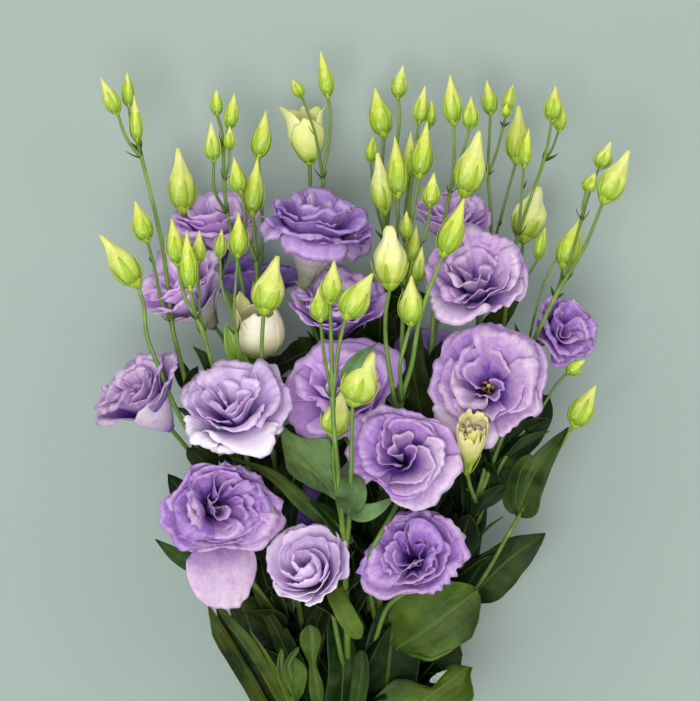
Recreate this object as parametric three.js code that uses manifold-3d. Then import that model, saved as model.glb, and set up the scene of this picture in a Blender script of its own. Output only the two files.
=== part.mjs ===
// A bunch of cut double lisianthus: fifteen stems held by one band, lying on its back
// so that the flowers look up. Millimetres. +Y runs from the cut ends to the highest
// buds, +Z is up, and the origin is the middle of the bunch on the surface below it.
//
// Each flowering stem with its side shoots and closed buds grew as one piece and is one
// solid. Each open flower, each leaf and the band is a solid of its own.
import * as THREE from 'three';
import { mergeVertices } from 'three/addons/utils/BufferGeometryUtils.js';
import Module from 'manifold-3d';

// ---------------------------------------------------------------- driving dimensions
const MAIN_SIDES = 5;          // sides of a main stem's section
const SHOOT_SIDES = 5;         // sides of a side shoot's section and of a bud
const CLEAR = 0.34;            // gap kept between two pieces that touch
const PETAL_SEGMENTS = 10;     // steps round an open flower
const RUFFLE = 0.07;           // waviness of a flower's rim, part of its radius
const LEAF_THICK = 1.3;        // thickness of a leaf blade
const BAND_WIDTH = 12;         // width of the tie along the stems
const BAND_THICK = 1.6;        // thickness of the tie
const STEM_AT_BAND = 2.1;      // radius of a stem where the band holds it

const GREEN_STEM = 0x7d9a4c, GREEN_LEAF = 0x4f6b36, LILAC = 0xa989c4, CREAM = 0xe4e6b4, BAND = 0xc9b37a;

// A stem or shoot: centre line with radius [x, y, z, r]; a bud is [x, y, z of its tip, half width, kind].
const SPRAYS = {
  spray_far_left: [
    { parent: false, p: [[-24.9,-272.9,7.6,2.1],[-19.4,-230.0,8.0,2.1],[-15.4,-190.0,8.2,2.1],[-15.4,-174.0,8.2,2.06],[-25.7,-138.0,19.0,2.03],[-34.8,-120.4,28.7,2.01],[-41.1,-104.4,35.3,2.0],[-66.2,-23.7,62.1,1.76],[-85.3,40.2,80.5,1.57],[-103.2,110.5,97.6,1.35],[-106.4,128.9,98.7,1.29],[-109.6,155.3,96.7,1.22],[-113.3,175.9,93.1,1.16],[-126.2,226.6,84.0,1.0]], bud: [-128.2,252.8,84.0,3.64,"tight"] },
    { parent: true, p: [[-123.6,216.9,85.4,1.03],[-132.1,227.6,86.8,0.91],[-137.3,242.2,87.0,0.8]], bud: [-146.6,262.3,88.0,4.48,"tight"] },
    { parent: true, p: [[-124.9,221.8,84.7,0.9],[-129.8,234.1,77.8,0.8],[-131.9,247.1,77.0,0.7]], bud: [-132.6,266.7,77.0,3.08,"small"] },
    { parent: true, p: [[-105.8,124.2,98.8,1.05],[-109.7,131.9,103.5,1.0],[-112.3,140.1,106.5,0.95],[-114.5,152.9,108.5,0.88],[-118.9,169.3,108.0,0.8]], bud: [-126.2,191.3,109.0,5.6,"tight"] },
    { parent: true, p: [[-82.8,31.1,78.0,1.3],[-85.1,34.8,87.1,1.28],[-87.0,37.9,91.5,1.27],[-96.4,52.3,100.7,1.24],[-105.9,64.5,107.3,1.2]] },
  ],
  spray_left_leaning: [
    { parent: false, p: [[-20.2,-272.9,13.0,2.1],[-16.0,-230.0,12.6,2.1],[-13.1,-190.0,12.4,2.1],[-13.1,-174.0,12.4,2.06],[-22.3,-138.0,26.5,2.02],[-35.0,-106.3,46.0,1.96],[-50.5,-51.3,74.0,1.78],[-59.2,-22.6,86.3,1.68],[-77.6,29.7,102.4,1.52],[-101.0,73.5,119.3,1.35],[-109.7,95.3,126.0,1.27],[-117.5,116.0,128.2,1.19],[-119.2,132.5,127.6,1.15],[-122.9,144.3,127.0,1.1]], bud: [-142.0,172.6,128.0,7.56,"big"] },
  ],
  spray_left_front: [
    { parent: false, p: [[-10.7,-275.8,13.0,2.1],[-9.3,-230.0,12.6,2.1],[-8.3,-190.0,12.4,2.1],[-8.3,-174.0,12.4,2.06],[-17.4,-138.0,30.0,2.02],[-26.4,-116.1,47.9,1.98],[-31.2,-101.4,56.9,1.93],[-39.9,-68.4,72.9,1.81],[-48.8,-32.8,88.0,1.69],[-54.9,-7.0,96.4,1.61],[-83.1,105.4,128.2,1.2],[-90.0,125.3,133.0,1.12],[-96.7,137.8,135.0,1.07],[-100.0,155.3,135.0,1.0]], bud: [-103.0,180.5,136.0,5.32,"tight"] },
    { parent: true, p: [[-90.0,125.3,133.0,1.05],[-91.4,132.8,141.0,0.93],[-92.9,141.7,142.0,0.8]], bud: [-95.9,173.2,144.0,4.48,"tight"] },
    { parent: true, p: [[-86.9,117.3,131.0,1.05],[-89.1,135.8,125.0,0.93],[-89.8,156.3,124.0,0.8]], bud: [-89.4,174.1,124.0,3.92,"tight"] },
    { parent: true, p: [[-62.9,27.4,105.6,1.49],[-61.7,40.1,114.6,1.42],[-62.9,48.7,120.7,1.37],[-64.6,57.9,129.5,1.3]] },
  ],
  spray_upper_left: [
    { parent: false, p: [[-20.2,-278.1,2.3,2.1],[-16.0,-230.0,3.3,2.1],[-13.1,-190.0,4.1,2.1],[-13.1,-174.0,4.1,2.06],[-19.0,-138.0,12.4,2.03],[-27.1,-109.4,24.0,2.01],[-35.5,-70.1,34.4,1.9],[-43.9,-26.8,44.1,1.77],[-52.9,23.9,52.7,1.61],[-61.1,81.5,59.3,1.43],[-66.2,137.0,63.4,1.25],[-76.9,191.3,66.7,1.08],[-78.8,228.9,66.2,0.95],[-82.1,243.1,66.0,0.9]], bud: [-83.0,257.9,66.0,3.08,"small"] },
    { parent: true, p: [[-78.4,224.5,66.3,0.96],[-76.8,230.6,69.1,0.88],[-74.9,235.2,70.0,0.8]], bud: [-71.6,255.0,71.0,4.2,"tight"] },
    { parent: true, p: [[-77.7,205.6,66.6,0.9],[-74.9,214.9,73.3,0.8],[-74.7,222.6,74.0,0.7]], bud: [-74.5,235.8,76.0,3.08,"small"] },
    { parent: true, p: [[-76.1,186.6,66.5,1.05],[-80.6,193.3,72.5,0.98],[-82.4,197.6,74.7,0.94],[-83.6,202.8,76.3,0.91],[-83.5,216.4,77.0,0.8]], bud: [-85.7,237.9,78.0,4.48,"tight"] },
    { parent: true, p: [[-65.4,128.7,62.9,1.05],[-82.2,148.5,54.8,0.96],[-92.0,161.2,51.4,0.91],[-100.2,174.8,50.6,0.85],[-102.1,188.8,50.6,0.8]], bud: [-104.0,225.2,51.6,7.56,"big"] },
    { parent: true, p: [[-61.1,81.5,59.3,1.3],[-63.8,103.1,44.2,1.27],[-67.6,116.5,37.7,1.26],[-76.4,139.1,30.5,1.23],[-79.3,147.5,29.2,1.22],[-80.2,151.7,30.5,1.21],[-80.7,158.7,35.6,1.2]] },
    { parent: true, p: [[-57.0,50.3,56.2,1.3],[-65.1,72.7,62.4,1.27],[-71.1,93.4,62.4,1.25],[-74.1,103.1,63.9,1.24],[-78.6,115.2,69.0,1.22],[-85.3,124.2,75.9,1.2]] },
    { parent: true, p: [[-57.0,50.3,56.2,1.3],[-57.2,79.2,40.2,1.26],[-57.2,89.3,37.7,1.25],[-58.0,127.1,32.5,1.2]] },
  ],
  spray_left_centre: [
    { parent: false, p: [[-15.4,-280.4,7.6,2.1],[-12.7,-230.0,8.0,2.1],[-10.7,-190.0,8.2,2.1],[-10.7,-174.0,8.2,2.06],[-16.0,-138.0,20.7,2.02],[-23.4,-107.4,38.0,1.97],[-32.4,-55.0,59.1,1.78],[-38.2,-19.3,70.4,1.67],[-45.3,26.0,80.3,1.52],[-51.5,61.6,86.4,1.4],[-55.7,90.3,88.1,1.3],[-59.0,158.0,82.4,1.08],[-61.3,185.6,79.0,1.0]], bud: [-59.4,217.9,79.0,5.6,"tight"] },
    { parent: true, p: [[-58.7,142.5,84.0,1.05],[-56.1,165.2,73.1,0.97],[-55.6,174.0,70.0,0.94],[-56.3,189.3,68.1,0.89],[-58.4,218.7,68.0,0.8]], bud: [-52.8,245.3,68.0,5.32,"tight"] },
    { parent: true, p: [[-59.0,158.0,82.4,1.05],[-64.6,174.9,88.0,0.94],[-65.7,188.4,90.0,0.86],[-67.9,197.1,90.0,0.8]], bud: [-72.1,216.7,91.0,4.76,"tight"] },
    { parent: true, p: [[-55.1,85.3,88.1,1.05],[-63.0,95.9,108.8,0.98],[-65.7,102.5,115.6,0.96],[-66.9,107.1,118.2,0.94],[-69.2,121.0,123.5,0.91],[-69.8,129.7,125.4,0.88],[-67.7,160.2,127.0,0.8]], bud: [-66.4,183.9,128.0,5.04,"tight"] },
    { parent: true, p: [[-52.3,66.3,87.0,1.3],[-54.1,87.0,120.8,1.21],[-54.4,96.5,131.8,1.18],[-54.2,105.6,138.5,1.16],[-53.8,113.8,142.3,1.13],[-53.5,119.3,143.7,1.12],[-52.8,129.0,144.0,1.1]], bud: [-46.3,159.6,145.0,8.12,"big"] },
    { parent: true, p: [[-49.7,51.8,85.0,1.3],[-52.8,71.6,88.0,1.27],[-59.7,93.2,82.2,1.23],[-59.9,97.8,83.5,1.22],[-58.6,104.4,88.7,1.2]] },
    { parent: true, p: [[-68.6,116.6,122.0,0.9],[-71.8,128.8,118.0,0.83],[-76.8,142.7,116.0,0.77],[-78.0,159.8,116.0,0.7]], bud: [-77.4,175.4,116.0,3.08,"small"] },
  ],
  spray_top_left: [
    { parent: false, p: [[-10.7,-277.1,2.3,2.1],[-9.3,-230.0,3.3,2.1],[-8.3,-190.0,4.1,2.1],[-8.3,-174.0,4.1,2.07],[-10.9,-138.0,12.4,2.04],[-13.7,-116.6,21.9,2.01],[-14.7,-101.3,25.9,2.0],[-17.0,-37.5,38.0,1.81],[-19.0,23.6,46.9,1.63],[-20.3,66.9,51.2,1.5],[-21.5,125.6,55.0,1.31],[-21.4,206.8,56.4,1.06],[-19.2,220.0,58.0,1.01],[-17.1,241.0,58.0,0.95],[-18.6,254.3,58.0,0.9]], bud: [-22.0,280.6,58.0,4.2,"tight"] },
    { parent: true, p: [[-21.4,206.8,56.4,0.9],[-25.3,229.4,64.9,0.8],[-28.0,238.7,66.5,0.76],[-33.6,253.5,67.0,0.7]], bud: [-38.9,263.4,67.0,3.08,"small"] },
    { parent: true, p: [[-21.5,161.2,55.9,1.2],[-28.1,192.2,46.8,1.15],[-29.3,217.0,46.0,1.1]], bud: [-33.2,249.3,46.0,12.32,"opening"] },
    { parent: true, p: [[-21.3,107.2,54.1,1.37],[-26.5,119.8,68.3,1.35],[-32.0,131.8,79.2,1.33],[-32.9,139.8,84.0,1.31],[-30.6,147.4,86.3,1.3]] },
    { parent: true, p: [[-16.3,-59.1,34.2,1.3],[-22.9,-35.2,38.7,1.25],[-27.5,-5.2,41.0,1.2]] },
  ],
  spray_centre_back: [
    { parent: false, p: [[-1.2,-276.9,2.3,2.1],[-2.6,-230.0,3.3,2.1],[-3.6,-190.0,4.1,2.1],[-3.6,-174.0,4.1,2.07],[-5.7,-138.0,11.6,2.04],[-8.4,-122.1,18.3,2.02],[-8.8,-109.6,22.0,2.01],[-1.9,-32.7,34.7,1.8],[4.1,28.1,41.6,1.61],[9.0,76.2,45.2,1.47],[15.1,176.8,50.6,1.15],[22.3,236.0,53.6,0.96],[21.8,254.2,54.0,0.9]], bud: [24.0,272.9,54.0,4.48,"tight"] },
    { parent: true, p: [[16.0,186.4,51.0,1.05],[11.5,201.2,46.0,0.97],[13.2,221.6,44.0,0.86],[13.8,233.2,44.0,0.8]], bud: [8.0,260.9,44.0,6.44,"tight"] },
    { parent: true, p: [[14.7,171.9,50.3,0.9],[9.3,193.0,36.0,0.8],[8.0,199.5,34.6,0.78],[6.3,218.2,35.0,0.7]], bud: [7.5,233.4,35.0,3.36,"small"] },
    { parent: true, p: [[13.8,153.4,49.1,1.2],[13.3,171.3,66.0,1.07],[13.3,176.7,68.3,1.05],[13.8,186.9,70.0,1.0]], bud: [9.9,220.8,72.0,6.16,"big"] },
    { parent: true, p: [[13.2,137.3,48.0,1.2],[16.9,153.3,73.8,1.12],[17.9,158.3,80.0,1.1],[18.9,162.9,83.4,1.09],[21.0,176.1,86.0,1.05],[21.0,195.4,87.0,1.0]], bud: [20.8,229.0,88.0,5.6,"tight"] },
    { parent: true, p: [[6.3,49.8,43.4,1.3],[1.6,70.8,53.6,1.27],[-7.7,86.4,53.4,1.24],[-9.8,91.2,54.9,1.23],[-12.7,100.1,59.6,1.22],[-12.7,110.7,66.8,1.2]] },
  ],
  spray_centre: [
    { parent: false, p: [[-5.9,-280.5,7.6,2.1],[-5.9,-230.0,8.0,2.1],[-5.9,-190.0,8.2,2.1],[-5.9,-174.0,8.2,2.06],[-5.2,-138.0,23.2,2.03],[-4.8,-113.2,41.1,2.0],[-3.2,-98.5,46.8,1.96],[0.9,-67.7,54.7,1.86],[11.2,5.5,70.6,1.64],[18.6,61.8,80.2,1.47],[23.0,107.8,86.3,1.33],[25.6,159.0,91.6,1.17],[33.1,206.3,92.0,1.0]], bud: [37.8,237.1,92.0,5.88,"tight"] },
    { parent: true, p: [[26.2,167.4,92.0,1.05],[27.7,191.7,79.8,0.96],[28.8,201.9,76.5,0.93],[31.7,222.3,74.0,0.85],[33.1,238.2,74.0,0.8]], bud: [36.2,259.0,74.0,3.92,"tight"] },
    { parent: true, p: [[25.8,163.5,91.8,0.9],[25.4,179.4,71.7,0.85],[25.6,185.6,66.0,0.84],[26.0,191.0,63.6,0.83],[28.2,206.4,63.0,0.8]], bud: [28.2,234.1,62.0,4.2,"tight"] },
    { parent: true, p: [[25.1,148.5,91.0,1.0],[35.8,172.9,103.1,0.88],[37.9,180.5,104.6,0.84],[38.7,188.8,105.0,0.8]], bud: [40.9,207.2,106.0,4.76,"tight"] },
    { parent: true, p: [[25.3,154.0,91.4,0.8],[24.2,163.0,106.0,0.74],[24.7,166.7,107.8,0.72],[25.5,170.1,108.0,0.7]], bud: [24.9,185.6,110.0,3.36,"small"] },
    { parent: true, p: [[24.3,132.2,89.5,1.0],[28.5,138.3,112.0,0.86],[30.0,142.1,114.7,0.83],[31.2,146.0,115.0,0.8]], bud: [34.5,165.3,118.0,4.2,"tight"] },
    { parent: true, p: [[24.8,142.7,90.6,0.9],[27.1,149.2,100.0,0.8],[28.5,157.0,101.0,0.7]], bud: [31.0,177.7,102.0,3.64,"tight"] },
    { parent: true, p: [[19.2,66.9,80.8,1.3],[27.4,77.3,62.0,1.24],[33.5,84.0,47.0,1.2]] },
    { parent: true, p: [[13.9,25.1,74.3,1.5],[7.7,39.1,79.9,1.45],[-3.1,50.4,79.8,1.4],[-5.6,54.0,81.5,1.38],[-8.7,60.5,86.7,1.35],[-8.7,68.5,96.8,1.3]] },
    { parent: true, p: [[31.1,217.8,74.4,0.8],[36.3,228.3,70.0,0.75],[39.8,236.3,70.0,0.7]], bud: [40.7,251.3,70.0,3.08,"small"] },
  ],
  spray_centre_front: [
    { parent: false, p: [[3.6,-280.5,18.4,2.1],[0.8,-230.0,17.3,2.1],[-1.2,-190.0,16.5,2.1],[-1.2,-174.0,16.5,2.1],[0.0,-137.9,35.7,2.1],[0.6,-115.3,54.9,2.08],[1.6,-104.1,62.0,2.05],[8.4,-52.1,85.8,1.86],[12.6,-16.9,99.6,1.74],[20.8,68.0,128.9,1.45],[23.3,85.5,136.8,1.39],[27.8,100.7,142.5,1.32],[32.6,128.0,149.4,1.22],[44.4,160.2,155.0,1.1]], bud: [56.8,189.5,158.0,6.44,"tight"] },
    { parent: true, p: [[20.8,68.0,128.9,1.3],[18.4,80.8,139.6,1.26],[16.1,93.6,145.7,1.23],[14.7,102.5,146.5,1.21],[13.3,116.1,145.8,1.17],[13.7,130.1,143.1,1.14],[16.0,142.6,142.0,1.1]], bud: [16.0,175.9,143.0,9.24,"cream"] },
    { parent: true, p: [[5.6,-72.8,77.0,1.5],[7.6,-59.0,101.3,1.45],[8.9,-51.2,109.3,1.43],[13.1,-37.5,114.9,1.4],[17.9,-30.7,116.9,1.38],[27.8,-23.1,120.5,1.35],[30.7,-18.4,121.6,1.34],[32.3,-14.2,123.8,1.33],[31.0,-9.9,136.6,1.3]] },
    { parent: true, p: [[22.3,79.9,134.3,1.2],[21.1,98.6,150.1,1.1],[21.7,103.6,151.9,1.08],[26.9,122.6,152.0,1.0]], bud: [27.0,148.5,154.0,6.44,"tight"] },
    { parent: true, p: [[9.1,-47.0,87.9,1.5],[3.4,-15.9,147.9,1.43],[3.7,-6.3,162.1,1.41],[5.3,0.4,168.6,1.4],[7.3,4.8,170.5,1.39],[9.8,9.1,170.6,1.38],[12.2,13.2,168.9,1.38],[13.9,15.9,166.1,1.37],[18.9,24.0,152.2,1.35],[23.5,36.7,136.4,1.33],[25.1,41.9,132.0,1.32],[25.4,44.1,133.8,1.31],[24.4,45.2,144.6,1.3]] },
  ],
  spray_centre_right: [
    { parent: false, p: [[3.6,-271.0,7.6,2.1],[0.8,-230.0,8.0,2.1],[-1.2,-190.0,8.2,2.1],[-1.2,-174.0,8.2,2.06],[2.2,-138.0,19.0,2.03],[4.6,-120.9,28.6,2.01],[7.6,-104.1,35.2,2.0],[18.7,-46.7,49.6,1.82],[28.3,9.9,61.5,1.64],[38.5,86.5,75.3,1.39],[43.9,160.5,85.5,1.15],[52.1,207.0,90.0,1.0],[52.7,236.3,90.0,0.9]], bud: [49.5,263.5,90.0,5.32,"tight"] },
    { parent: true, p: [[50.1,196.5,88.8,0.9],[54.7,210.5,96.0,0.86],[57.4,219.3,97.7,0.84],[61.3,232.9,98.0,0.8]], bud: [61.8,250.5,98.0,4.76,"tight"] },
    { parent: true, p: [[45.1,170.2,86.5,1.11],[51.1,179.9,102.0,1.11],[53.5,184.5,104.9,1.11],[57.6,195.2,107.0,1.1]], bud: [67.2,230.0,110.0,8.4,"big"] },
    { parent: true, p: [[40.4,107.9,78.4,1.2],[45.8,130.2,61.5,1.16],[50.2,143.1,49.7,1.14],[52.5,150.5,44.5,1.12],[53.0,155.0,44.9,1.11],[52.5,161.8,50.8,1.1]] },
  ],
  spray_right_back: [
    { parent: false, p: [[8.3,-274.4,2.3,2.1],[4.2,-230.0,3.3,2.1],[1.2,-190.0,4.1,2.1],[1.2,-174.0,4.1,2.06],[5.6,-138.0,12.4,2.03],[10.0,-116.6,21.9,2.01],[19.6,-76.0,31.1,1.91],[41.1,8.8,44.9,1.63],[64.7,102.3,55.1,1.29],[71.2,137.1,58.0,1.17],[74.9,167.4,59.7,1.06],[74.8,189.6,61.6,0.99],[73.3,208.8,62.0,0.92],[74.7,243.9,62.0,0.8]], bud: [73.0,263.6,62.0,4.2,"tight"] },
    { parent: true, p: [[73.3,208.8,62.0,0.8],[78.3,222.6,66.7,0.77],[83.6,244.0,67.0,0.7]], bud: [86.9,260.8,67.0,3.36,"small"] },
    { parent: true, p: [[73.5,153.3,59.0,0.9],[78.0,172.1,51.4,0.87],[80.6,181.9,49.0,0.85],[90.5,217.8,48.0,0.8]], bud: [92.5,249.9,48.0,7.0,"big"] },
    { parent: true, p: [[57.8,73.0,52.3,1.4],[59.0,87.7,72.9,1.37],[59.9,94.1,80.0,1.36],[61.4,102.1,85.8,1.35],[65.6,121.5,96.9,1.32],[65.9,125.6,100.8,1.31],[65.2,129.5,107.1,1.3]] },
    { parent: true, p: [[82.0,236.3,67.0,0.6],[82.3,238.5,71.0,0.57],[82.8,241.5,72.0,0.55]], bud: [83.6,249.1,73.0,2.52,"small"] },
  ],
  spray_right: [
    { parent: false, p: [[13.1,-278.6,7.6,2.1],[7.6,-230.0,8.0,2.1],[3.6,-190.0,8.2,2.1],[3.6,-174.0,8.2,2.07],[8.9,-138.0,20.1,2.04],[13.3,-119.1,32.4,2.01],[18.9,-99.9,40.0,1.99],[43.7,-20.5,59.3,1.72],[64.8,49.5,72.5,1.48],[77.1,96.9,78.5,1.31],[84.2,143.0,80.0,1.16],[89.5,173.1,78.0,1.04],[104.3,216.1,76.0,0.89],[109.0,238.9,76.0,0.8]], bud: [110.9,258.7,76.0,4.76,"tight"] },
    { parent: true, p: [[104.3,216.1,76.0,0.8],[109.4,222.8,71.0,0.75],[113.3,233.7,70.0,0.7]], bud: [115.7,250.3,70.0,3.36,"tight"] },
    { parent: true, p: [[85.9,152.9,79.5,1.1],[92.3,161.2,62.0,1.03],[93.2,166.2,60.0,1.02],[93.5,171.6,60.0,1.0]], bud: [101.7,202.7,58.0,9.52,"cream"] },
    { parent: true, p: [[84.2,143.0,80.0,0.8],[92.7,148.3,90.0,0.75],[99.9,159.6,92.0,0.7]], bud: [103.2,177.7,92.0,3.08,"small"] },
    { parent: true, p: [[89.5,173.1,78.0,0.9],[90.7,190.3,86.0,0.81],[92.4,212.3,86.0,0.7]], bud: [94.1,233.8,86.0,3.64,"tight"] },
    { parent: true, p: [[71.5,73.6,76.0,1.4],[84.1,90.1,73.9,1.32],[90.8,104.2,72.9,1.27],[92.8,107.7,73.5,1.25],[95.3,110.1,76.1,1.24],[100.0,112.0,83.4,1.2]] },
  ],
  spray_far_right: [
    { parent: false, p: [[-1.2,-276.6,13.0,2.1],[-2.6,-230.0,12.6,2.1],[-3.6,-190.0,12.4,2.1],[-3.6,-174.0,12.4,2.06],[7.0,-138.0,29.6,2.03],[17.3,-116.2,47.5,2.01],[21.7,-105.2,53.9,1.99],[32.1,-73.8,66.4,1.87],[50.2,-19.1,84.6,1.69],[78.7,58.8,105.4,1.41],[92.7,105.5,115.6,1.23],[101.2,125.5,125.7,1.15],[109.3,141.9,127.2,1.08],[122.8,164.3,126.6,1.0],[133.6,190.3,126.0,0.9]], bud: [147.7,218.1,127.0,7.56,"big"] },
    { parent: true, p: [[111.9,146.1,127.2,0.9],[119.6,171.2,117.3,0.81],[128.5,200.0,112.1,0.73],[132.6,209.5,112.0,0.7]], bud: [139.1,224.3,112.0,4.76,"tight"] },
    { parent: true, p: [[107.0,137.5,127.0,1.0],[111.6,147.9,108.4,0.93],[112.4,151.7,106.7,0.92],[112.8,155.1,107.0,0.9]], bud: [122.4,182.2,107.0,6.72,"tight"] },
    { parent: true, p: [[91.8,102.3,114.7,0.8],[96.2,123.9,104.9,0.72],[103.0,147.4,104.3,0.65],[110.0,160.3,104.0,0.6]] },
    { parent: true, p: [[62.0,13.3,93.9,1.58],[69.7,41.1,98.6,1.51],[74.4,61.9,97.2,1.47],[74.5,72.6,98.4,1.45],[72.3,81.6,102.8,1.43],[71.9,83.3,106.3,1.42],[71.5,84.1,114.7,1.4]] },
    { parent: true, p: [[123.0,180.5,115.2,0.79],[122.7,188.4,121.2,0.74],[124.2,196.0,123.0,0.7]], bud: [129.6,205.8,124.0,3.64,"small"] },
    { parent: true, p: [[64.7,22.7,95.7,1.2],[62.8,26.5,121.3,1.16],[61.6,29.0,131.3,1.15],[59.3,34.4,144.3,1.12],[57.2,42.0,155.2,1.1]], bud: [54.1,71.7,178.2,10.08,"faded"] },
  ],
  spray_lower_right: [
    { parent: false, p: [[8.3,-271.2,13.0,2.1],[4.2,-230.0,12.6,2.1],[1.2,-190.0,12.4,2.1],[1.2,-174.0,12.4,2.01],[11.7,-137.9,24.6,1.93],[27.3,-102.9,42.1,1.78],[70.3,22.4,89.3,1.2],[84.3,52.7,97.1,1.06],[97.6,70.4,102.9,0.95],[108.8,88.5,107.6,0.84],[115.4,95.7,107.5,0.8]], bud: [124.7,103.0,107.5,3.92,"small"] },
    { parent: true, p: [[44.2,-53.8,60.0,1.4],[67.9,-23.3,80.1,1.27],[83.7,5.8,94.0,1.15],[106.6,47.0,108.0,0.98],[118.6,66.4,110.0,0.9]], bud: [130.0,89.4,111.0,6.44,"tight"] },
  ],
  spray_front: [
    { parent: false, p: [[-5.9,-272.0,18.4,2.1],[-5.9,-230.0,17.3,2.1],[-5.9,-190.0,16.5,2.1],[-5.9,-174.0,16.5,2.18],[-6.2,-138.0,39.8,2.26],[-6.7,-91.2,81.5,2.12],[-8.6,-5.4,150.0,1.66],[-10.2,16.0,164.4,1.55],[-11.3,33.5,172.1,1.46],[-14.5,67.6,180.8,1.31],[-15.4,92.3,183.2,1.2],[-16.4,133.5,183.0,1.0]], bud: [-13.6,155.6,184.0,5.88,"tight"] },
    { parent: true, p: [[-15.0,82.6,182.6,1.1],[-12.3,107.2,188.0,1.02],[-8.2,125.7,190.0,0.95]], bud: [4.8,149.3,191.0,7.56,"tight"] },
    { parent: true, p: [[-15.0,82.6,182.6,1.0],[-19.7,105.6,177.0,0.89],[-21.7,123.9,175.0,0.8]], bud: [-21.7,142.4,174.0,5.04,"tight"] },
    { parent: true, p: [[-8.6,-5.4,150.0,1.4],[-6.2,19.3,169.5,1.31],[-5.5,35.8,178.9,1.24],[-5.3,49.6,183.1,1.19],[-4.6,80.1,188.0,1.1]], bud: [5.7,107.3,190.0,9.24,"big"] },
    { parent: true, p: [[-10.0,11.7,162.0,1.1],[-14.8,44.2,158.5,1.04],[-14.3,62.2,158.0,1.0]], bud: [-10.8,85.7,158.0,8.12,"big"] },
    { parent: true, p: [[-6.9,-82.8,88.2,1.5],[-11.5,-58.3,112.0,1.43],[-17.8,-24.3,132.9,1.34],[-21.7,-18.4,143.8,1.3]] },
  ],
  spray_lower_left: [
    { parent: false, p: [[-15.4,-272.5,18.4,2.1],[-12.7,-230.0,17.3,2.1],[-10.7,-190.0,16.5,2.1],[-10.7,-174.0,16.5,2.1],[-13.6,-137.9,35.7,2.09],[-16.1,-117.7,58.1,2.0],[-19.7,-105.3,67.0,1.95],[-25.9,-87.2,77.7,1.88],[-36.3,-60.6,92.0,1.79],[-47.8,-39.5,102.5,1.71],[-60.2,-21.1,109.1,1.63],[-78.1,1.1,112.0,1.53],[-84.2,9.2,116.5,1.5],[-89.6,17.7,124.7,1.45],[-89.2,19.4,128.8,1.43],[-85.1,19.8,136.8,1.4]] },
  ],
};

// An open flower: where its tube starts, the middle of its face, its half width.
const FLOWERS = [
  { name: 'bloom_left_side', base: [-105.9,64.5,107.3], face: [-126.9,91.4,124.0], R: 27, kind: 'side', seed: 10 },
  { name: 'bloom_left_front', base: [-64.6,57.9,129.5], face: [-69.5,84.8,155.9], R: 32.5, kind: 'open', seed: 9 },
  { name: 'bloom_upper_left_back', base: [-80.7,158.7,35.6], face: [-84.6,191.3,54.6], R: 25, kind: 'side', seed: 13 },
  { name: 'bloom_left_upper', base: [-85.3,124.2,75.9], face: [-105.1,150.6,94.9], R: 25, kind: 'side', seed: 14 },
  { name: 'bloom_cream_half_open', base: [-58.6,104.4,88.7], face: [-55.8,132.0,104.7], R: 19, kind: 'cream', seed: 15 },
  { name: 'bloom_top_centre', base: [-30.6,147.4,86.3], face: [-22.5,187.4,102.8], R: 30.5, kind: 'side', seed: 8 },
  { name: 'bloom_centre_back', base: [-12.7,110.7,66.8], face: [-12.7,141.9,88.6], R: 27, kind: 'side', seed: 12 },
  { name: 'bloom_lower_right', base: [31.0,-9.9,136.6], face: [27.2,1.9,171.4], R: 30.5, kind: 'open', seed: 3 },
  { name: 'bloom_back_right', base: [33.5,84.0,47.0], face: [43.9,98.8,11.2], R: 28, kind: 'back', seed: 18 },
  { name: 'bloom_centre_right_front', base: [24.4,45.2,144.6], face: [22.5,54.5,180.4], R: 30, kind: 'open', seed: 4 },
  { name: 'bloom_top_right_back', base: [52.5,161.8,50.8], face: [52.5,191.2,67.8], R: 22, kind: 'side', seed: 16 },
  { name: 'bloom_upper_right', base: [65.2,129.5,107.1], face: [64.0,152.8,137.1], R: 30.5, kind: 'open', seed: 7 },
  { name: 'bloom_right_side', base: [100.0,112.0,83.4], face: [117.7,122.4,108.0], R: 23, kind: 'open', seed: 6 },
  { name: 'bloom_right_front', base: [71.5,84.1,114.7], face: [68.9,91.7,151.9], R: 34, kind: 'open', seed: 5 },
  { name: 'bloom_centre', base: [-8.7,68.5,96.8], face: [-8.7,91.9,126.8], R: 34, kind: 'open', seed: 11 },
  { name: 'bloom_lower_small', base: [-21.7,-18.4,143.8], face: [-30.5,-5.3,168.1], R: 21.5, kind: 'rose', seed: 2 },
  { name: 'bloom_lower_left', base: [-85.1,19.8,136.8], face: [-72.3,25.8,172.0], R: 34, kind: 'open', seed: 1 },
  { name: 'bloom_back_centre', base: [-27.5,-5.2,41.0], face: [-28.4,16.6,15.0], R: 27, kind: 'back', seed: 17 },
  { name: 'bloom_back_left', base: [-58.0,127.1,32.5], face: [-60.6,154.2,26.7], R: 26, kind: 'back', seed: 19 },
];

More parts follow.
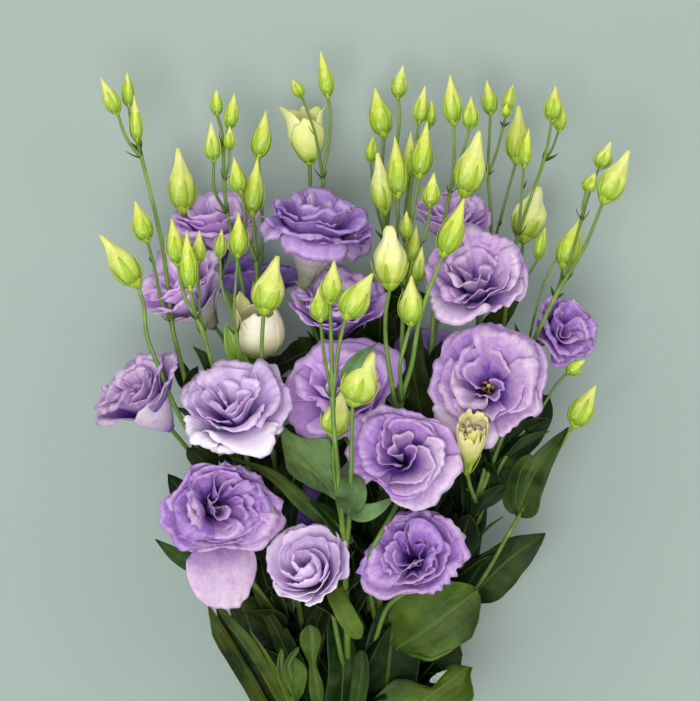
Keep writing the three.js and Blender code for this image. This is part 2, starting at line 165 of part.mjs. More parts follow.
// A leaf: midrib from base to tip, greatest half width, turn about the midrib and fold along it in degrees.
const LEAVES = [
  { name: 'leaf_low_left_outer', p: [[-31.2,-141.8,60.0],[-50.0,-92.9,86.0],[-66.0,-61.3,96.0],[-84.9,-35.0,100.0]], w: 11.2, roll: -12, fold: 10 },
  { name: 'leaf_low_left_edge', p: [[-27.4,-123.7,84.0],[-42.7,-87.8,108.0],[-60.1,-56.3,120.0],[-79.2,-32.8,124.0]], w: 5.0, roll: 20, fold: 10 },
  { name: 'leaf_low_left_inner', p: [[-29.8,-92.6,80.0],[-41.2,-60.6,102.0],[-50.9,-39.5,112.0],[-60.3,-23.7,114.0]], w: 5.6, roll: -20, fold: 12 },
  { name: 'leaf_low_curl', p: [[-34.4,-87.2,104.0],[-38.0,-76.2,120.0],[-40.0,-64.0,130.0],[-34.0,-54.9,128.0]], w: 7.3, roll: 20, fold: 30 },
  { name: 'leaf_low_centre_left', p: [[-23.1,-126.5,66.0],[-23.9,-90.2,98.0],[-27.0,-65.0,112.0],[-28.6,-43.8,118.0]], w: 6.2, roll: 15, fold: 12 },
  { name: 'leaf_low_centre', p: [[-11.7,-124.3,50.0],[-11.0,-91.0,92.0],[-10.4,-65.7,106.0],[-15.9,-37.4,110.0]], w: 10.1, roll: 25, fold: 16 },
  { name: 'leaf_low_bright', p: [[-16.3,-15.0,132.0],[-12.5,-26.7,142.0],[-6.5,-38.5,144.0],[0.1,-49.3,134.0]], w: 7.3, roll: -10, fold: 12 },
  { name: 'leaf_low_strip', p: [[-5.9,-127.8,76.0],[-2.6,-93.3,108.0],[0.2,-72.1,118.0],[0.7,-57.2,122.0]], w: 5.0, roll: -18, fold: 14 },
  { name: 'leaf_low_right_back', p: [[6.8,-130.1,50.0],[13.3,-91.8,86.0],[16.5,-59.7,100.0],[19.8,-30.2,104.0]], w: 13.4, roll: 12, fold: 10 },
  { name: 'leaf_right_broad', p: [[21.2,-76.2,84.0],[35.3,-57.9,106.0],[49.5,-41.3,116.0],[65.1,-24.8,114.0]], w: 18.5, roll: 20, fold: 12 },
  { name: 'leaf_right_low', p: [[14.8,-136.6,60.0],[23.3,-103.1,94.0],[38.6,-83.6,110.0],[61.6,-69.0,106.0]], w: 16.2, roll: -12, fold: 16 },
  { name: 'leaf_far_right', p: [[62.8,-34.8,66.0],[74.8,-19.5,78.0],[87.0,-7.9,82.0],[104.7,4.5,80.0]], w: 12.9, roll: 10, fold: 16 },
  { name: 'leaf_right_vertical', p: [[58.5,-28.7,58.0],[60.8,-5.8,72.0],[63.3,18.7,80.0],[62.2,48.7,80.0]], w: 7.8, roll: 25, fold: 12 },
  { name: 'leaf_right_upper', p: [[74.8,33.9,78.0],[82.8,48.4,87.0],[92.7,62.7,90.0],[106.6,82.3,86.0]], w: 10.6, roll: 20, fold: 16 },
  { name: 'leaf_right_stem', p: [[88.3,15.7,97.0],[92.4,29.0,104.0],[100.5,44.8,108.0],[115.9,65.5,110.0]], w: 10.6, roll: -16, fold: 20 },
  { name: 'leaf_centre_big', p: [[-10.2,26.1,160.0],[-19.4,38.9,158.0],[-30.8,51.0,152.0],[-43.9,68.1,146.0]], w: 11.8, roll: 10, fold: 14 },
  { name: 'leaf_centre_narrow', p: [[-11.4,9.7,148.0],[-29.8,24.2,146.0],[-48.4,40.2,141.0],[-71.0,49.8,136.0]], w: 4.5, roll: 10, fold: 14 },
  { name: 'leaf_cup', p: [[-9.7,22.8,168.0],[-5.4,29.2,178.0],[-4.9,35.2,181.0],[-7.5,41.4,178.0]], w: 7.8, roll: 0, fold: 30 },
  { name: 'leaf_front_right', p: [[-5.9,24.9,168.0],[-0.1,21.7,177.0],[8.4,24.0,179.0],[18.5,30.6,175.0]], w: 5.0, roll: -6, fold: 18 },
  { name: 'leaf_front_bract', p: [[-8.0,90.3,184.0],[-5.9,97.3,192.0],[-0.7,104.6,195.0],[7.7,111.5,193.0]], w: 4.5, roll: 10, fold: 18 },
  { name: 'leaf_left_back', p: [[-76.5,11.6,76.0],[-89.0,-10.4,86.0],[-100.8,-9.1,88.0],[-116.0,1.6,88.0]], w: 6.2, roll: 0, fold: 14 },
  { name: 'leaf_centre_dark', p: [[-22.0,108.3,62.0],[-31.0,107.2,74.0],[-40.0,102.6,80.0],[-50.8,98.1,80.0]], w: 8.4, roll: 15, fold: 12 },
  { name: 'leaf_centre_right_dark', p: [[38.6,51.3,72.0],[33.7,77.2,84.0],[30.1,99.9,90.0],[33.5,124.1,90.0]], w: 9.0, roll: -15, fold: 12 },
  { name: 'leaf_right_top', p: [[71.2,117.0,58.0],[76.8,124.3,72.0],[83.7,132.7,80.0],[92.1,141.2,82.0]], w: 6.2, roll: 10, fold: 12 },
];

// Where the stems lie in the band, seen along the stems.
const BAND_Y = -182.0;
const BAND_SLOTS = [[-13.06,4.05],[-8.3,4.05],[-3.56,4.05],[1.2,4.05],[-15.43,8.2],[-10.68,8.2],[-5.93,8.2],[-1.18,8.2],[3.57,8.2],[-13.06,12.35],[-8.3,12.35],[-3.56,12.35],[1.2,12.35],[-10.68,16.5],[-5.93,16.5],[-1.18,16.5]];

// bud outlines: [part of the length, part of the half width]
const BUD = {
  tight: [[0.12, 0.72], [0.32, 1.0], [0.55, 0.78], [0.8, 0.32], [1.0, 0.06]],
  small: [[0.14, 0.75], [0.36, 1.0], [0.7, 0.6], [1.0, 0.08]],
  big: [[0.1, 0.66], [0.3, 1.0], [0.52, 0.88], [0.78, 0.42], [1.0, 0.08]],
  cream: [[0.1, 0.6], [0.35, 1.0], [0.62, 0.86], [0.85, 0.46], [1.0, 0.12]],
  faded: [[0.1, 0.45], [0.35, 0.9], [0.65, 1.0], [0.86, 0.66], [1.0, 0.2]],
  opening: [[0.1, 0.4], [0.32, 0.82], [0.62, 1.0], [0.84, 0.86], [1.0, 0.45]],
};
// flower outlines from the tube to the middle of the face: [part of the depth, part of the half width]
const FORM = {
  open: [[0.14, 0.17], [0.38, 0.3], [0.62, 0.56], [0.84, 0.9], [0.95, 1.0], [1.03, 0.84], [1.05, 0.48], [0.99, 0.2]],
  side: [[0.12, 0.2], [0.34, 0.42], [0.6, 0.7], [0.86, 0.95], [1.0, 0.97], [1.05, 0.74], [1.02, 0.4], [0.96, 0.18]],
  rose: [[0.14, 0.24], [0.36, 0.55], [0.6, 0.86], [0.84, 1.0], [1.0, 0.84], [1.06, 0.5], [1.04, 0.2]],
  cream: [[0.1, 0.3], [0.3, 0.72], [0.55, 1.0], [0.82, 0.86], [1.0, 0.5], [1.02, 0.22]],
  back: [[0.14, 0.18], [0.4, 0.36], [0.66, 0.66], [0.88, 0.95], [0.98, 0.97], [0.99, 0.7], [0.95, 0.4], [0.9, 0.18]],
};

// ---------------------------------------------------------------- helpers
const wasm = await Module();
wasm.setup();
const V = (a) => new THREE.Vector3(a[0], a[1], a[2]);

function toSolid(geometry) {
  geometry.deleteAttribute('normal');
  geometry.deleteAttribute('uv');
  const g = mergeVertices(geometry, 1e-4);
  const p = g.attributes.position.array, ix = g.index.array, tri = [];
  let vol = 0;
  for (let i = 0; i < ix.length; i += 3) {
    const [a, b, c] = [ix[i], ix[i + 1], ix[i + 2]];
    if (a === b || b === c || a === c) continue;
    tri.push(a, b, c);
    const A = V([p[3 * a], p[3 * a + 1], p[3 * a + 2]]), B = V([p[3 * b], p[3 * b + 1], p[3 * b + 2]]), C = V([p[3 * c], p[3 * c + 1], p[3 * c + 2]]);
    vol += A.dot(B.cross(C));
  }
  if (vol < 0) for (let i = 0; i < tri.length; i += 3) [tri[i + 1], tri[i + 2]] = [tri[i + 2], tri[i + 1]];
  return new wasm.Manifold(new wasm.Mesh({ numProp: 3, vertProperties: new Float32Array(p), triVerts: new Uint32Array(tri) }));
}

function toGeometry(solid) {
  const m = solid.getMesh();
  const g = new THREE.BufferGeometry();
  g.setAttribute('position', new THREE.BufferAttribute(new Float32Array(m.vertProperties), 3));
  g.setIndex(new THREE.BufferAttribute(new Uint32Array(m.triVerts), 1));
  g.computeVertexNormals();
  return g;
}

// The largest single piece of a solid, so that a sliver left by a cut is dropped.
function largest(solid) {
  const parts = solid.decompose();
  if (parts.length < 2) return solid;
  parts.sort((a, b) => b.volume() - a.volume());
  return parts[0];
}

// A round bar through the given centres, each with its own radius: a cylinder bent along the line.
function bar(rings, sides) {
  const n = rings.length - 1;
  const g = new THREE.CylinderGeometry(1, 1, 1, sides, n, false);
  const C = rings.map((q) => V(q)), T = C.map((c, i) => C[Math.min(i + 1, n)].clone().sub(C[Math.max(i - 1, 0)]).normalize());
  const N = [];
  let ref = Math.abs(T[0].z) < 0.9 ? new THREE.Vector3(0, 0, 1) : new THREE.Vector3(1, 0, 0);
  for (let i = 0; i <= n; i++) { ref = ref.clone().addScaledVector(T[i], -ref.dot(T[i])).normalize(); N.push(ref); }
  const B = N.map((v, i) => v.clone().cross(T[i]));
  const pos = g.attributes.position;
  for (let i = 0; i < pos.count; i++) {
    const k = Math.round((pos.getY(i) + 0.5) * n), x = pos.getX(i), z = pos.getZ(i), r = rings[k][3];
    const q = C[k].clone().addScaledVector(N[k], x * r).addScaledVector(B[k], z * r);
    pos.setXYZ(i, q.x, q.y, q.z);
  }
  return g;
}

// Centre line of one shoot with its bud; `grow` adds clearance all round.
function shootRings(s, grow) {
  const rings = s.p.map((q) => [...q]);
  if (s.bud) {
    const a = V(rings[rings.length - 1]), b = V(s.bud);
    for (const [t, w] of BUD[s.bud[4]]) {
      const c = a.clone().lerp(b, t);
      rings.push([c.x, c.y, c.z, Math.max(0.22, w * s.bud[3])]);
    }
  }
  if (grow) {
    for (const q of rings) q[3] += grow;
    for (const [e, d] of [[0, 1], [rings.length - 1, rings.length - 2]]) {
      const u = V(rings[e]).sub(V(rings[d])).normalize().multiplyScalar(grow);
      rings[e][0] += u.x; rings[e][1] += u.y; rings[e][2] += u.z;
    }
  }
  return rings;
}

function spraySolid(shoots, grow) {
  let all = null;
  for (const s of shoots) {
    const piece = toSolid(bar(shootRings(s, grow), s.parent ? SHOOT_SIDES : MAIN_SIDES));
    all = all ? all.add(piece) : piece;
  }
  return all;
}

// An open flower as one cup: a turned outline with a wavy rim, set along its own axis.
function flowerSolid(f, grow) {
  const base = V(f.base), axis = V(f.face).sub(base), depth = axis.length();
  axis.normalize();
  const lift = CLEAR - grow;
  const pts = [[lift, 0], [lift, 2.4 + grow]];
  for (const [h, r] of FORM[f.kind]) pts.push([h * depth + (h > 0.95 ? grow : 0), r * f.R + grow]);
  pts.push([pts[pts.length - 1][0] - (f.kind === 'rose' || f.kind === 'cream' ? 0 : 2.2), 0]);
  const g = new THREE.LatheGeometry(pts.map(([h, r]) => new THREE.Vector2(r, h)), PETAL_SEGMENTS);
  const u = new THREE.Vector3(0, 0, 1).cross(axis);
  if (u.length() < 0.15) u.set(1, 0, 0);
  u.normalize();
  const v = axis.clone().cross(u), pos = g.attributes.position;
  for (let i = 0; i < pos.count; i++) {
    const x = pos.getX(i), y = pos.getY(i), z = pos.getZ(i), r = Math.hypot(x, z), a = Math.atan2(z, x);
    const k = r > 1e-4 ? 1 + RUFFLE * Math.pow(Math.min(1, r / f.R), 2) * Math.cos(5 * a + f.seed) : 1;
    const h = y + (y > 0.7 * depth ? 0.05 * f.R * (r / f.R) * Math.sin(3 * a + 2 * f.seed) : 0);
    const q = base.clone().addScaledVector(axis, h).addScaledVector(u, x * k).addScaledVector(v, z * k);
    pos.setXYZ(i, q.x, q.y, q.z);
  }
  return toSolid(g);
}

// A leaf blade: a thin slab with an oval outline, bent along its midrib and folded a little.
function leafSolid(l, grow) {
  const g = new THREE.BoxGeometry(1, 1, 1, 2, 1, 6);
  const curve = new THREE.CatmullRomCurve3(l.p.map(V), false, 'centripetal');
  const pos = g.attributes.position, up = new THREE.Vector3(0, 0, 1);
  const shape = new THREE.SplineCurve([[0, 0.26], [0.14, 0.72], [0.34, 1], [0.56, 0.93], [0.78, 0.62], [0.92, 0.3], [1, 0.07]].map((q) => new THREE.Vector2(q[0], q[1])));
  for (let i = 0; i < pos.count; i++) {
    const t = pos.getZ(i) + 0.5, s = 2 * pos.getX(i), y = pos.getY(i);
    const c = curve.getPointAt(Math.min(1, Math.max(0, t))), T = curve.getTangentAt(Math.min(1, Math.max(0, t)));
    const n = up.clone().addScaledVector(T, -up.dot(T)).normalize().applyAxisAngle(T, THREE.MathUtils.degToRad(l.roll));
    const side = T.clone().cross(n);
    const w = Math.max(0.7, shape.getPoint(t).y * l.w) + grow;
    const lift = Math.tan(THREE.MathUtils.degToRad(l.fold)) * Math.abs(s) * w;
    const q = c.addScaledVector(side, s * w).addScaledVector(n, lift + y * (LEAF_THICK + 2 * grow)).addScaledVector(T, (t - 0.5) * 2 * grow);
    pos.setXYZ(i, q.x, q.y, q.z);
  }
  return toSolid(g);
}

// The band: a flat ring turned round the stems, each of its steps drawn out to the outermost stem on that side.
function bandGeometry() {
  const steps = 28, w = BAND_WIDTH / 2;
  const g = new THREE.LatheGeometry([[1, -w], [2, -w], [2, w], [1, w], [1, -w]].map(([r, y]) => new THREE.Vector2(r, y)), steps);
  const pos = g.attributes.position;
  for (let i = 0; i < pos.count; i++) {
    const x = pos.getX(i), z = pos.getZ(i), r = Math.hypot(x, z);
    const a = Math.round(Math.atan2(z, x) / (2 * Math.PI / steps)) * 2 * Math.PI / steps, c = Math.cos(a), d = Math.sin(a);
    const [sx, sz] = BAND_SLOTS.reduce((p, q) => (q[0] * c + q[1] * d > p[0] * c + p[1] * d + 1e-9 ? q : p));
    const out = STEM_AT_BAND + CLEAR + (r > 1.5 ? BAND_THICK : 0);
    pos.setXYZ(i, sx + c * out, BAND_Y + pos.getY(i), sz + d * out);
  }
  return g;
}

// ---------------------------------------------------------------- the pieces
const material = (colour, roughness) => new THREE.MeshStandardMaterial({ color: colour, roughness, metalness: 0 });
const group = new THREE.Group();
const overlaps = (a, b) => { const p = a.boundingBox(), q = b.boundingBox(); return [0, 1, 2].every((i) => p.min[i] < q.max[i] && q.min[i] < p.max[i]); };
function place(name, solid, mat) {
  const mesh = new THREE.Mesh(toGeometry(solid), mat);
  mesh.name = name;
  group.add(mesh);
}

const wide = [];               // what stands already, with its clearance, for the later pieces to stay out of
const stemMat = material(GREEN_STEM, 0.55);
for (const [name, shoots] of Object.entries(SPRAYS)) {
  let s = spraySolid(shoots, 0);
  for (const w of wide) if (overlaps(s, w) && s.intersect(w).volume() > 0.02) s = largest(s.subtract(w));
  place(name, s, stemMat);
  wide.push(spraySolid(shoots, CLEAR));
}
for (const f of FLOWERS) {
  let s = flowerSolid(f, 0);
  for (const w of wide) if (overlaps(s, w)) s = largest(s.subtract(w));
  place(f.name, s, material(f.kind === 'cream' ? CREAM : LILAC, 0.6));
  wide.push(flowerSolid(f, CLEAR));
}
for (const l of LEAVES) {
  let s = leafSolid(l, 0);
  for (const w of wide) if (overlaps(s, w)) s = largest(s.subtract(w));
  place(l.name, s, material(GREEN_LEAF, 0.5));
  wide.push(leafSolid(l, CLEAR));
}
place('tie_band', toSolid(bandGeometry()), material(BAND, 0.7));

export default group;
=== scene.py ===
import math
import bpy
import numpy as np
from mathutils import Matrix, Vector


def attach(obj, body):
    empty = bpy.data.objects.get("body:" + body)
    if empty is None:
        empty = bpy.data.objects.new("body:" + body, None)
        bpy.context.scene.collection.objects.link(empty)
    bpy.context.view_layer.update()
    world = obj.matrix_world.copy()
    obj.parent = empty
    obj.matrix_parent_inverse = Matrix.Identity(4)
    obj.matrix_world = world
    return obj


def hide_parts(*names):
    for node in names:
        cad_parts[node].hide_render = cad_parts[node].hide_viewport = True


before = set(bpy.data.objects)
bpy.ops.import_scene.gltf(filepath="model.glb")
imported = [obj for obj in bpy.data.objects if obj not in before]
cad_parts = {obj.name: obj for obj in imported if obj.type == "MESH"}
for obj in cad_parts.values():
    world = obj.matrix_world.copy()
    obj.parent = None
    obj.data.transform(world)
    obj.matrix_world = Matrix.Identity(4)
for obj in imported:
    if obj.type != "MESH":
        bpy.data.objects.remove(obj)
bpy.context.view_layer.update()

# A bunch of cut double lisianthus lying on its back: stems, buds, ruffled flowers and leaves,
# built as thin closed blades and tubes. Lengths below are in millimetres until they become mesh.

MM = 0.001

# ------------------------------------------------------------------ mesh building
class Geo:
    """Gathers closed pieces of mesh, with a vector at each vertex: across, along, tone."""
    def __init__(self):
        self.V, self.F, self.A, self.M, self.n = [], [], [], [], 0
        self.T, self.TM = [], []

    def add(self, V, F, A, mat=0):
        V = np.asarray(V, float).reshape(-1, 3); F = np.asarray(F, int)
        A = np.asarray(A, float)
        if A.ndim == 1:
            A = np.tile(A, (len(V), 1))
        self.V.append(V); self.A.append(A.reshape(-1, 3))
        if F.shape[1] == 4:
            self.F.append(F + self.n); self.M.append(np.full(len(F), mat))
        else:
            self.T.append(F + self.n); self.TM.append(np.full(len(F), mat))
        self.n += len(V)

    def tris(self):
        return 2 * sum(len(f) for f in self.F) + sum(len(f) for f in self.T)

    def make(self, name, mats):
        V = np.vstack(self.V); A = np.vstack(self.A)
        # what lies lowest is pressed flat just above the table
        z = V[:, 2]; V[:, 2] = np.where(z < 3.0, 0.3 + 2.7 * np.exp((np.minimum(z, 3.0) - 3.0) / 2.7), z)
        Q = np.vstack(self.F) if self.F else np.zeros((0, 4), int)
        T = np.vstack(self.T) if self.T else np.zeros((0, 3), int)
        me = bpy.data.meshes.new(name)
        me.vertices.add(len(V)); me.vertices.foreach_set("co", (V * MM).ravel())
        loops = np.concatenate([Q.ravel(), T.ravel()])
        me.loops.add(len(loops)); me.loops.foreach_set("vertex_index", loops)
        sizes = np.concatenate([np.full(len(Q), 4), np.full(len(T), 3)])
        starts = np.concatenate([[0], np.cumsum(sizes)[:-1]])
        me.polygons.add(len(sizes)); me.polygons.foreach_set("loop_start", starts)
        idx = np.concatenate(self.M + self.TM) if (self.M or self.TM) else []
        for m in mats:
            me.materials.append(m)
        me.polygons.foreach_set("material_index", np.asarray(idx, np.int32))
        me.polygons.foreach_set("use_smooth", np.ones(len(sizes), bool))
        at = me.attributes.new("pst", "FLOAT_VECTOR", "POINT")
        at.data.foreach_set("vector", A.ravel())
        me.update(calc_edges=True); me.validate()
        ob = bpy.data.objects.new(name, me)
        bpy.context.scene.collection.objects.link(ob)
        return ob


def grid_faces(nv, ns, close=False):
    i = np.arange(nv - 1)[:, None]; m = ns if close else ns - 1
    j = np.arange(m)[None, :]; k = (j + 1) % ns
    return np.stack([i * ns + j, i * ns + k, (i + 1) * ns + k, (i + 1) * ns + j], -1).reshape(-1, 4)


def grid_normals(P):
    du = np.gradient(P, axis=1); dv = np.gradient(P, axis=0)
    n = np.cross(du, dv); l = np.linalg.norm(n, axis=-1, keepdims=True)
    return n / np.maximum(l, 1e-9)


def sheet(geo, P, A, thick, mat=0, edge=0.55):
    """A thin closed blade round the surface P (along, across), thinner at its free edges."""
    nv, ns = P.shape[:2]
    N = grid_normals(P)
    t = np.full((nv, ns), thick / 2.0)
    t[-1, :] *= edge; t[:, 0] *= edge; t[:, -1] *= edge
    top = P + N * t[..., None]; bot = P - N * t[..., None]
    V = np.concatenate([top.reshape(-1, 3), bot.reshape(-1, 3)])
    f = grid_faces(nv, ns); n = nv * ns
    fb = f[:, ::-1] + n
    rim = []
    ring = [(0, j) for j in range(ns)] + [(i, ns - 1) for i in range(1, nv)] + [(nv - 1, j) for j in range(ns - 2, -1, -1)] + [(i, 0) for i in range(nv - 2, 0, -1)]
    r = np.array([i * ns + j for i, j in ring]); q = np.roll(r, -1)
    side = np.stack([r, r + n, q + n, q], -1)
    F = np.concatenate([f, fb, side])
    AA = np.concatenate([A.reshape(-1, 3), A.reshape(-1, 3)])
    geo.add(V, F, AA, mat)


def crom(P, per=6, closed=False):
    """Catmull-Rom through P, `per` steps between points."""
    P = np.asarray(P, float)
    if len(P) < 3:
        t = np.linspace(0, 1, per + 1)[:, None]
        return P[0] + (P[-1] - P[0]) * t
    Q = np.vstack([2 * P[0] - P[1], P, 2 * P[-1] - P[-2]]); out = []
    t = (np.arange(per) / per)[:, None]
    for i in range(1, len(Q) - 2):
        a, b, c, d = Q[i - 1:i + 3]
        out.append(0.5 * (2 * b + (c - a) * t + (2 * a - 5 * b + 4 * c - d) * t ** 2 + (3 * b - a - 3 * c + d) * t ** 3))
    out.append(P[-1:])
    return np.vstack(out)


def even(P, n):
    """n points evenly spaced along the line P (all columns)."""
    d = np.r_[0, np.cumsum(np.linalg.norm(np.diff(P[:, :3], axis=0), axis=1))]
    s = np.linspace(0, d[-1], n)
    return np.stack([np.interp(s, d, P[:, k]) for k in range(P.shape[1])], 1)


def frames(C, hint=(0, 0, 1)):
    T = np.gradient(C, axis=0); T /= np.maximum(np.linalg.norm(T, axis=1, keepdims=True), 1e-9)
    N = np.zeros_like(T); r = np.array(hint, float)
    if abs(r @ T[0]) > 0.95:
        r = np.array([1.0, 0, 0])
    for i in range(len(T)):
        r = r - T[i] * (r @ T[i]); r /= max(np.linalg.norm(r), 1e-9); N[i] = r
    return T, N, np.cross(T, N)


def tube(geo, C, r, sides=9, mat=0, tone=0.5, cap=True, along=None, capmat=None):
    C = np.asarray(C, float); n = len(C); r = np.broadcast_to(np.asarray(r, float), (n,))
    T, N, B = frames(C)
    a = np.arange(sides) * 2 * math.pi / sides
    ring = N[:, None, :] * np.cos(a)[None, :, None] + B[:, None, :] * np.sin(a)[None, :, None]
    P = C[:, None, :] + ring * r[:, None, None]
    s = np.linspace(0, 1, n) if along is None else along
    A = np.stack(np.broadcast_arrays((a / math.pi - 1)[None, :], s[:, None], np.array(tone)), -1)
    base = geo.n
    geo.add(P, grid_faces(n, sides, True), A, mat)
    if cap:
        for e, d in ((0, 1), (n - 1, -1)):
            V = np.vstack([P[e], C[e] - T[e] * 0.15 * r[e] * d])
            j = np.arange(sides); k = (j + 1) % sides
            F = np.stack([k, j, np.full(sides, sides)], 1) if d == 1 else np.stack([j, k, np.full(sides, sides)], 1)
            # share the rim with the wall, so that the tube stays one closed mesh
            F = np.where(F < sides, F + base + e * sides, geo.n)
            geo.V.append(V[-1:]); geo.A.append(np.array([[0.0, s[e], tone]])); geo.n += 1
            geo.T.append(F); geo.TM.append(np.full(len(F), mat if capmat is None or d == -1 else capmat))


def smooth(x, a=0.0, b=1.0):
    x = np.clip((x - a) / (b - a), 0, 1)
    return x * x * (3 - 2 * x)


def basis(axis, roll=0.0):
    w = np.array(axis, float); w /= np.linalg.norm(w)
    u = np.cross([0, 0, 1.0], w)
    if np.linalg.norm(u) < 0.2:
        u = np.cross([0, 1.0, 0], w)
    u /= np.linalg.norm(u); v = np.cross(w, u)
    c, s = math.cos(roll), math.sin(roll)
    return np.array([u * c + v * s, v * c - u * s, w])


# ------------------------------------------------------------------ petals
def profile(pts, x):
    """Radius and height along a petal, x from 0 at the base to 1 at the rim."""
    P = crom(np.array(pts, float), 10); P = even(np.c_[P, np.zeros(len(P))], 60)[:, :2]
    g = np.linspace(0, 1, 60)
    return np.interp(x, g, P[:, 0]), np.interp(x, g, P[:, 1])


def ripple(s, rng, f0, f1, n=3):
    """A smooth line with no repeat: n waves of between f0 and f1 turns across the petal, swelling and fading."""
    y = 0
    for _ in range(n):
        f = rng.uniform(f0, f1); y = y + np.sin(f * math.pi * s + rng.uniform(0, 6.28)) / n ** 0.5
    return y * (0.7 + 0.45 * np.sin(rng.uniform(0.8, 1.7) * math.pi * s + rng.uniform(0, 6.28)))


def petal(geo, B, base, R, D, prof, phi, half, rng, size=(33, 15), length=1.0, wave=0.05, waves=1.6, ruffle=0.03, frill=0.010,
          spiral=0.03, cup=0.0, point=0.12, tone=0.5, thick=0.42, mat=0, tilt=0.0, narrow=0.62, curl=0.0, dent=0.0, ramp=(0.3, 1.0), notch=1.0, lean=0.0, reach=None, taper=0.0, sharp=2.8, show=0.0):
    """One petal of a whorl. prof gives its radius and height, in parts of R and D, from the tube to the rim."""
    ns, nv = size
    s = np.linspace(-1, 1, ns)[None, :]
    v = (np.linspace(0, 1, nv) ** 0.85)[:, None]
    ph = rng.uniform(0, 2 * math.pi, 8)
    L = length * (1 - point * np.abs(s) ** sharp) + notch * (0.020 * ripple(s, rng, 2.0, 4.0) + 0.007 * ripple(s, rng, 8.0, 12.0))
    x = v * L
    xc = np.clip(x, 0, 1.0)
    r, h = profile(prof, xc)
    over = np.maximum(x - 1.0, 0)
    e = 0.012
    r1, h1 = profile(prof, np.clip(xc - e, 0, 1)); r2, h2 = profile(prof, np.clip(xc + e, 0, 1))
    tr, th = (r2 - r1) * R, (h2 - h1) * D
    l = np.maximum(np.hypot(tr, th), 1e-9); tr, th = tr / l, th / l
    r, h = r * R, h * D
    r = r + tr * over * R; h = h + th * over * R
    al = half * (narrow + (1 - narrow) * smooth(x, 0.0, 0.6)) * (1 - taper * smooth(x, 0.6, 1.0))
    th_ = phi + s * al + 0.05 * np.sin(3 * v + ph[6]) + lean * smooth(x, 0.2, 1.0)
    k = smooth(x, *ramp)
    env = 0.55 + 0.45 * np.sin(1.3 * math.pi * s + ph[5])
    edge = smooth(x, 0.58, 1.0)
    disp = R * (wave * k * np.sin(waves * math.pi * s + ph[2] + 1.1 * v) * (0.6 + 0.4 * np.abs(s)) + 0.45 * wave * k * env * np.sin(1.9 * waves * math.pi * s + ph[3] - 1.4 * v)
                + ruffle * edge * ripple(s + 0.05 * v, rng, 2.8, 4.6) + frill * smooth(x, 0.82, 1.0) * ripple(s + 0.03 * v, rng, 7.0, 11.0)
                + spiral * (0.35 + k) * s + cup * k * s ** 2 - dent * k * np.exp(-((s - 0.4 * np.sin(ph[7])) / 0.3) ** 2))
    disp = disp + tilt * R * x ** 1.5 + curl * R * smooth(x, 0.74, 1.05) ** 2
    # the normal side: up on the flared part, inwards on the tube
    rr = r - th * disp; hh = h + tr * disp
    rr = np.maximum(rr, 0.25)
    if reach is not None:
        rr = rr * (1 + (np.interp(np.mod(th_, 2 * math.pi), *reach) - 1) * smooth(rr / R, 0.4, 1.0))
    X = np.stack([rr * np.cos(th_), rr * np.sin(th_), np.broadcast_to(hh, rr.shape)], -1)
    P = base + X @ B
    A = np.array(np.stack(np.broadcast_arrays(s, show + (1 - show) * x, np.array(tone)), -1))
    A[-1, :, 1] = 1.3
    sheet(geo, P, A, thick, mat)


def blades(geo, base, tip, W, rows, seed):
    """Petals set one by one round a foot: profile, turn from the side that faces up, half angle, options."""
    rng = np.random.default_rng(seed)
    base = np.array(base, float); axis = np.array(tip, float) - base; L = np.linalg.norm(axis); B = basis(axis)
    up = np.array([0, 0, 1.0]); up = up - axis * (up @ axis) / L ** 2; up = up / np.linalg.norm(up); right = np.cross(axis / L, up)
    for form, turn, half, o in rows:
        d = math.cos(math.radians(turn)) * up + math.sin(math.radians(turn)) * right
        petal(geo, B, base, W, L, form, math.atan2(B[1] @ d, B[0] @ d), math.radians(half), rng, **o)
    return B, L


def reach_of(B, R, rows):
    """Scale of the rim against a round flower, from how far it reaches in each heading on the table."""
    az = np.arange(72) * math.pi / 36
    p = 1.03 * R * (np.cos(az)[:, None] * B[0] + np.sin(az)[:, None] * B[1])
    head = np.degrees(np.arctan2(p[:, 1], p[:, 0])); rows = np.array(rows, float)
    h = np.r_[rows[:, 0] - 360, rows[:, 0], rows[:, 0] + 360]; d = np.tile(rows[:, 1], 3)
    k = np.clip(np.interp(head, h, d) / np.hypot(p[:, 0], p[:, 1]), 0.6, 1.3)
    k = 0.25 * np.roll(k, 1) + 0.5 * k + 0.25 * np.roll(k, -1)
    return np.r_[az, 2 * math.pi], np.r_[k, k[0]]


OPEN = dict(
    outer=[(0.07, 0.0), (0.13, 0.25), (0.25, 0.45), (0.50, 0.62), (0.80, 0.76), (1.0, 0.82), (1.07, 0.79)],
    mid=[(0.06, 0.02), (0.13, 0.26), (0.23, 0.48), (0.40, 0.70), (0.60, 0.89), (0.74, 0.99), (0.82, 0.99)],
    inner=[(0.05, 0.04), (0.11, 0.28), (0.19, 0.52), (0.31, 0.76), (0.43, 0.96), (0.51, 1.07), (0.56, 1.09)],
    core=[(0.04, 0.06), (0.09, 0.3), (0.14, 0.52), (0.21, 0.76), (0.28, 0.95), (0.33, 1.03)],
)
SIDE = dict(
    outer=[(0.07, 0.0), (0.18, 0.2), (0.38, 0.42), (0.66, 0.64), (0.9, 0.82), (1.04, 0.88), (1.1, 0.84)],
    mid=[(0.06, 0.02), (0.15, 0.24), (0.3, 0.48), (0.5, 0.74), (0.7, 0.94), (0.82, 1.0), (0.88, 0.99)],
    inner=[(0.05, 0.04), (0.12, 0.28), (0.22, 0.54), (0.35, 0.8), (0.48, 0.99), (0.57, 1.08), (0.62, 1.08)],
    core=[(0.04, 0.06), (0.09, 0.3), (0.14, 0.56), (0.21, 0.82), (0.3, 1.0), (0.38, 1.06)],
)
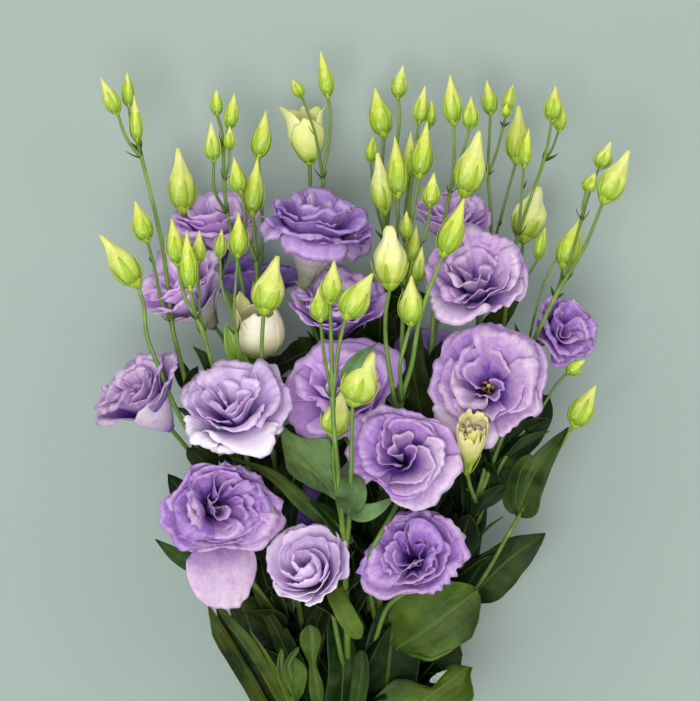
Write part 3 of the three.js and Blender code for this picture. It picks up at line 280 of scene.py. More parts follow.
ROSE = dict(
    outer=[(0.08, 0.0), (0.3, 0.22), (0.6, 0.48), (0.88, 0.7), (1.04, 0.8), (1.1, 0.75)],
    mid=[(0.07, 0.02), (0.26, 0.26), (0.54, 0.56), (0.77, 0.84), (0.86, 0.99), (0.88, 1.03)],
    inner=[(0.06, 0.04), (0.2, 0.28), (0.40, 0.58), (0.55, 0.88), (0.56, 1.06), (0.53, 1.12)],
    core=[(0.05, 0.06), (0.14, 0.32), (0.25, 0.62), (0.32, 0.9), (0.29, 1.08), (0.22, 1.13)],
)


def flower(geo, base, face, R, kind="open", seed=1, roll=0.0, detail=1.0, tone=0.5, cut=(), ruffle=1.0, plan=None, wild=1.0, extra=None, outline=None, painted_lit_side=(-90, 0.15)):
    """A double flower: whorls of ruffled petals round a dark throat. plan says how many petals each whorl has."""
    rng = np.random.default_rng(seed)
    base = np.array(base, float); axis = np.array(face, float) - base
    D = np.linalg.norm(axis); B = basis(axis, roll)
    form = {"open": OPEN, "side": SIDE, "rose": ROSE, "cream": ROSE, "back": OPEN}[kind]
    g = lambda a, b: (max(11, int(round(a * detail))), max(8, int(round(b * detail))))
    rose = kind in ("rose", "cream")
    start = rng.uniform(0, 2 * math.pi)
    reach = reach_of(B, R, outline) if outline else None
    lit = np.array([math.cos(math.radians(painted_lit_side[0])), math.sin(math.radians(painted_lit_side[0])), 0.0])
    plan = plan or ((5, 5, 3, 2) if not rose else (5, 5, 4, 3))
    if rose:
        whorls = [
            ("outer", 47, g(33, 14), dict(wave=0.045, waves=1.4, ruffle=0.022, frill=0.010, spiral=0.05, point=0.10, cup=-0.03)),
            ("mid", 60, g(33, 13), dict(wave=0.030, waves=1.4, ruffle=0.020, frill=0.010, spiral=0.09, point=0.10, cup=0.02)),
            ("inner", 66, g(29, 13), dict(wave=0.030, waves=1.4, ruffle=0.020, frill=0.010, spiral=0.10, point=0.12, cup=0.03)),
            ("core", 78, g(25, 12), dict(wave=0.025, waves=1.3, ruffle=0.015, frill=0.008, spiral=0.08, point=0.16, cup=0.02)),
        ]
    else:
        whorls = [
            ("outer", 50, g(49, 15), dict(wave=0.062, waves=1.4, ruffle=0.034, frill=0.013, spiral=0.05, point=0.08, cup=-0.02)),
            ("mid", 54, g(49, 14), dict(wave=0.072, waves=1.5, ruffle=0.036, frill=0.020, spiral=0.08, point=0.08, cup=0.02)),
            ("inner", 74, g(49, 14), dict(wave=0.080, waves=1.7, ruffle=0.036, frill=0.018, spiral=0.11, point=0.10, cup=0.02)),
            ("core", 88, g(39, 12), dict(wave=0.070, waves=1.8, ruffle=0.034, frill=0.014, spiral=0.09, point=0.12, cup=0.02)),
        ]
    for wi, (nm, half, size, o) in enumerate(whorls):
        n = plan[wi]
        off = start + wi * 0.62 + rng.uniform(-0.15, 0.15)
        for i in range(n):
            f = rng.uniform(size=12)
            if (nm, i) in cut:
                continue
            o2 = dict(o)
            o2["wave"] = ruffle * o["wave"] * (0.5 + 1.0 * f[0]); o2["waves"] = o["waves"] * (0.75 + 0.5 * f[1])
            o2["ruffle"] = ruffle * o["ruffle"] * (0.6 + 0.8 * f[8]); o2["cup"] = o["cup"] + ((0, 0.08, 0.10, 0.06)[wi] * (f[9] - 0.45) * wild if wi >= 1 and not rose else 0)
            o2["frill"] = 1.3 * o["frill"]
            curl = (-0.05, -0.06, -0.03, 0.02)[wi] * (f[2] + 0.2) if not rose else (-0.12, -0.05, 0.0, 0.0)[wi] * f[2]
            t0, t1 = ((-0.08, 0.10), (-0.10, 0.12), (-0.13, 0.14), (-0.1, 0.1))[wi] if not rose else ((-0.06, 0.06),) * 4 and ((-0.06, 0.06), (-0.04, 0.05), (-0.04, 0.04), (-0.03, 0.03))[wi]
            az = off + i * 2 * math.pi / n + 0.34 * wild * (f[3] - 0.5)
            # petals that face the lit side get a higher tone and so a paler colour, and where that side is strong they
            # take the paler material in slot 2: painted light on that side of the flower
            light = painted_lit_side[1] * max(0.0, float((math.cos(az) * B[0] + math.sin(az) * B[1]) @ lit)) * (1.0, 0.8, 0.4, 0.2)[wi]
            petal(geo, B, base, R, D, form[nm], az, math.radians(half) * (0.86 + 0.28 * f[4]) * (5 / n if n > 5 else 1), rng, size=size,
                  length=0.90 + 0.16 * f[5], reach=reach, tone=float(np.clip(tone + light + 0.30 * (f[6] - 0.5) + 0.03 * wi, 0, 1)), tilt=wild * (t0 + (t1 - t0) * f[7]), curl=curl,
                  dent=(0.05, 0.12, 0.20, 0.10)[wi] * f[10] ** 2 * (0.3 if rose else 1.0), thick=0.42, lean=0.18 * wild * (f[11] - 0.5), mat=2 if painted_lit_side[1] > 0.55 and light > 0.36 else 0, **o2)
    # single petals set one by one: form, the way they point on the table, half angle
    for (nm, heading, half, o) in (extra or ()):
        q = dict(size=g(37, 17), tone=tone); q.update(o); sc = q.pop("scale", 1.0)
        w = np.array([math.cos(math.radians(heading)), math.sin(math.radians(heading)), 0.0])
        petal(geo, B, base, R * sc, D, form[nm] if isinstance(nm, str) else nm, math.atan2(B[1] @ w, B[0] @ w), math.radians(half), rng, **q)
    return B, D


def sepals(geo, B, base, R, length, n=5, width=1.3, r0=2.3, mat=1, tone=0.5, seed=0, flare=0.25, prof=None):
    """Narrow green sepals standing round the foot of the tube."""
    rng = np.random.default_rng(seed + 77)
    for k in range(n):
        a = 2 * math.pi * (k + 0.5) / n + rng.uniform(-0.15, 0.15); Lk = length * rng.uniform(0.85, 1.1)
        t = np.linspace(0, 1, 9)[:, None]; s = np.linspace(-1, 1, 5)[None, :]
        if prof is None:
            r = r0 + flare * Lk * t ** 1.6
            h = Lk * t * 0.96
        else:
            r, h = prof(t * Lk)
        w = width * (0.55 + 0.9 * t) * (1 - t) ** 0.75 + 0.12
        ang = a + s * w / np.maximum(r, 0.6)
        X = np.stack([r * np.cos(ang), r * np.sin(ang), np.broadcast_to(h, ang.shape) + 0.25 * np.abs(s) * w * 0], -1)
        X[..., 0] += 0.28 * np.cos(a); X[..., 1] += 0.28 * np.sin(a)
        P = base + X @ B
        sheet(geo, P, np.stack(np.broadcast_arrays(s, t, np.array(tone)), -1), 0.35, mat)


def stamens_of(geo, B, base, D, seed, mats=(2, 3), n=5, high=0.8, spread=2.8, lean=(0, 0)):
    rng = np.random.default_rng(seed + 5)
    for k in range(n):
        a = 2 * math.pi * k / n + rng.uniform(-0.2, 0.2); r = spread * rng.uniform(0.8, 1.15)
        top = np.array([r * math.cos(a) + lean[0], r * math.sin(a) + lean[1], D * high * rng.uniform(0.94, 1.04)])
        C = crom(np.array([[0.8 * math.cos(a), 0.8 * math.sin(a), D * 0.3], [r * 0.6 * math.cos(a), r * 0.6 * math.sin(a), D * 0.55], top]), 4)
        tube(geo, base + C @ B, 0.28, 6, mats[0], 0.4)
        d = np.array([math.cos(a + 1.2), math.sin(a + 1.2), 0.5]); d /= np.linalg.norm(d)
        t = np.linspace(-1, 1, 7)
        C = top + d[None, :] * (t * 1.9)[:, None]
        tube(geo, base + C @ B, 0.78 * np.sqrt(np.maximum(1 - t ** 2, 0.05)), 8, mats[1], rng.uniform(0.3, 0.8))
    t = np.linspace(0, 1, 8)
    C = np.stack([lean[0] * t, lean[1] * t, D * (0.25 + (high - 0.17) * t)], 1)
    tube(geo, base + C @ B, 0.75 + 0.5 * smooth(t, 0.75, 0.95), 8, mats[0], 0.7)


# ------------------------------------------------------------------ buds
def bud_radius(t, kind):
    tab = {
        "tight": ([0, 0.05, 0.14, 0.3, 0.45, 0.62, 0.78, 0.9, 1.0], [0.25, 0.55, 0.85, 1.0, 0.93, 0.66, 0.38, 0.2, 0.07]),
        "small": ([0, 0.06, 0.18, 0.36, 0.55, 0.74, 0.9, 1.0], [0.3, 0.6, 0.9, 1.0, 0.85, 0.5, 0.24, 0.09]),
        "big": ([0, 0.05, 0.13, 0.28, 0.45, 0.60, 0.74, 0.88, 1.0], [0.22, 0.48, 0.8, 1.0, 0.95, 0.72, 0.44, 0.27, 0.13]),
        "cream": ([0, 0.05, 0.14, 0.34, 0.54, 0.68, 0.80, 0.91, 1.0], [0.2, 0.45, 0.76, 1.0, 0.97, 0.70, 0.45, 0.36, 0.20]),
    }[kind if kind in ("tight", "small", "big", "cream") else "cream"]
    x, y = tab
    P = crom(np.stack([x, y], 1), 6)
    return np.interp(t, P[:, 0], P[:, 1])


def bud(geo, base, tip, W, kind="tight", seed=0, roll=0.0, tone=0.5, mats=(0, 1)):
    """A closed bud: petals wound round each other to a point, held by five narrow sepals."""
    rng = np.random.default_rng(seed + 11)
    base = np.array(base, float); axis = np.array(tip, float) - base; L = np.linalg.norm(axis)
    B = basis(axis, rng.uniform(0, 6.28) if roll == 0 else roll)
    nt, na = (26, 30) if kind in ("big", "cream") else (22, 25)
    t = np.linspace(0, 1, nt)[:, None]; a = (np.arange(na) / na * 2 * math.pi)[None, :]
    turn = rng.uniform(0.9, 1.9) * (1 if rng.uniform() < 0.85 else -1)
    psi = (a - turn * t ** 1.3) * 5 / (2 * math.pi); fr = psi - np.floor(psi)
    step = np.where(fr < 0.84, fr / 0.84, (1 - fr) / 0.16) - 0.5
    depth = {"tight": 0.09, "small": 0.06, "big": 0.12, "cream": 0.15}.get(kind, 0.14)
    r = W * bud_radius(t, kind) * (1 + depth * smooth(t, 0.1, 0.4) * step) * (1 + 0.05 * np.sin(2 * a + rng.uniform(0, 6)))
    # the wound tips are a little ragged
    r = r * (1 + (0.10 if kind in ("big", "cream") else 0.05) * smooth(t, 0.6, 0.95) * np.sin(3 * a + 9 * t + rng.uniform(0, 6)))
    r = np.maximum(r, 0.16)
    bend = rng.uniform(-0.05, 0.05, 2) * L
    cx, cy = bend[0] * t ** 2, bend[1] * t ** 2
    X = np.stack([r * np.cos(a) + cx, r * np.sin(a) + cy, np.broadcast_to(t * L, r.shape)], -1)
    P = base + X @ B
    A = np.stack(np.broadcast_arrays(step * 2, t, np.array(tone)), -1)
    b0 = geo.n
    geo.add(P, grid_faces(nt, na, True), A, mats[0])
    for e, d in ((0, 1), (nt - 1, -1)):
        c = P[e].mean(0)
        j = np.arange(na); k = (j + 1) % na
        F = np.stack([k, j, np.full(na, -1)], 1) if d == 1 else np.stack([j, k, np.full(na, -1)], 1)
        F = np.where(F < 0, geo.n, F + b0 + e * na)
        geo.V.append(c[None, :]); geo.A.append(np.array([[0.0, float(e > 0), tone]])); geo.n += 1
        geo.T.append(F); geo.TM.append(np.full(len(F), mats[0]))
    frac = {"tight": 0.62, "small": 0.8, "big": 0.5, "cream": 0.42}.get(kind, 0.45)

    def prof(x):
        tt = x / L
        free = smooth(x / (frac * L), 0.55, 1.0)
        return W * bud_radius(tt, kind) * (1.04 + 0.05 * free) + 0.2 + 0.22 * free, x * 0.99
    sepals(geo, B, base, W, frac * L, 5, width=0.22 * W + 0.22, mat=mats[1], tone=tone, seed=seed, prof=prof)
    # the receptacle
    t2 = np.linspace(0, 1, 7)
    C = np.stack([0 * t2, 0 * t2, -0.06 * L + 0.14 * L * t2], 1)
    tube(geo, base + C @ B, W * np.interp(t2, [0, 0.4, 0.8, 1], [0.2, 0.42, 0.62, 0.45]), 10, mats[1], tone)


def half_open(geo, base, tip, W, seed, tone, mats=(0, 1), tips=0.34, rings=((5, 1.0, 52), (4, 0.74, 52)), flare=0.8, dried=None, foot=True):
    """A bud whose petals have begun to part: a few blades round a narrow mouth. dried adds withered ends round the mouth."""
    rng = np.random.default_rng(seed + 21)
    base = np.array(base, float); axis = np.array(tip, float) - base; L = np.linalg.norm(axis); B = basis(axis, rng.uniform(0, 6.28))
    for ring, (k, sc, half) in enumerate(rings):
        for i in range(k):
            form = [(0.12, 0.0), (0.55, 0.12), (0.92, 0.34), (1.0, 0.58), (0.9 * flare / 0.8, 0.8), (0.66 if ring else flare, 1.0)]
            form = [(a * sc, b) for a, b in form]
            petal(geo, B, base, W, L, form, 2 * math.pi * (i + 0.4 * ring) / k + rng.uniform(-0.1, 0.1), math.radians(half), rng, size=(17, 17), length=rng.uniform(0.84, 1.02),
                  wave=0.05, waves=1.8, frill=0.015, spiral=0.07, point=tips, cup=0.02, tone=np.clip(tone + rng.uniform(-0.15, 0.15), 0, 1), thick=0.45, mat=mats[0], narrow=0.8)
    if dried is not None:
        for i in range(8):
            form = [(0.42, 0.45), (0.66, 0.66), (0.74, 0.84), (0.74 + 0.2 * rng.uniform(), 0.98), (0.8 + 0.4 * rng.uniform(), 1.05 + 0.16 * rng.uniform())]
            petal(geo, B, base, W, L, form, 2 * math.pi * i / 8 + rng.uniform(-0.3, 0.3), math.radians(27), rng, size=(19, 19), length=rng.uniform(0.8, 1.05),
                  wave=0.14, waves=2.6, ruffle=0.12, frill=0.07, spiral=0.14, point=0.25, cup=0.1, tone=rng.uniform(0.2, 0.9), thick=0.4, mat=dried, narrow=0.9, curl=rng.uniform(-0.3, 0.3))
    if not foot:
        return
    calyx(geo, B, base, L, W, seed, mats)


def calyx(geo, B, base, L, W, seed, mats=(0, 1)):
    def prof(x):
        tt = x / L
        return W * np.interp(tt, [0, 0.12, 0.34, 0.58], [0.2, 0.6, 0.98, 1.06]) + 0.4, x * 0.99
    sepals(geo, B, base, W, 0.42 * L, 5, width=0.16 * W + 0.3, mat=mats[1], tone=0.5, seed=seed, prof=prof)
    t2 = np.linspace(0, 1, 7)
    C = np.stack([0 * t2, 0 * t2, -0.05 * L + 0.1 * L * t2], 1)
    tube(geo, base + C @ B, W * np.interp(t2, [0, 0.4, 0.8, 1], [0.14, 0.26, 0.3, 0.2]), 10, mats[1], 0.5)


# ------------------------------------------------------------------ leaves
LEAF_SHAPE = crom(np.array([[0, 0.24], [0.06, 0.5], [0.16, 0.8], [0.32, 1.0], [0.5, 0.97], [0.68, 0.79], [0.84, 0.47], [0.94, 0.2], [1.0, 0.02]]), 6)
LANCE_SHAPE = crom(np.array([[0, 0.4], [0.1, 0.75], [0.28, 1.0], [0.5, 0.88], [0.7, 0.58], [0.88, 0.25], [1.0, 0.02]]), 6)
ROUND_SHAPE = crom(np.array([[0, 0.2], [0.1, 0.55], [0.3, 0.86], [0.55, 1.0], [0.78, 0.9], [0.92, 0.6], [1.0, 0.1]]), 6)

SPOON_SHAPE = crom(np.array([[0, 0.3], [0.32, 0.32], [0.44, 0.42], [0.53, 0.62], [0.62, 0.66], [0.70, 0.48], [0.77, 0.34], [0.84, 0.66], [0.91, 1.0], [0.97, 0.82], [1.0, 0.2]]), 6)
STRAP_SHAPE = crom(np.array([[0, 0.7], [0.3, 0.95], [0.6, 1.0], [0.85, 0.95], [0.96, 0.7], [1.0, 0.2]]), 6)
HEART_SHAPE = crom(np.array([[0, 0.35], [0.04, 0.72], [0.12, 0.97], [0.24, 1.0], [0.42, 0.8], [0.62, 0.56], [0.82, 0.32], [0.94, 0.14], [1.0, 0.02]]), 6)


def leaf(geo, path, w, roll=0.0, fold=12.0, seed=0, size=(13, 26), shape=None, wave=0.06, tone=0.5, thick=0.6, mat=0, curl=0.0, normal=(0, 0, 1), twist=0.0, rumple=0.0):
    """A blade along its midrib. shape gives the half width in parts of w; a third column gives the left half its own."""
    rng = np.random.default_rng(seed + 31)
    shape = LEAF_SHAPE if shape is None else shape
    ns, nv = size
    C = even(crom(np.array(path, float), 8), nv)
    T = np.gradient(C, axis=0); T /= np.linalg.norm(T, axis=1, keepdims=True)
    n0 = np.array(normal, float)
    N = n0 - T * (T @ n0)[:, None]; N /= np.maximum(np.linalg.norm(N, axis=1, keepdims=True), 1e-6)
    v = np.linspace(0, 1, nv)
    ang = np.radians(roll + twist * v)
    S = np.cross(T, N)
    Nr = N * np.cos(ang)[:, None] + S * np.sin(ang)[:, None]
    S = np.cross(T, Nr)
    s = np.linspace(-1, 1, ns)
    wv = np.maximum(np.interp(v, shape[:, 0], shape[:, 1]) * w, 0.12)[:, None]
    if shape.shape[1] > 2:
        wl = np.maximum(np.interp(v, shape[:, 0], shape[:, 2]) * w, 0.12)[:, None]
        wv = np.where(s[None, :] < 0, wl, wv)
    ph = rng.uniform(0, 6.28, 4)
    # sides lift as a shallow trough, then the margins turn and wave a little
    f = math.tan(math.radians(fold))
    lift = f * np.abs(s)[None, :] * wv * (1 - 0.35 * np.abs(s)[None, :])
    lift = lift + w * wave * np.abs(s)[None, :] ** 2 * np.sin(9 * v[:, None] + ph[0] + np.sign(s)[None, :] * ph[1])
    lift = lift - curl * w * smooth(np.abs(s)[None, :], 0.45, 1.0) * np.sin(math.pi * v)[:, None]
    lift = lift - 0.02 * w * np.exp(-(s / 0.07) ** 2)[None, :] + 0.012 * w * np.cos(3 * math.pi * np.abs(s))[None, :]
    q = s[None, :] * wv / w
    lift = lift + rumple * w * smooth(np.abs(s)[None, :], 0.0, 0.3) * (0.05 * np.sin(9 * q + 7 * v[:, None] + ph[0]) * np.sin(13 * v[:, None] + ph[3]) + 0.035 * np.sin(19 * q - 8 * v[:, None] + ph[1]) * np.cos(21 * v[:, None] + ph[2]))
    side = s[None, :] * wv * (1 + 0.02 * np.sin(23 * v[:, None] + ph[2]))
    P = C[:, None, :] + S[:, None, :] * side[..., None] + Nr[:, None, :] * lift[..., None]
    A = np.stack(np.broadcast_arrays(s[None, :], v[:, None], np.array(tone)), -1)
    sheet(geo, P, A, thick, mat)
    return P


# ------------------------------------------------------------------ materials
def srgb(r, g, b):
    f = lambda c: ((c / 255 + 0.055) / 1.055) ** 2.4 if c / 255 > 0.04045 else c / 255 / 12.92
    return (f(r), f(g), f(b), 1.0)


class Nodes:
    def __init__(self, name):
        self.m = bpy.data.materials.new(name); self.m.use_nodes = True
        self.t = self.m.node_tree; self.t.nodes.clear()
        self.out = self.new("ShaderNodeOutputMaterial")

    def new(self, kind, **k):
        n = self.t.nodes.new(kind)
        for a, b in k.items():
            setattr(n, a, b)
        return n

    def link(self, a, b):
        self.t.links.new(a, b)

    def val(self, sock, v):
        if isinstance(v, bpy.types.NodeSocket):
            self.link(v, sock)
        else:
            sock.default_value = v

    def math(self, op, a, b=0.0, c=0.0, clamp=False):
        n = self.new("ShaderNodeMath", operation=op, use_clamp=clamp)
        self.val(n.inputs[0], a); self.val(n.inputs[1], b)
        if len(n.inputs) > 2:
            self.val(n.inputs[2], c)
        return n.outputs[0]

    def ramp(self, fac, stops, mode="EASE"):
        n = self.new("ShaderNodeValToRGB"); n.color_ramp.interpolation = mode
        e = n.color_ramp.elements
        e[0].position, e[0].color = stops[0][0], stops[0][1]
        e[1].position, e[1].color = stops[-1][0], stops[-1][1]
        for p, c in stops[1:-1]:
            k = e.new(p); k.color = c
        self.link(fac, n.inputs[0]); return n.outputs[0]

    def grey(self, fac, stops, mode="LINEAR"):
        return self.ramp(fac, [(p, (v, v, v, 1)) for p, v in stops], mode)

    def mix(self, fac, a, b, how="MIX"):
        n = self.new("ShaderNodeMix", data_type="RGBA", blend_type=how, clamp_factor=True)
        self.val(n.inputs[0], fac); self.val(n.inputs[6], a); self.val(n.inputs[7], b)
        return n.outputs[2]

    def noise(self, vec, scale, detail=3.0, rough=0.5, dist=0.0):
        n = self.new("ShaderNodeTexNoise"); self.link(vec, n.inputs["Vector"])
        n.inputs["Scale"].default_value = scale; n.inputs["Detail"].default_value = detail
        n.inputs["Roughness"].default_value = rough; n.inputs["Distortion"].default_value = dist
        return n.outputs["Fac"]

    def pst(self):
        a = self.new("ShaderNodeAttribute", attribute_type="GEOMETRY", attribute_name="pst")
        s = self.new("ShaderNodeSeparateXYZ"); self.link(a.outputs["Vector"], s.inputs[0])
        return s.outputs[0], s.outputs[1], s.outputs[2]

    def vec(self, x, y, z):
        n = self.new("ShaderNodeCombineXYZ")
        for i, v in enumerate((x, y, z)):
            self.val(n.inputs[i], v)
        return n.outputs[0]

    def bump(self, height, strength, dist):
        n = self.new("ShaderNodeBump"); n.inputs["Strength"].default_value = strength
        n.inputs["Distance"].default_value = dist; self.link(height, n.inputs["Height"])
        return n.outputs["Normal"]


def thin_shader(N, colour, through, normal=None, rough=0.6, let=0.25, sheen=0.0, spec=0.3, rough_link=None, coat=0.0):
    p = N.new("ShaderNodeBsdfPrincipled")
    N.link(colour, p.inputs["Base Color"])
    p.inputs["Roughness"].default_value = rough
    if rough_link is not None:
        N.link(rough_link, p.inputs["Roughness"])
    p.inputs["Specular IOR Level"].default_value = spec
    p.inputs["Sheen Weight"].default_value = sheen
    p.inputs["Sheen Roughness"].default_value = 0.45
    p.inputs["Coat Weight"].default_value = coat
    p.inputs["Coat Roughness"].default_value = 0.3
    if normal is not None:
        N.link(normal, p.inputs["Normal"])
    if let <= 0:
        N.link(p.outputs[0], N.out.inputs[0]); return
    t = N.new("ShaderNodeBsdfTranslucent"); N.link(through, t.inputs["Color"])
    if normal is not None:
        N.link(normal, t.inputs["Normal"])
    m = N.new("ShaderNodeMixShader"); m.inputs[0].default_value = let
    N.link(p.outputs[0], m.inputs[1]); N.link(t.outputs[0], m.inputs[2]); N.link(m.outputs[0], N.out.inputs[0])


def petal_material(name, deep, low, body, rim, pale, streak, let=0.28):
    """A petal: dark in the throat, partly its own deeper colour and partly painted shade, full colour on the blade,
    lighter at the rim as a painted highlight, with fine veins that run out from the base.
    """
    N = Nodes(name); s, v, tone = N.pst()
    co = N.new("ShaderNodeTexCoord").outputs["Object"]
    cloud = N.noise(co, 55.0, 2.0, 0.5)
    vw = N.math("ADD", v, N.math("MULTIPLY", N.math("SUBTRACT", cloud, 0.5), 0.22))
    # from the throat to the rim: the dark throat is partly the flower's own deeper violet and partly painted shade, the
    # lighter rim is a painted highlight
    base = N.ramp(vw, [(0.0, deep), (0.27, deep), (0.50, low), (0.72, body), (0.90, body), (1.0, rim)])
    # veins fan out along the petal
    fan = N.math("MULTIPLY", s, N.math("ADD", 1.0, N.math("MULTIPLY", v, 0.35)))
    veins = N.noise(N.vec(N.math("MULTIPLY", fan, 9.0), N.math("MULTIPLY", v, 1.1), N.math("MULTIPLY", tone, 37.0)), 1.0, 3.0, 0.6, 0.25)
    vm = N.grey(veins, [(0.40, 0.0), (0.62, 1.0)])
    c = N.mix(N.math("MULTIPLY", vm, 0.22), base, streak, "MIX")
    thread = N.noise(N.vec(N.math("MULTIPLY", fan, 30.0), N.math("MULTIPLY", v, 1.3), N.math("MULTIPLY", tone, 11.0)), 1.0, 2.0, 0.6)
    c = N.mix(N.math("MULTIPLY", N.grey(thread, [(0.48, 0.0), (0.66, 1.0)]), 0.20), c, streak)
    # some petals are paler than others, most of all at the rim: their tone differs at random and is raised on a
    # flower's lit side as painted light
    pw = N.math("MULTIPLY", N.grey(tone, [(0.35, 0.0), (1.0, 1.0)]), N.grey(v, [(0.35, 0.0), (0.85, 1.0)]))
    c = N.mix(N.math("MULTIPLY", pw, 0.8), c, pale)
    c = N.mix(N.math("MULTIPLY", N.grey(tone, [(0.0, 1.0), (0.48, 0.0)]), 0.62), c, low)
    blot = N.noise(co, 190.0, 3.0, 0.6)
    c = N.mix(N.math("MULTIPLY", N.grey(blot, [(0.48, 0.0), (0.72, 1.0)]), 0.20), c, pale)
    c = N.mix(N.math("MULTIPLY", N.grey(blot, [(0.30, 1.0), (0.50, 0.0)]), 0.22), c, streak)
    fine = N.noise(co, 520.0, 2.0, 0.6)
    c = N.mix(N.math("MULTIPLY", N.grey(fine, [(0.50, 0.0), (0.70, 1.0)]), 0.12), c, pale)
    c = N.mix(N.math("MULTIPLY", N.grey(fine, [(0.32, 1.0), (0.50, 0.0)]), 0.14), c, streak)
    # a line of deeper colour comes and goes along the rim
    c = N.mix(N.math("MULTIPLY", N.grey(N.math("SUBTRACT", v, 0.5), [(0.60, 0.0), (0.76, 1.0)]), N.grey(cloud, [(0.35, 0.62), (0.65, 0.10)])), c, streak)
    h = N.math("ADD", N.math("MULTIPLY", veins, 0.6), N.math("MULTIPLY", fine, 0.35))
    h = N.math("ADD", h, N.math("MULTIPLY", N.noise(co, 150.0, 2.0, 0.5, 0.8), 2.4))
    nb = N.bump(h, 0.34, 0.0006)
    through = N.mix(1.0, c, (0.92, 0.66, 1.0, 1.0), "MULTIPLY")
    thin_shader(N, c, through, nb, 0.66, let, 0.04, 0.18)
    return N.m


def bud_material():
    N = Nodes("bud_skin"); s, v, tone = N.pst()
    co = N.new("ShaderNodeTexCoord").outputs["Object"]
    n = N.noise(co, 120.0, 2.0, 0.5)
    vw = N.math("ADD", v, N.math("MULTIPLY", N.math("SUBTRACT", n, 0.5), 0.15))
    green = N.ramp(vw, [(0.0, srgb(98, 138, 26)), (0.22, srgb(148, 184, 38)), (0.5, srgb(198, 211, 68)), (0.8, srgb(216, 221, 98)), (1.0, srgb(198, 207, 84))])
    cream = N.ramp(vw, [(0.0, srgb(132, 166, 44)), (0.2, srgb(196, 210, 84)), (0.5, srgb(229, 231, 146)), (0.8, srgb(237, 236, 180)), (1.0, srgb(225, 226, 138))])
    c = N.mix(N.grey(tone, [(0.3, 0.0), (0.95, 1.0)]), green, cream)
    # each overlapping edge is lighter, a painted highlight, with the fold beside it greener, a painted shade
    half = N.math("ADD", N.math("MULTIPLY", s, 0.5), 0.5)
    c = N.mix(N.grey(half, [(0.78, 0.0), (1.0, 0.40)]), c, srgb(242, 244, 170))
    c = N.mix(N.grey(half, [(0.0, 0.55), (0.22, 0.0)]), c, srgb(150, 180, 48))
    st = N.noise(N.vec(N.math("MULTIPLY", s, 3.0), N.math("MULTIPLY", v, 1.4), N.math("MULTIPLY", tone, 31.0)), 2.2, 2.0, 0.6)
    c = N.mix(N.math("MULTIPLY", N.grey(st, [(0.5, 0.0), (0.75, 1.0)]), 0.28), c, srgb(140, 178, 50))
    fleck = N.noise(co, 330.0, 3.0, 0.6)
    c = N.mix(N.math("MULTIPLY", N.grey(fleck, [(0.5, 0.0), (0.75, 1.0)]), 0.35), c, srgb(248, 248, 190))
    nb = N.bump(N.math("ADD", st, N.math("MULTIPLY", n, 0.4)), 0.3, 0.0004)
    thin_shader(N, c, c, nb, 0.46, 0.12, 0.0, 0.35)
    return N.m


def sepal_material(name="sepal", foot=(122, 158, 60), mid=(128, 172, 52), tip=(92, 132, 40), edge=(196, 214, 120), gloss=0.4):
    N = Nodes(name); s, v, tone = N.pst()
    co = N.new("ShaderNodeTexCoord").outputs["Object"]
    n = N.noise(co, 150.0, 2.0, 0.5)
    c = N.ramp(N.math("ADD", v, N.math("MULTIPLY", N.math("SUBTRACT", n, 0.5), 0.25)), [(0.0, srgb(*foot)), (0.5, srgb(*mid)), (1.0, srgb(*tip))])
    c = N.mix(N.grey(N.math("ABSOLUTE", s), [(0.55, 0.0), (1.0, 0.5)]), c, srgb(*edge))
    nb = N.bump(n, 0.3, 0.0003)
    thin_shader(N, c, c, nb, 0.45, 0.1, 0.0, gloss)
    return N.m


def stem_material():
    N = Nodes("stem"); s, v, tone = N.pst()
    co = N.new("ShaderNodeTexCoord").outputs["Object"]
    n = N.noise(co, 70.0, 3.0, 0.55); f = N.noise(co, 380.0, 2.0, 0.5)
    c = N.ramp(n, [(0.25, srgb(60, 90, 30)), (0.5, srgb(88, 118, 42)), (0.75, srgb(122, 150, 64))])
    c = N.mix(N.grey(v, [(0.55, 0.0), (1.0, 0.6)]), c, srgb(116, 144, 54))
    # a higher tone darkens the green; on shoots deep in the bunch it carries painted shade
    c = N.mix(N.math("MULTIPLY", N.grey(tone, [(0.4, 0.0), (1.0, 1.0)]), 0.5), c, srgb(72, 98, 44))
    ridge = N.noise(N.vec(N.math("MULTIPLY", s, 6.0), N.math("MULTIPLY", v, 3.0), tone), 1.5, 1.0, 0.5)
    nb = N.bump(N.math("ADD", ridge, N.math("MULTIPLY", f, 0.5)), 0.35, 0.0004)
    thin_shader(N, c, c, nb, 0.42, 0.0, 0.0, 0.4)
    return N.m


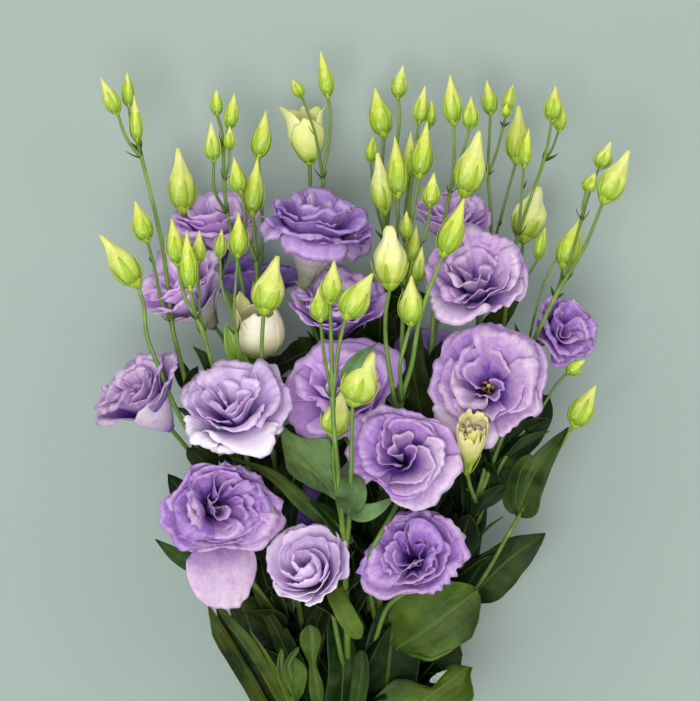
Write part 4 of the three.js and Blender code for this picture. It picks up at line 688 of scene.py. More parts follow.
def leaf_material(name="leaf", frost=0.0):
    N = Nodes(name); s, v, tone = N.pst()
    co = N.new("ShaderNodeTexCoord").outputs["Object"]
    a = N.math("ABSOLUTE", s)
    big = N.noise(co, 42.0, 3.0, 0.55); fine = N.noise(co, 260.0, 3.0, 0.6)
    c = N.ramp(big, [(0.32, srgb(14, 28, 8)), (0.5, srgb(25, 44, 11)), (0.68, srgb(44, 68, 17))])
    # tone runs the leaf from near black to a light green: painted shade on leaves deep in the bunch and in the gaps,
    # painted light on the leaves on top
    c = N.mix(N.math("MULTIPLY", N.grey(tone, [(0.5, 0.0), (1.0, 1.0)]), N.grey(big, [(0.3, 0.6), (0.6, 1.0)])), c, srgb(96, 127, 42))
    c = N.mix(N.grey(tone, [(0.0, 0.85), (0.45, 0.0)]), c, srgb(11, 21, 8))
    # broad patches run from golden to a bluish dark green
    gold = N.noise(co, 24.0, 2.0, 0.55, 0.4)
    c = N.mix(N.math("MULTIPLY", N.grey(gold, [(0.50, 0.0), (0.68, 1.0)]), N.grey(tone, [(0.25, 0.1), (0.7, 0.6)])), c, srgb(104, 118, 26))
    c = N.mix(N.math("MULTIPLY", N.grey(gold, [(0.32, 1.0), (0.47, 0.0)]), 0.45), c, srgb(16, 38, 18))
    # a pale greyish strip beside the midrib on the outer part of lighter leaves: painted highlight
    band = N.math("MULTIPLY", N.grey(N.math("ABSOLUTE", N.math("SUBTRACT", s, 0.22)), [(0.0, 1.0), (0.26, 0.0)]), N.grey(v, [(0.35, 0.0), (0.7, 1.0)]))
    c = N.mix(N.math("MULTIPLY", N.math("MULTIPLY", band, N.grey(fine, [(0.3, 0.5), (0.7, 1.0)])), N.grey(tone, [(0.5, 0.0), (0.8, 0.34)])), c, srgb(136, 148, 104))
    # darker towards the foot: painted shade where the leaf bases lie inside the bunch
    c = N.mix(N.math("MULTIPLY", N.grey(v, [(0.02, 1.0), (0.50, 0.0)]), 0.62), c, srgb(24, 44, 18))
    # a waxy bloom in soft patches
    wax = N.noise(co, 45.0, 2.0, 0.5, 0.6)
    c = N.mix(N.math("MULTIPLY", N.grey(wax, [(0.5, 0.0), (0.72, 1.0)]), 0.20), c, srgb(104, 128, 84))
    c = N.mix(N.math("MULTIPLY", N.grey(big, [(0.38, 0.30), (0.60, 1.0)]), frost), c, srgb(112, 146, 100))
    mid = N.grey(a, [(0.0, 1.0), (0.04, 0.85), (0.08, 0.0)])
    # two long veins on each side curve out from the base and in to the tip
    w1 = N.math("ABSOLUTE", N.math("SUBTRACT", a, 0.36)); w2 = N.math("ABSOLUTE", N.math("SUBTRACT", a, 0.66))
    side = N.math("MAXIMUM", N.grey(w1, [(0.0, 0.7), (0.05, 0.0)]), N.grey(w2, [(0.0, 0.5), (0.04, 0.0)]))
    net = N.noise(N.vec(N.math("MULTIPLY", a, 7.0), N.math("MULTIPLY", v, 16.0), tone), 1.0, 3.0, 0.6, 0.5)
    c = N.mix(N.math("MULTIPLY", side, 0.05), c, srgb(76, 104, 38))
    c = N.mix(N.math("MULTIPLY", mid, 0.36), c, srgb(98, 128, 52))
    # the margins are lighter: painted highlight
    c = N.mix(N.grey(a, [(0.95, 0.0), (1.0, 0.35)]), c, srgb(92, 120, 52))
    h = N.math("SUBTRACT", N.math("ADD", N.math("MULTIPLY", net, 0.4), N.math("MULTIPLY", fine, 0.2)), N.math("ADD", N.math("MULTIPLY", mid, 0.9), N.math("MULTIPLY", side, 0.12)))
    h = N.math("ADD", h, N.math("MULTIPLY", N.noise(co, 70.0, 2.0, 0.5, 0.8), 3.0))
    nb = N.bump(h, 0.4, 0.0009)
    rl = N.grey(wax, [(0.4, 0.46), (0.75, 0.62)])
    thin_shader(N, c, c, nb, 0.5, 0.1, 0.0, 0.12, rl)
    return N.m


def stamen_material(name, a, b):
    N = Nodes(name)
    co = N.new("ShaderNodeTexCoord").outputs["Object"]
    n = N.noise(co, 900.0, 2.0, 0.5)
    c = N.ramp(n, [(0.3, a), (0.7, b)])
    thin_shader(N, c, c, N.bump(n, 0.5, 0.0003), 0.7, 0.0, 0.0, 0.2)
    return N.m

# ------------------------------------------------------------------ the bunch
# shoots: name, parent, centre line with radius, and the bud at its end
SPRAYS = {
    "spray_far_left": [
        ["S1", None, [[-24.9, -272.9, 7.6, 2.1], [-19.4, -230, 8, 2.1], [-15.4, -190, 8.2, 2.1], [-15.4, -174, 8.2, 2.06], [-25.7, -138, 19, 2.03], [-34.8, -120.4, 28.7, 2.01], [-41.1, -104.4, 35.3, 2], [-66.2, -23.7, 62.1, 1.76], [-85.3, 40.2, 80.5, 1.57], [-103.2, 110.5, 97.6, 1.35], [-106.4, 128.9, 98.7, 1.29], [-109.6, 155.3, 96.7, 1.22], [-113.3, 175.9, 93.1, 1.16], [-126.2, 226.6, 84, 1]], [-128.2, 252.8, 84, 3.64, "tight"]],
        ["S1a", "S1", [[-123.6, 216.9, 85.4, 1.03], [-132.1, 227.6, 86.8, 0.91], [-137.3, 242.2, 87, 0.8]], [-146.6, 262.3, 88, 4.48, "tight"]],
        ["S1b", "S1", [[-124.9, 221.8, 84.7, 0.9], [-129.8, 234.1, 77.8, 0.8], [-131.9, 247.1, 77, 0.7]], [-132.6, 266.7, 77, 3.08, "small"]],
        ["S1m", "S1", [[-105.8, 124.2, 98.8, 1.05], [-109.7, 131.9, 103.5, 1], [-112.3, 140.1, 106.5, 0.95], [-114.5, 152.9, 108.5, 0.88], [-118.9, 169.3, 108, 0.8]], [-126.2, 191.3, 109, 5.6, "tight"]],
        ["S1B", "S1", [[-82.8, 31.1, 78, 1.3], [-85.1, 34.8, 87.1, 1.28], [-87, 37.9, 91.5, 1.27], [-96.4, 52.3, 100.7, 1.24], [-105.9, 64.5, 107.3, 1.2]], None],
    ],
    "spray_left_leaning": [
        ["S2", None, [[-20.2, -272.9, 13, 2.1], [-16, -230, 12.6, 2.1], [-13.1, -190, 12.4, 2.1], [-13.1, -174, 12.4, 2.06], [-22.3, -138, 26.5, 2.02], [-35, -106.3, 46, 1.96], [-50.5, -51.3, 74, 1.78], [-59.2, -22.6, 86.3, 1.68], [-77.6, 29.7, 102.4, 1.52], [-101, 73.5, 119.3, 1.35], [-109.7, 95.3, 126, 1.27], [-117.5, 116, 128.2, 1.19], [-119.2, 132.5, 127.6, 1.15], [-122.9, 144.3, 127, 1.1]], [-142, 172.6, 128, 7.56, "big"]],
    ],
    "spray_left_front": [
        ["S3", None, [[-10.7, -275.8, 13, 2.1], [-9.3, -230, 12.6, 2.1], [-8.3, -190, 12.4, 2.1], [-8.3, -174, 12.4, 2.06], [-17.4, -138, 30, 2.02], [-26.4, -116.1, 47.9, 1.98], [-31.2, -101.4, 56.9, 1.93], [-39.9, -68.4, 72.9, 1.81], [-48.8, -32.8, 88, 1.69], [-54.9, -7, 96.4, 1.61], [-83.1, 105.4, 128.2, 1.2], [-90, 125.3, 133, 1.12], [-96.7, 137.8, 135, 1.07], [-100, 155.3, 135, 1]], [-103, 180.5, 136, 5.32, "tight"]],
        ["S3p", "S3", [[-90, 125.3, 133, 1.05], [-91.4, 132.8, 141, 0.93], [-92.9, 141.7, 142, 0.8]], [-95.9, 173.2, 144, 4.48, "tight"]],
        ["S3q", "S3", [[-86.9, 117.3, 131, 1.05], [-89.1, 135.8, 125, 0.93], [-89.8, 156.3, 124, 0.8]], [-89.4, 174.1, 124, 3.92, "tight"]],
        ["S3B", "S3", [[-62.9, 27.4, 105.6, 1.49], [-61.7, 40.1, 114.6, 1.42], [-62.9, 48.7, 120.7, 1.37], [-64.6, 57.9, 129.5, 1.3]], None],
    ],
    "spray_upper_left": [
        ["S4", None, [[-20.2, -278.1, 2.3, 2.1], [-16, -230, 3.3, 2.1], [-13.1, -190, 4.1, 2.1], [-13.1, -174, 4.1, 2.06], [-19, -138, 12.4, 2.03], [-27.1, -109.4, 24, 2.01], [-35.5, -70.1, 34.4, 1.9], [-43.9, -26.8, 44.1, 1.77], [-52.9, 23.9, 52.7, 1.61], [-61.1, 81.5, 59.3, 1.43], [-66.2, 137, 63.4, 1.25], [-76.9, 191.3, 66.7, 1.08], [-78.8, 228.9, 66.2, 0.95], [-82.1, 243.1, 66, 0.9]], [-83, 257.9, 66, 3.08, "small"]],
        ["S4g", "S4", [[-78.4, 224.5, 66.3, 0.96], [-76.8, 230.6, 69.1, 0.88], [-74.9, 235.2, 70, 0.8]], [-71.6, 255, 71, 4.2, "tight"]],
        ["S4i", "S4", [[-77.7, 205.6, 66.6, 0.9], [-74.9, 214.9, 73.3, 0.8], [-74.7, 222.6, 74, 0.7]], [-74.5, 235.8, 76, 3.08, "small"]],
        ["S4h", "S4", [[-76.1, 186.6, 66.5, 1.05], [-80.6, 193.3, 72.5, 0.98], [-82.4, 197.6, 74.7, 0.94], [-83.6, 202.8, 76.3, 0.91], [-83.5, 216.4, 77, 0.8]], [-85.7, 237.9, 78, 4.48, "tight"]],
        ["S4e", "S4", [[-65.4, 128.7, 62.9, 1.05], [-82.2, 148.5, 54.8, 0.96], [-92, 161.2, 51.4, 0.91], [-100.2, 174.8, 50.6, 0.85], [-102.1, 188.8, 50.6, 0.8]], [-104, 225.2, 51.6, 7.56, "big"]],
        ["S4B", "S4", [[-61.1, 81.5, 59.3, 1.3], [-63.8, 103.1, 44.2, 1.27], [-67.6, 116.5, 37.7, 1.26], [-76.4, 139.1, 30.5, 1.23], [-79.3, 147.5, 29.2, 1.22], [-80.2, 151.7, 30.5, 1.21], [-80.7, 158.7, 35.6, 1.2]], None],
        ["S4C", "S4", [[-57, 50.3, 56.2, 1.3], [-65.1, 72.7, 62.4, 1.27], [-71.1, 93.4, 62.4, 1.25], [-74.1, 103.1, 63.9, 1.24], [-78.6, 115.2, 69, 1.22], [-85.3, 124.2, 75.9, 1.2]], None],
        ["S4H", "S4", [[-57, 50.3, 56.2, 1.3], [-57.2, 79.2, 40.2, 1.26], [-57.2, 89.3, 37.7, 1.25], [-58, 127.1, 32.5, 1.2]], None],
    ],
    "spray_left_centre": [
        ["S5", None, [[-15.4, -280.4, 7.6, 2.1], [-12.7, -230, 8, 2.1], [-10.7, -190, 8.2, 2.1], [-10.7, -174, 8.2, 2.06], [-16, -138, 20.7, 2.02], [-23.4, -107.4, 38, 1.97], [-32.4, -55, 59.1, 1.78], [-38.2, -19.3, 70.4, 1.67], [-45.3, 26, 80.3, 1.52], [-51.5, 61.6, 86.4, 1.4], [-55.7, 90.3, 88.1, 1.3], [-59, 158, 82.4, 1.08], [-61.3, 185.6, 79, 1]], [-59.4, 217.9, 79, 5.6, "tight"]],
        ["S5j", "S5", [[-58.7, 142.5, 84, 1.05], [-56.1, 165.2, 73.1, 0.97], [-55.6, 174, 70, 0.94], [-56.3, 189.3, 68.1, 0.89], [-58.4, 218.7, 68, 0.8]], [-52.8, 245.3, 68, 5.32, "tight"]],
        ["S5k", "S5", [[-59, 158, 82.4, 1.05], [-64.6, 174.9, 88, 0.94], [-65.7, 188.4, 90, 0.86], [-67.9, 197.1, 90, 0.8]], [-72.1, 216.7, 91, 4.76, "tight"]],
        ["S5s", "S5", [[-55.1, 85.3, 88.1, 1.05], [-63, 95.9, 108.8, 0.98], [-65.7, 102.5, 115.6, 0.96], [-66.9, 107.1, 118.2, 0.94], [-69.2, 121, 123.5, 0.91], [-69.8, 129.7, 125.4, 0.88], [-67.7, 160.2, 127, 0.8]], [-66.4, 183.9, 128, 5.04, "tight"]],
        ["S5t", "S5", [[-52.3, 66.3, 87, 1.3], [-54.1, 87, 120.8, 1.21], [-54.4, 96.5, 131.8, 1.18], [-54.2, 105.6, 138.5, 1.16], [-53.8, 113.8, 142.3, 1.13], [-53.5, 119.3, 143.7, 1.12], [-52.8, 129, 144, 1.1]], [-46.3, 159.6, 145, 8.12, "big"]],
        ["S5B", "S5", [[-49.7, 51.8, 85, 1.3], [-52.8, 71.6, 88, 1.27], [-59.7, 93.2, 82.2, 1.23], [-59.9, 97.8, 83.5, 1.22], [-58.6, 104.4, 88.7, 1.2]], None],
        ["S5r", "S5s", [[-68.6, 116.6, 122, 0.9], [-71.8, 128.8, 118, 0.83], [-76.8, 142.7, 116, 0.77], [-78, 159.8, 116, 0.7]], [-77.4, 175.4, 116, 3.08, "small"]],
    ],
    "spray_top_left": [
        ["S6", None, [[-10.7, -277.1, 2.3, 2.1], [-9.3, -230, 3.3, 2.1], [-8.3, -190, 4.1, 2.1], [-8.3, -174, 4.1, 2.07], [-10.9, -138, 12.4, 2.04], [-13.7, -116.6, 21.9, 2.01], [-14.7, -101.3, 25.9, 2], [-17, -37.5, 38, 1.81], [-19, 23.6, 46.9, 1.63], [-20.3, 66.9, 51.2, 1.5], [-21.5, 125.6, 55, 1.31], [-21.4, 206.8, 56.4, 1.06], [-19.2, 220, 58, 1.01], [-17.1, 241, 58, 0.95], [-18.6, 254.3, 58, 0.9]], [-22, 280.6, 58, 4.2, "tight"]],
        ["S6x", "S6", [[-21.4, 206.8, 56.4, 0.9], [-25.3, 229.4, 64.9, 0.8], [-28, 238.7, 66.5, 0.76], [-33.6, 253.5, 67, 0.7]], [-38.9, 263.4, 67, 3.08, "small"]],
        ["S6w", "S6", [[-21.5, 161.2, 55.9, 1.2], [-28.1, 192.2, 46.8, 1.15], [-29.3, 217, 46, 1.1]], [-33.2, 249.3, 46, 12.32, "opening"]],
        ["S6B", "S6", [[-21.3, 107.2, 54.1, 1.37], [-26.5, 119.8, 68.3, 1.35], [-32, 131.8, 79.2, 1.33], [-32.9, 139.8, 84, 1.31], [-30.6, 147.4, 86.3, 1.3]], None],
        ["S6H", "S6", [[-16.3, -59.1, 34.2, 1.3], [-22.9, -35.2, 38.7, 1.25], [-27.5, -5.2, 41, 1.2]], None],
    ],
    "spray_centre_back": [
        ["S7", None, [[-1.2, -276.9, 2.3, 2.1], [-2.6, -230, 3.3, 2.1], [-3.6, -190, 4.1, 2.1], [-3.6, -174, 4.1, 2.07], [-5.7, -138, 11.6, 2.04], [-8.4, -122.1, 18.3, 2.02], [-8.8, -109.6, 22, 2.01], [-1.9, -32.7, 34.7, 1.8], [4.1, 28.1, 41.6, 1.61], [9, 76.2, 45.2, 1.47], [15.1, 176.8, 50.6, 1.15], [22.3, 236, 53.6, 0.96], [21.8, 254.2, 54, 0.9]], [24, 272.9, 54, 4.48, "tight"]],
        ["S7a", "S7", [[16, 186.4, 51, 1.05], [11.5, 201.2, 46, 0.97], [13.2, 221.6, 44, 0.86], [13.8, 233.2, 44, 0.8]], [8, 260.9, 44, 6.44, "tight"]],
        ["S7c", "S7", [[14.7, 171.9, 50.3, 0.9], [9.3, 193, 36, 0.8], [8, 199.5, 34.6, 0.78], [6.3, 218.2, 35, 0.7]], [7.5, 233.4, 35, 3.36, "small"]],
        ["S7d", "S7", [[13.8, 153.4, 49.1, 1.2], [13.3, 171.3, 66, 1.07], [13.3, 176.7, 68.3, 1.05], [13.8, 186.9, 70, 1]], [9.9, 220.8, 72, 6.16, "big"]],
        ["S7e", "S7", [[13.2, 137.3, 48, 1.2], [16.9, 153.3, 73.8, 1.12], [17.9, 158.3, 80, 1.1], [18.9, 162.9, 83.4, 1.09], [21, 176.1, 86, 1.05], [21, 195.4, 87, 1]], [20.8, 229, 88, 5.6, "tight"]],
        ["S7B", "S7", [[6.3, 49.8, 43.4, 1.3], [1.6, 70.8, 53.6, 1.27], [-7.7, 86.4, 53.4, 1.24], [-9.8, 91.2, 54.9, 1.23], [-12.7, 100.1, 59.6, 1.22], [-12.7, 110.7, 66.8, 1.2]], None],
    ],
    "spray_centre": [
        ["S8", None, [[-5.9, -280.5, 7.6, 2.1], [-5.9, -230, 8, 2.1], [-5.9, -190, 8.2, 2.1], [-5.9, -174, 8.2, 2.06], [-5.2, -138, 23.2, 2.03], [-4.8, -113.2, 41.1, 2], [-3.2, -98.5, 46.8, 1.96], [0.9, -67.7, 54.7, 1.86], [11.2, 5.5, 70.6, 1.64], [18.6, 61.8, 80.2, 1.47], [23, 107.8, 86.3, 1.33], [25.6, 159, 91.6, 1.17], [33.1, 206.3, 92, 1]], [37.8, 237.1, 92, 5.88, "tight"]],
        ["S8a", "S8", [[26.2, 167.4, 92, 1.05], [27.7, 191.7, 79.8, 0.96], [28.8, 201.9, 76.5, 0.93], [31.7, 222.3, 74, 0.85], [33.1, 238.2, 74, 0.8]], [36.2, 259, 74, 3.92, "tight"]],
        ["S8c", "S8", [[25.8, 163.5, 91.8, 0.9], [25.4, 179.4, 71.7, 0.85], [25.6, 185.6, 66, 0.84], [26, 191, 63.6, 0.83], [28.2, 206.4, 63, 0.8]], [28.2, 234.1, 62, 4.2, "tight"]],
        ["S8d", "S8", [[25.1, 148.5, 91, 1], [35.8, 172.9, 103.1, 0.88], [37.9, 180.5, 104.6, 0.84], [38.7, 188.8, 105, 0.8]], [40.9, 207.2, 106, 4.76, "tight"]],
        ["S8e", "S8", [[25.3, 154, 91.4, 0.8], [24.2, 163, 106, 0.74], [24.7, 166.7, 107.8, 0.72], [25.5, 170.1, 108, 0.7]], [24.9, 185.6, 110, 3.36, "small"]],
        ["S8f", "S8", [[24.3, 132.2, 89.5, 1], [28.5, 138.3, 112, 0.86], [30, 142.1, 114.7, 0.83], [31.2, 146, 115, 0.8]], [34.5, 165.3, 118, 4.2, "tight"]],
        ["S8g", "S8", [[24.8, 142.7, 90.6, 0.9], [27.1, 149.2, 100, 0.8], [28.5, 157, 101, 0.7]], [31, 177.7, 102, 3.64, "tight"]],
        ["S8H", "S8", [[19.2, 66.9, 80.8, 1.3], [27.4, 77.3, 62, 1.24], [33.5, 84, 47, 1.2]], None],
        ["S8B", "S8", [[13.9, 25.1, 74.3, 1.5], [7.7, 39.1, 79.9, 1.45], [-3.1, 50.4, 79.8, 1.4], [-5.6, 54, 81.5, 1.38], [-8.7, 60.5, 86.7, 1.35], [-8.7, 68.5, 96.8, 1.3]], None],
        ["S8b", "S8a", [[31.1, 217.8, 74.4, 0.8], [36.3, 228.3, 70, 0.75], [39.8, 236.3, 70, 0.7]], [40.7, 251.3, 70, 3.08, "small"]],
    ],
    "spray_centre_front": [
        ["S9", None, [[3.6, -280.5, 18.4, 2.1], [0.8, -230, 17.3, 2.1], [-1.2, -190, 16.5, 2.1], [-1.2, -174, 16.5, 2.1], [0, -137.9, 35.7, 2.1], [0.6, -115.3, 54.9, 2.08], [1.6, -104.1, 62, 2.05], [8.4, -52.1, 85.8, 1.86], [12.6, -16.9, 99.6, 1.74], [20.8, 68, 128.9, 1.45], [23.3, 85.5, 136.8, 1.39], [27.8, 100.7, 142.5, 1.32], [32.6, 128, 149.4, 1.22], [44.4, 160.2, 155, 1.1]], [56.8, 189.5, 158, 6.44, "tight"]],
        ["S9f", "S9", [[20.8, 68, 128.9, 1.3], [18.4, 80.8, 139.6, 1.26], [16.1, 93.6, 145.7, 1.23], [14.7, 102.5, 146.5, 1.21], [13.3, 116.1, 145.8, 1.17], [13.7, 130.1, 143.1, 1.14], [16, 142.6, 142, 1.1]], [16, 175.9, 143, 9.24, "cream"]],
        ["S9L", "S9", [[5.6, -72.8, 77, 1.5], [7.6, -59, 101.3, 1.45], [8.9, -51.2, 109.3, 1.43], [13.1, -37.5, 114.9, 1.4], [17.9, -30.7, 116.9, 1.38], [27.8, -23.1, 120.5, 1.35], [30.7, -18.4, 121.6, 1.34], [32.3, -14.2, 123.8, 1.33], [31, -9.9, 136.6, 1.3]], None],
        ["S9a", "S9", [[22.3, 79.9, 134.3, 1.2], [21.1, 98.6, 150.1, 1.1], [21.7, 103.6, 151.9, 1.08], [26.9, 122.6, 152, 1]], [27, 148.5, 154, 6.44, "tight"]],
        ["S9B", "S9", [[9.1, -47, 87.9, 1.5], [3.4, -15.9, 147.9, 1.43], [3.7, -6.3, 162.1, 1.41], [5.3, 0.4, 168.6, 1.4], [7.3, 4.8, 170.5, 1.39], [9.8, 9.1, 170.6, 1.38], [12.2, 13.2, 168.9, 1.38], [13.9, 15.9, 166.1, 1.37], [18.9, 24, 152.2, 1.35], [23.5, 36.7, 136.4, 1.33], [25.1, 41.9, 132, 1.32], [25.4, 44.1, 133.8, 1.31], [24.4, 45.2, 144.6, 1.3]], None],
    ],
    "spray_centre_right": [
        ["S9b", None, [[3.6, -271, 7.6, 2.1], [0.8, -230, 8, 2.1], [-1.2, -190, 8.2, 2.1], [-1.2, -174, 8.2, 2.06], [2.2, -138, 19, 2.03], [4.6, -120.9, 28.6, 2.01], [7.6, -104.1, 35.2, 2], [18.7, -46.7, 49.6, 1.82], [28.3, 9.9, 61.5, 1.64], [38.5, 86.5, 75.3, 1.39], [43.9, 160.5, 85.5, 1.15], [52.1, 207, 90, 1], [52.7, 236.3, 90, 0.9]], [49.5, 263.5, 90, 5.32, "tight"]],
        ["S9c", "S9b", [[50.1, 196.5, 88.8, 0.9], [54.7, 210.5, 96, 0.86], [57.4, 219.3, 97.7, 0.84], [61.3, 232.9, 98, 0.8]], [61.8, 250.5, 98, 4.76, "tight"]],
        ["S9d", "S9b", [[45.1, 170.2, 86.5, 1.11], [51.1, 179.9, 102, 1.11], [53.5, 184.5, 104.9, 1.11], [57.6, 195.2, 107, 1.1]], [67.2, 230, 110, 8.4, "big"]],
        ["S9B2", "S9b", [[40.4, 107.9, 78.4, 1.2], [45.8, 130.2, 61.5, 1.16], [50.2, 143.1, 49.7, 1.14], [52.5, 150.5, 44.5, 1.12], [53, 155, 44.9, 1.11], [52.5, 161.8, 50.8, 1.1]], None],
    ],
    "spray_right_back": [
        ["S10", None, [[8.3, -274.4, 2.3, 2.1], [4.2, -230, 3.3, 2.1], [1.2, -190, 4.1, 2.1], [1.2, -174, 4.1, 2.06], [5.6, -138, 12.4, 2.03], [10, -116.6, 21.9, 2.01], [19.6, -76, 31.1, 1.91], [41.1, 8.8, 44.9, 1.63], [64.7, 102.3, 55.1, 1.29], [71.2, 137.1, 58, 1.17], [74.9, 167.4, 59.7, 1.06], [74.8, 189.6, 61.6, 0.99], [73.3, 208.8, 62, 0.92], [74.7, 243.9, 62, 0.8]], [73, 263.6, 62, 4.2, "tight"]],
        ["S10a", "S10", [[73.3, 208.8, 62, 0.8], [78.3, 222.6, 66.7, 0.77], [83.6, 244, 67, 0.7]], [86.9, 260.8, 67, 3.36, "small"]],
        ["S10c", "S10", [[73.5, 153.3, 59, 0.9], [78, 172.1, 51.4, 0.87], [80.6, 181.9, 49, 0.85], [90.5, 217.8, 48, 0.8]], [92.5, 249.9, 48, 7, "big"]],
        ["S10B", "S10", [[57.8, 73, 52.3, 1.4], [59, 87.7, 72.9, 1.37], [59.9, 94.1, 80, 1.36], [61.4, 102.1, 85.8, 1.35], [65.6, 121.5, 96.9, 1.32], [65.9, 125.6, 100.8, 1.31], [65.2, 129.5, 107.1, 1.3]], None],
        ["S10a2", "S10a", [[82, 236.3, 67, 0.6], [82.3, 238.5, 71, 0.57], [82.8, 241.5, 72, 0.55]], [83.6, 249.1, 73, 2.52, "small"]],
    ],
    "spray_right": [
        ["S11", None, [[13.1, -278.6, 7.6, 2.1], [7.6, -230, 8, 2.1], [3.6, -190, 8.2, 2.1], [3.6, -174, 8.2, 2.07], [8.9, -138, 20.1, 2.04], [13.3, -119.1, 32.4, 2.01], [18.9, -99.9, 40, 1.99], [43.7, -20.5, 59.3, 1.72], [64.8, 49.5, 72.5, 1.48], [77.1, 96.9, 78.5, 1.31], [84.2, 143, 80, 1.16], [89.5, 173.1, 78, 1.04], [104.3, 216.1, 76, 0.89], [109, 238.9, 76, 0.8]], [110.9, 258.7, 76, 4.76, "tight"]],
        ["S11a", "S11", [[104.3, 216.1, 76, 0.8], [109.4, 222.8, 71, 0.75], [113.3, 233.7, 70, 0.7]], [115.7, 250.3, 70, 3.36, "tight"]],
        ["S11b", "S11", [[85.9, 152.9, 79.5, 1.1], [92.3, 161.2, 62, 1.03], [93.2, 166.2, 60, 1.02], [93.5, 171.6, 60, 1]], [101.7, 202.7, 58, 9.52, "cream"]],
        ["S11c", "S11", [[84.2, 143, 80, 0.8], [92.7, 148.3, 90, 0.75], [99.9, 159.6, 92, 0.7]], [103.2, 177.7, 92, 3.08, "small"]],
        ["S11d", "S11", [[89.5, 173.1, 78, 0.9], [90.7, 190.3, 86, 0.81], [92.4, 212.3, 86, 0.7]], [94.1, 233.8, 86, 3.64, "tight"]],
        ["S11B", "S11", [[71.5, 73.6, 76, 1.4], [84.1, 90.1, 73.9, 1.32], [90.8, 104.2, 72.9, 1.27], [92.8, 107.7, 73.5, 1.25], [95.3, 110.1, 76.1, 1.24], [100, 112, 83.4, 1.2]], None],
    ],
    "spray_far_right": [
        ["S12", None, [[-1.2, -276.6, 13, 2.1], [-2.6, -230, 12.6, 2.1], [-3.6, -190, 12.4, 2.1], [-3.6, -174, 12.4, 2.06], [7, -138, 29.6, 2.03], [17.3, -116.2, 47.5, 2.01], [21.7, -105.2, 53.9, 1.99], [32.1, -73.8, 66.4, 1.87], [50.2, -19.1, 84.6, 1.69], [78.7, 58.8, 105.4, 1.41], [92.7, 105.5, 115.6, 1.23], [101.2, 125.5, 125.7, 1.15], [109.3, 141.9, 127.2, 1.08], [122.8, 164.3, 126.6, 1], [133.6, 190.3, 126, 0.9]], [147.7, 218.1, 127, 7.56, "big"]],
        ["S12a", "S12", [[111.9, 146.1, 127.2, 0.9], [119.6, 171.2, 117.3, 0.81], [128.5, 200, 112.1, 0.73], [132.6, 209.5, 112, 0.7]], [139.1, 224.3, 112, 4.76, "tight"]],
        ["S12c", "S12", [[107, 137.5, 127, 1], [111.6, 147.9, 108.4, 0.93], [112.4, 151.7, 106.7, 0.92], [112.8, 155.1, 107, 0.9]], [122.4, 182.2, 107, 6.72, "tight"]],
        ["S12d", "S12", [[91.8, 102.3, 114.7, 0.8], [96.2, 123.9, 104.9, 0.72], [103, 147.4, 104.3, 0.65], [110, 160.3, 104, 0.6]], None],
        ["S12B", "S12", [[62, 13.3, 93.9, 1.58], [69.7, 41.1, 98.6, 1.51], [74.4, 61.9, 97.2, 1.47], [74.5, 72.6, 98.4, 1.45], [72.3, 81.6, 102.8, 1.43], [71.9, 83.3, 106.3, 1.42], [71.5, 84.1, 114.7, 1.4]], None],
        ["S12b", "S12a", [[123, 180.5, 115.2, 0.79], [122.7, 188.4, 121.2, 0.74], [124.2, 196, 123, 0.7]], [129.6, 205.8, 124, 3.64, "small"]],
        ["S12f", "S12B", [[64.7, 22.7, 95.7, 1.2], [62.8, 26.5, 121.3, 1.16], [61.6, 29, 131.3, 1.15], [59.3, 34.4, 144.3, 1.12], [57.2, 42, 155.2, 1.1]], [54.1, 71.7, 178.2, 10.08, "faded"]],
    ],
    "spray_lower_right": [
        ["S13", None, [[8.3, -271.2, 13, 2.1], [4.2, -230, 12.6, 2.1], [1.2, -190, 12.4, 2.1], [1.2, -174, 12.4, 2.01], [11.7, -137.9, 24.6, 1.93], [27.3, -102.9, 42.1, 1.78], [70.3, 22.4, 89.3, 1.2], [84.3, 52.7, 97.1, 1.06], [97.6, 70.4, 102.9, 0.95], [108.8, 88.5, 107.6, 0.84], [115.4, 95.7, 107.5, 0.8]], [124.7, 103, 107.5, 3.92, "small"]],
        ["S13a", "S13", [[44.2, -53.8, 60, 1.4], [67.9, -23.3, 80.1, 1.27], [83.7, 5.8, 94, 1.15], [106.6, 47, 108, 0.98], [118.6, 66.4, 110, 0.9]], [130, 89.4, 111, 6.44, "tight"]],
    ],
    "spray_front": [
        ["S14", None, [[-5.9, -272, 18.4, 2.1], [-5.9, -230, 17.3, 2.1], [-5.9, -190, 16.5, 2.1], [-5.9, -174, 16.5, 2.18], [-6.2, -138, 39.8, 2.26], [-6.7, -91.2, 81.5, 2.12], [-8.6, -5.4, 150, 1.66], [-10.2, 16, 164.4, 1.55], [-11.3, 33.5, 172.1, 1.46], [-14.5, 67.6, 180.8, 1.31], [-15.4, 92.3, 183.2, 1.2], [-16.4, 133.5, 183, 1]], [-13.6, 155.6, 184, 5.88, "tight"]],
        ["S14a", "S14", [[-15, 82.6, 182.6, 1.1], [-12.3, 107.2, 188, 1.02], [-8.2, 125.7, 190, 0.95]], [4.8, 149.3, 191, 7.56, "tight"]],
        ["S14b", "S14", [[-15, 82.6, 182.6, 1], [-19.7, 105.6, 177, 0.89], [-21.7, 123.9, 175, 0.8]], [-21.7, 142.4, 174, 5.04, "tight"]],
        ["S14c", "S14", [[-8.6, -5.4, 150, 1.4], [-6.2, 19.3, 169.5, 1.31], [-5.5, 35.8, 178.9, 1.24], [-5.3, 49.6, 183.1, 1.19], [-4.6, 80.1, 188, 1.1]], [5.7, 107.3, 190, 9.24, "big"]],
        ["S14d", "S14", [[-10, 11.7, 162, 1.1], [-14.8, 44.2, 158.5, 1.04], [-14.3, 62.2, 158, 1]], [-10.8, 85.7, 158, 8.12, "big"]],
        ["S14C", "S14", [[-6.9, -82.8, 88.2, 1.5], [-11.5, -58.3, 112, 1.43], [-17.8, -24.3, 132.9, 1.34], [-21.7, -18.4, 143.8, 1.3]], None],
    ],
    "spray_lower_left": [
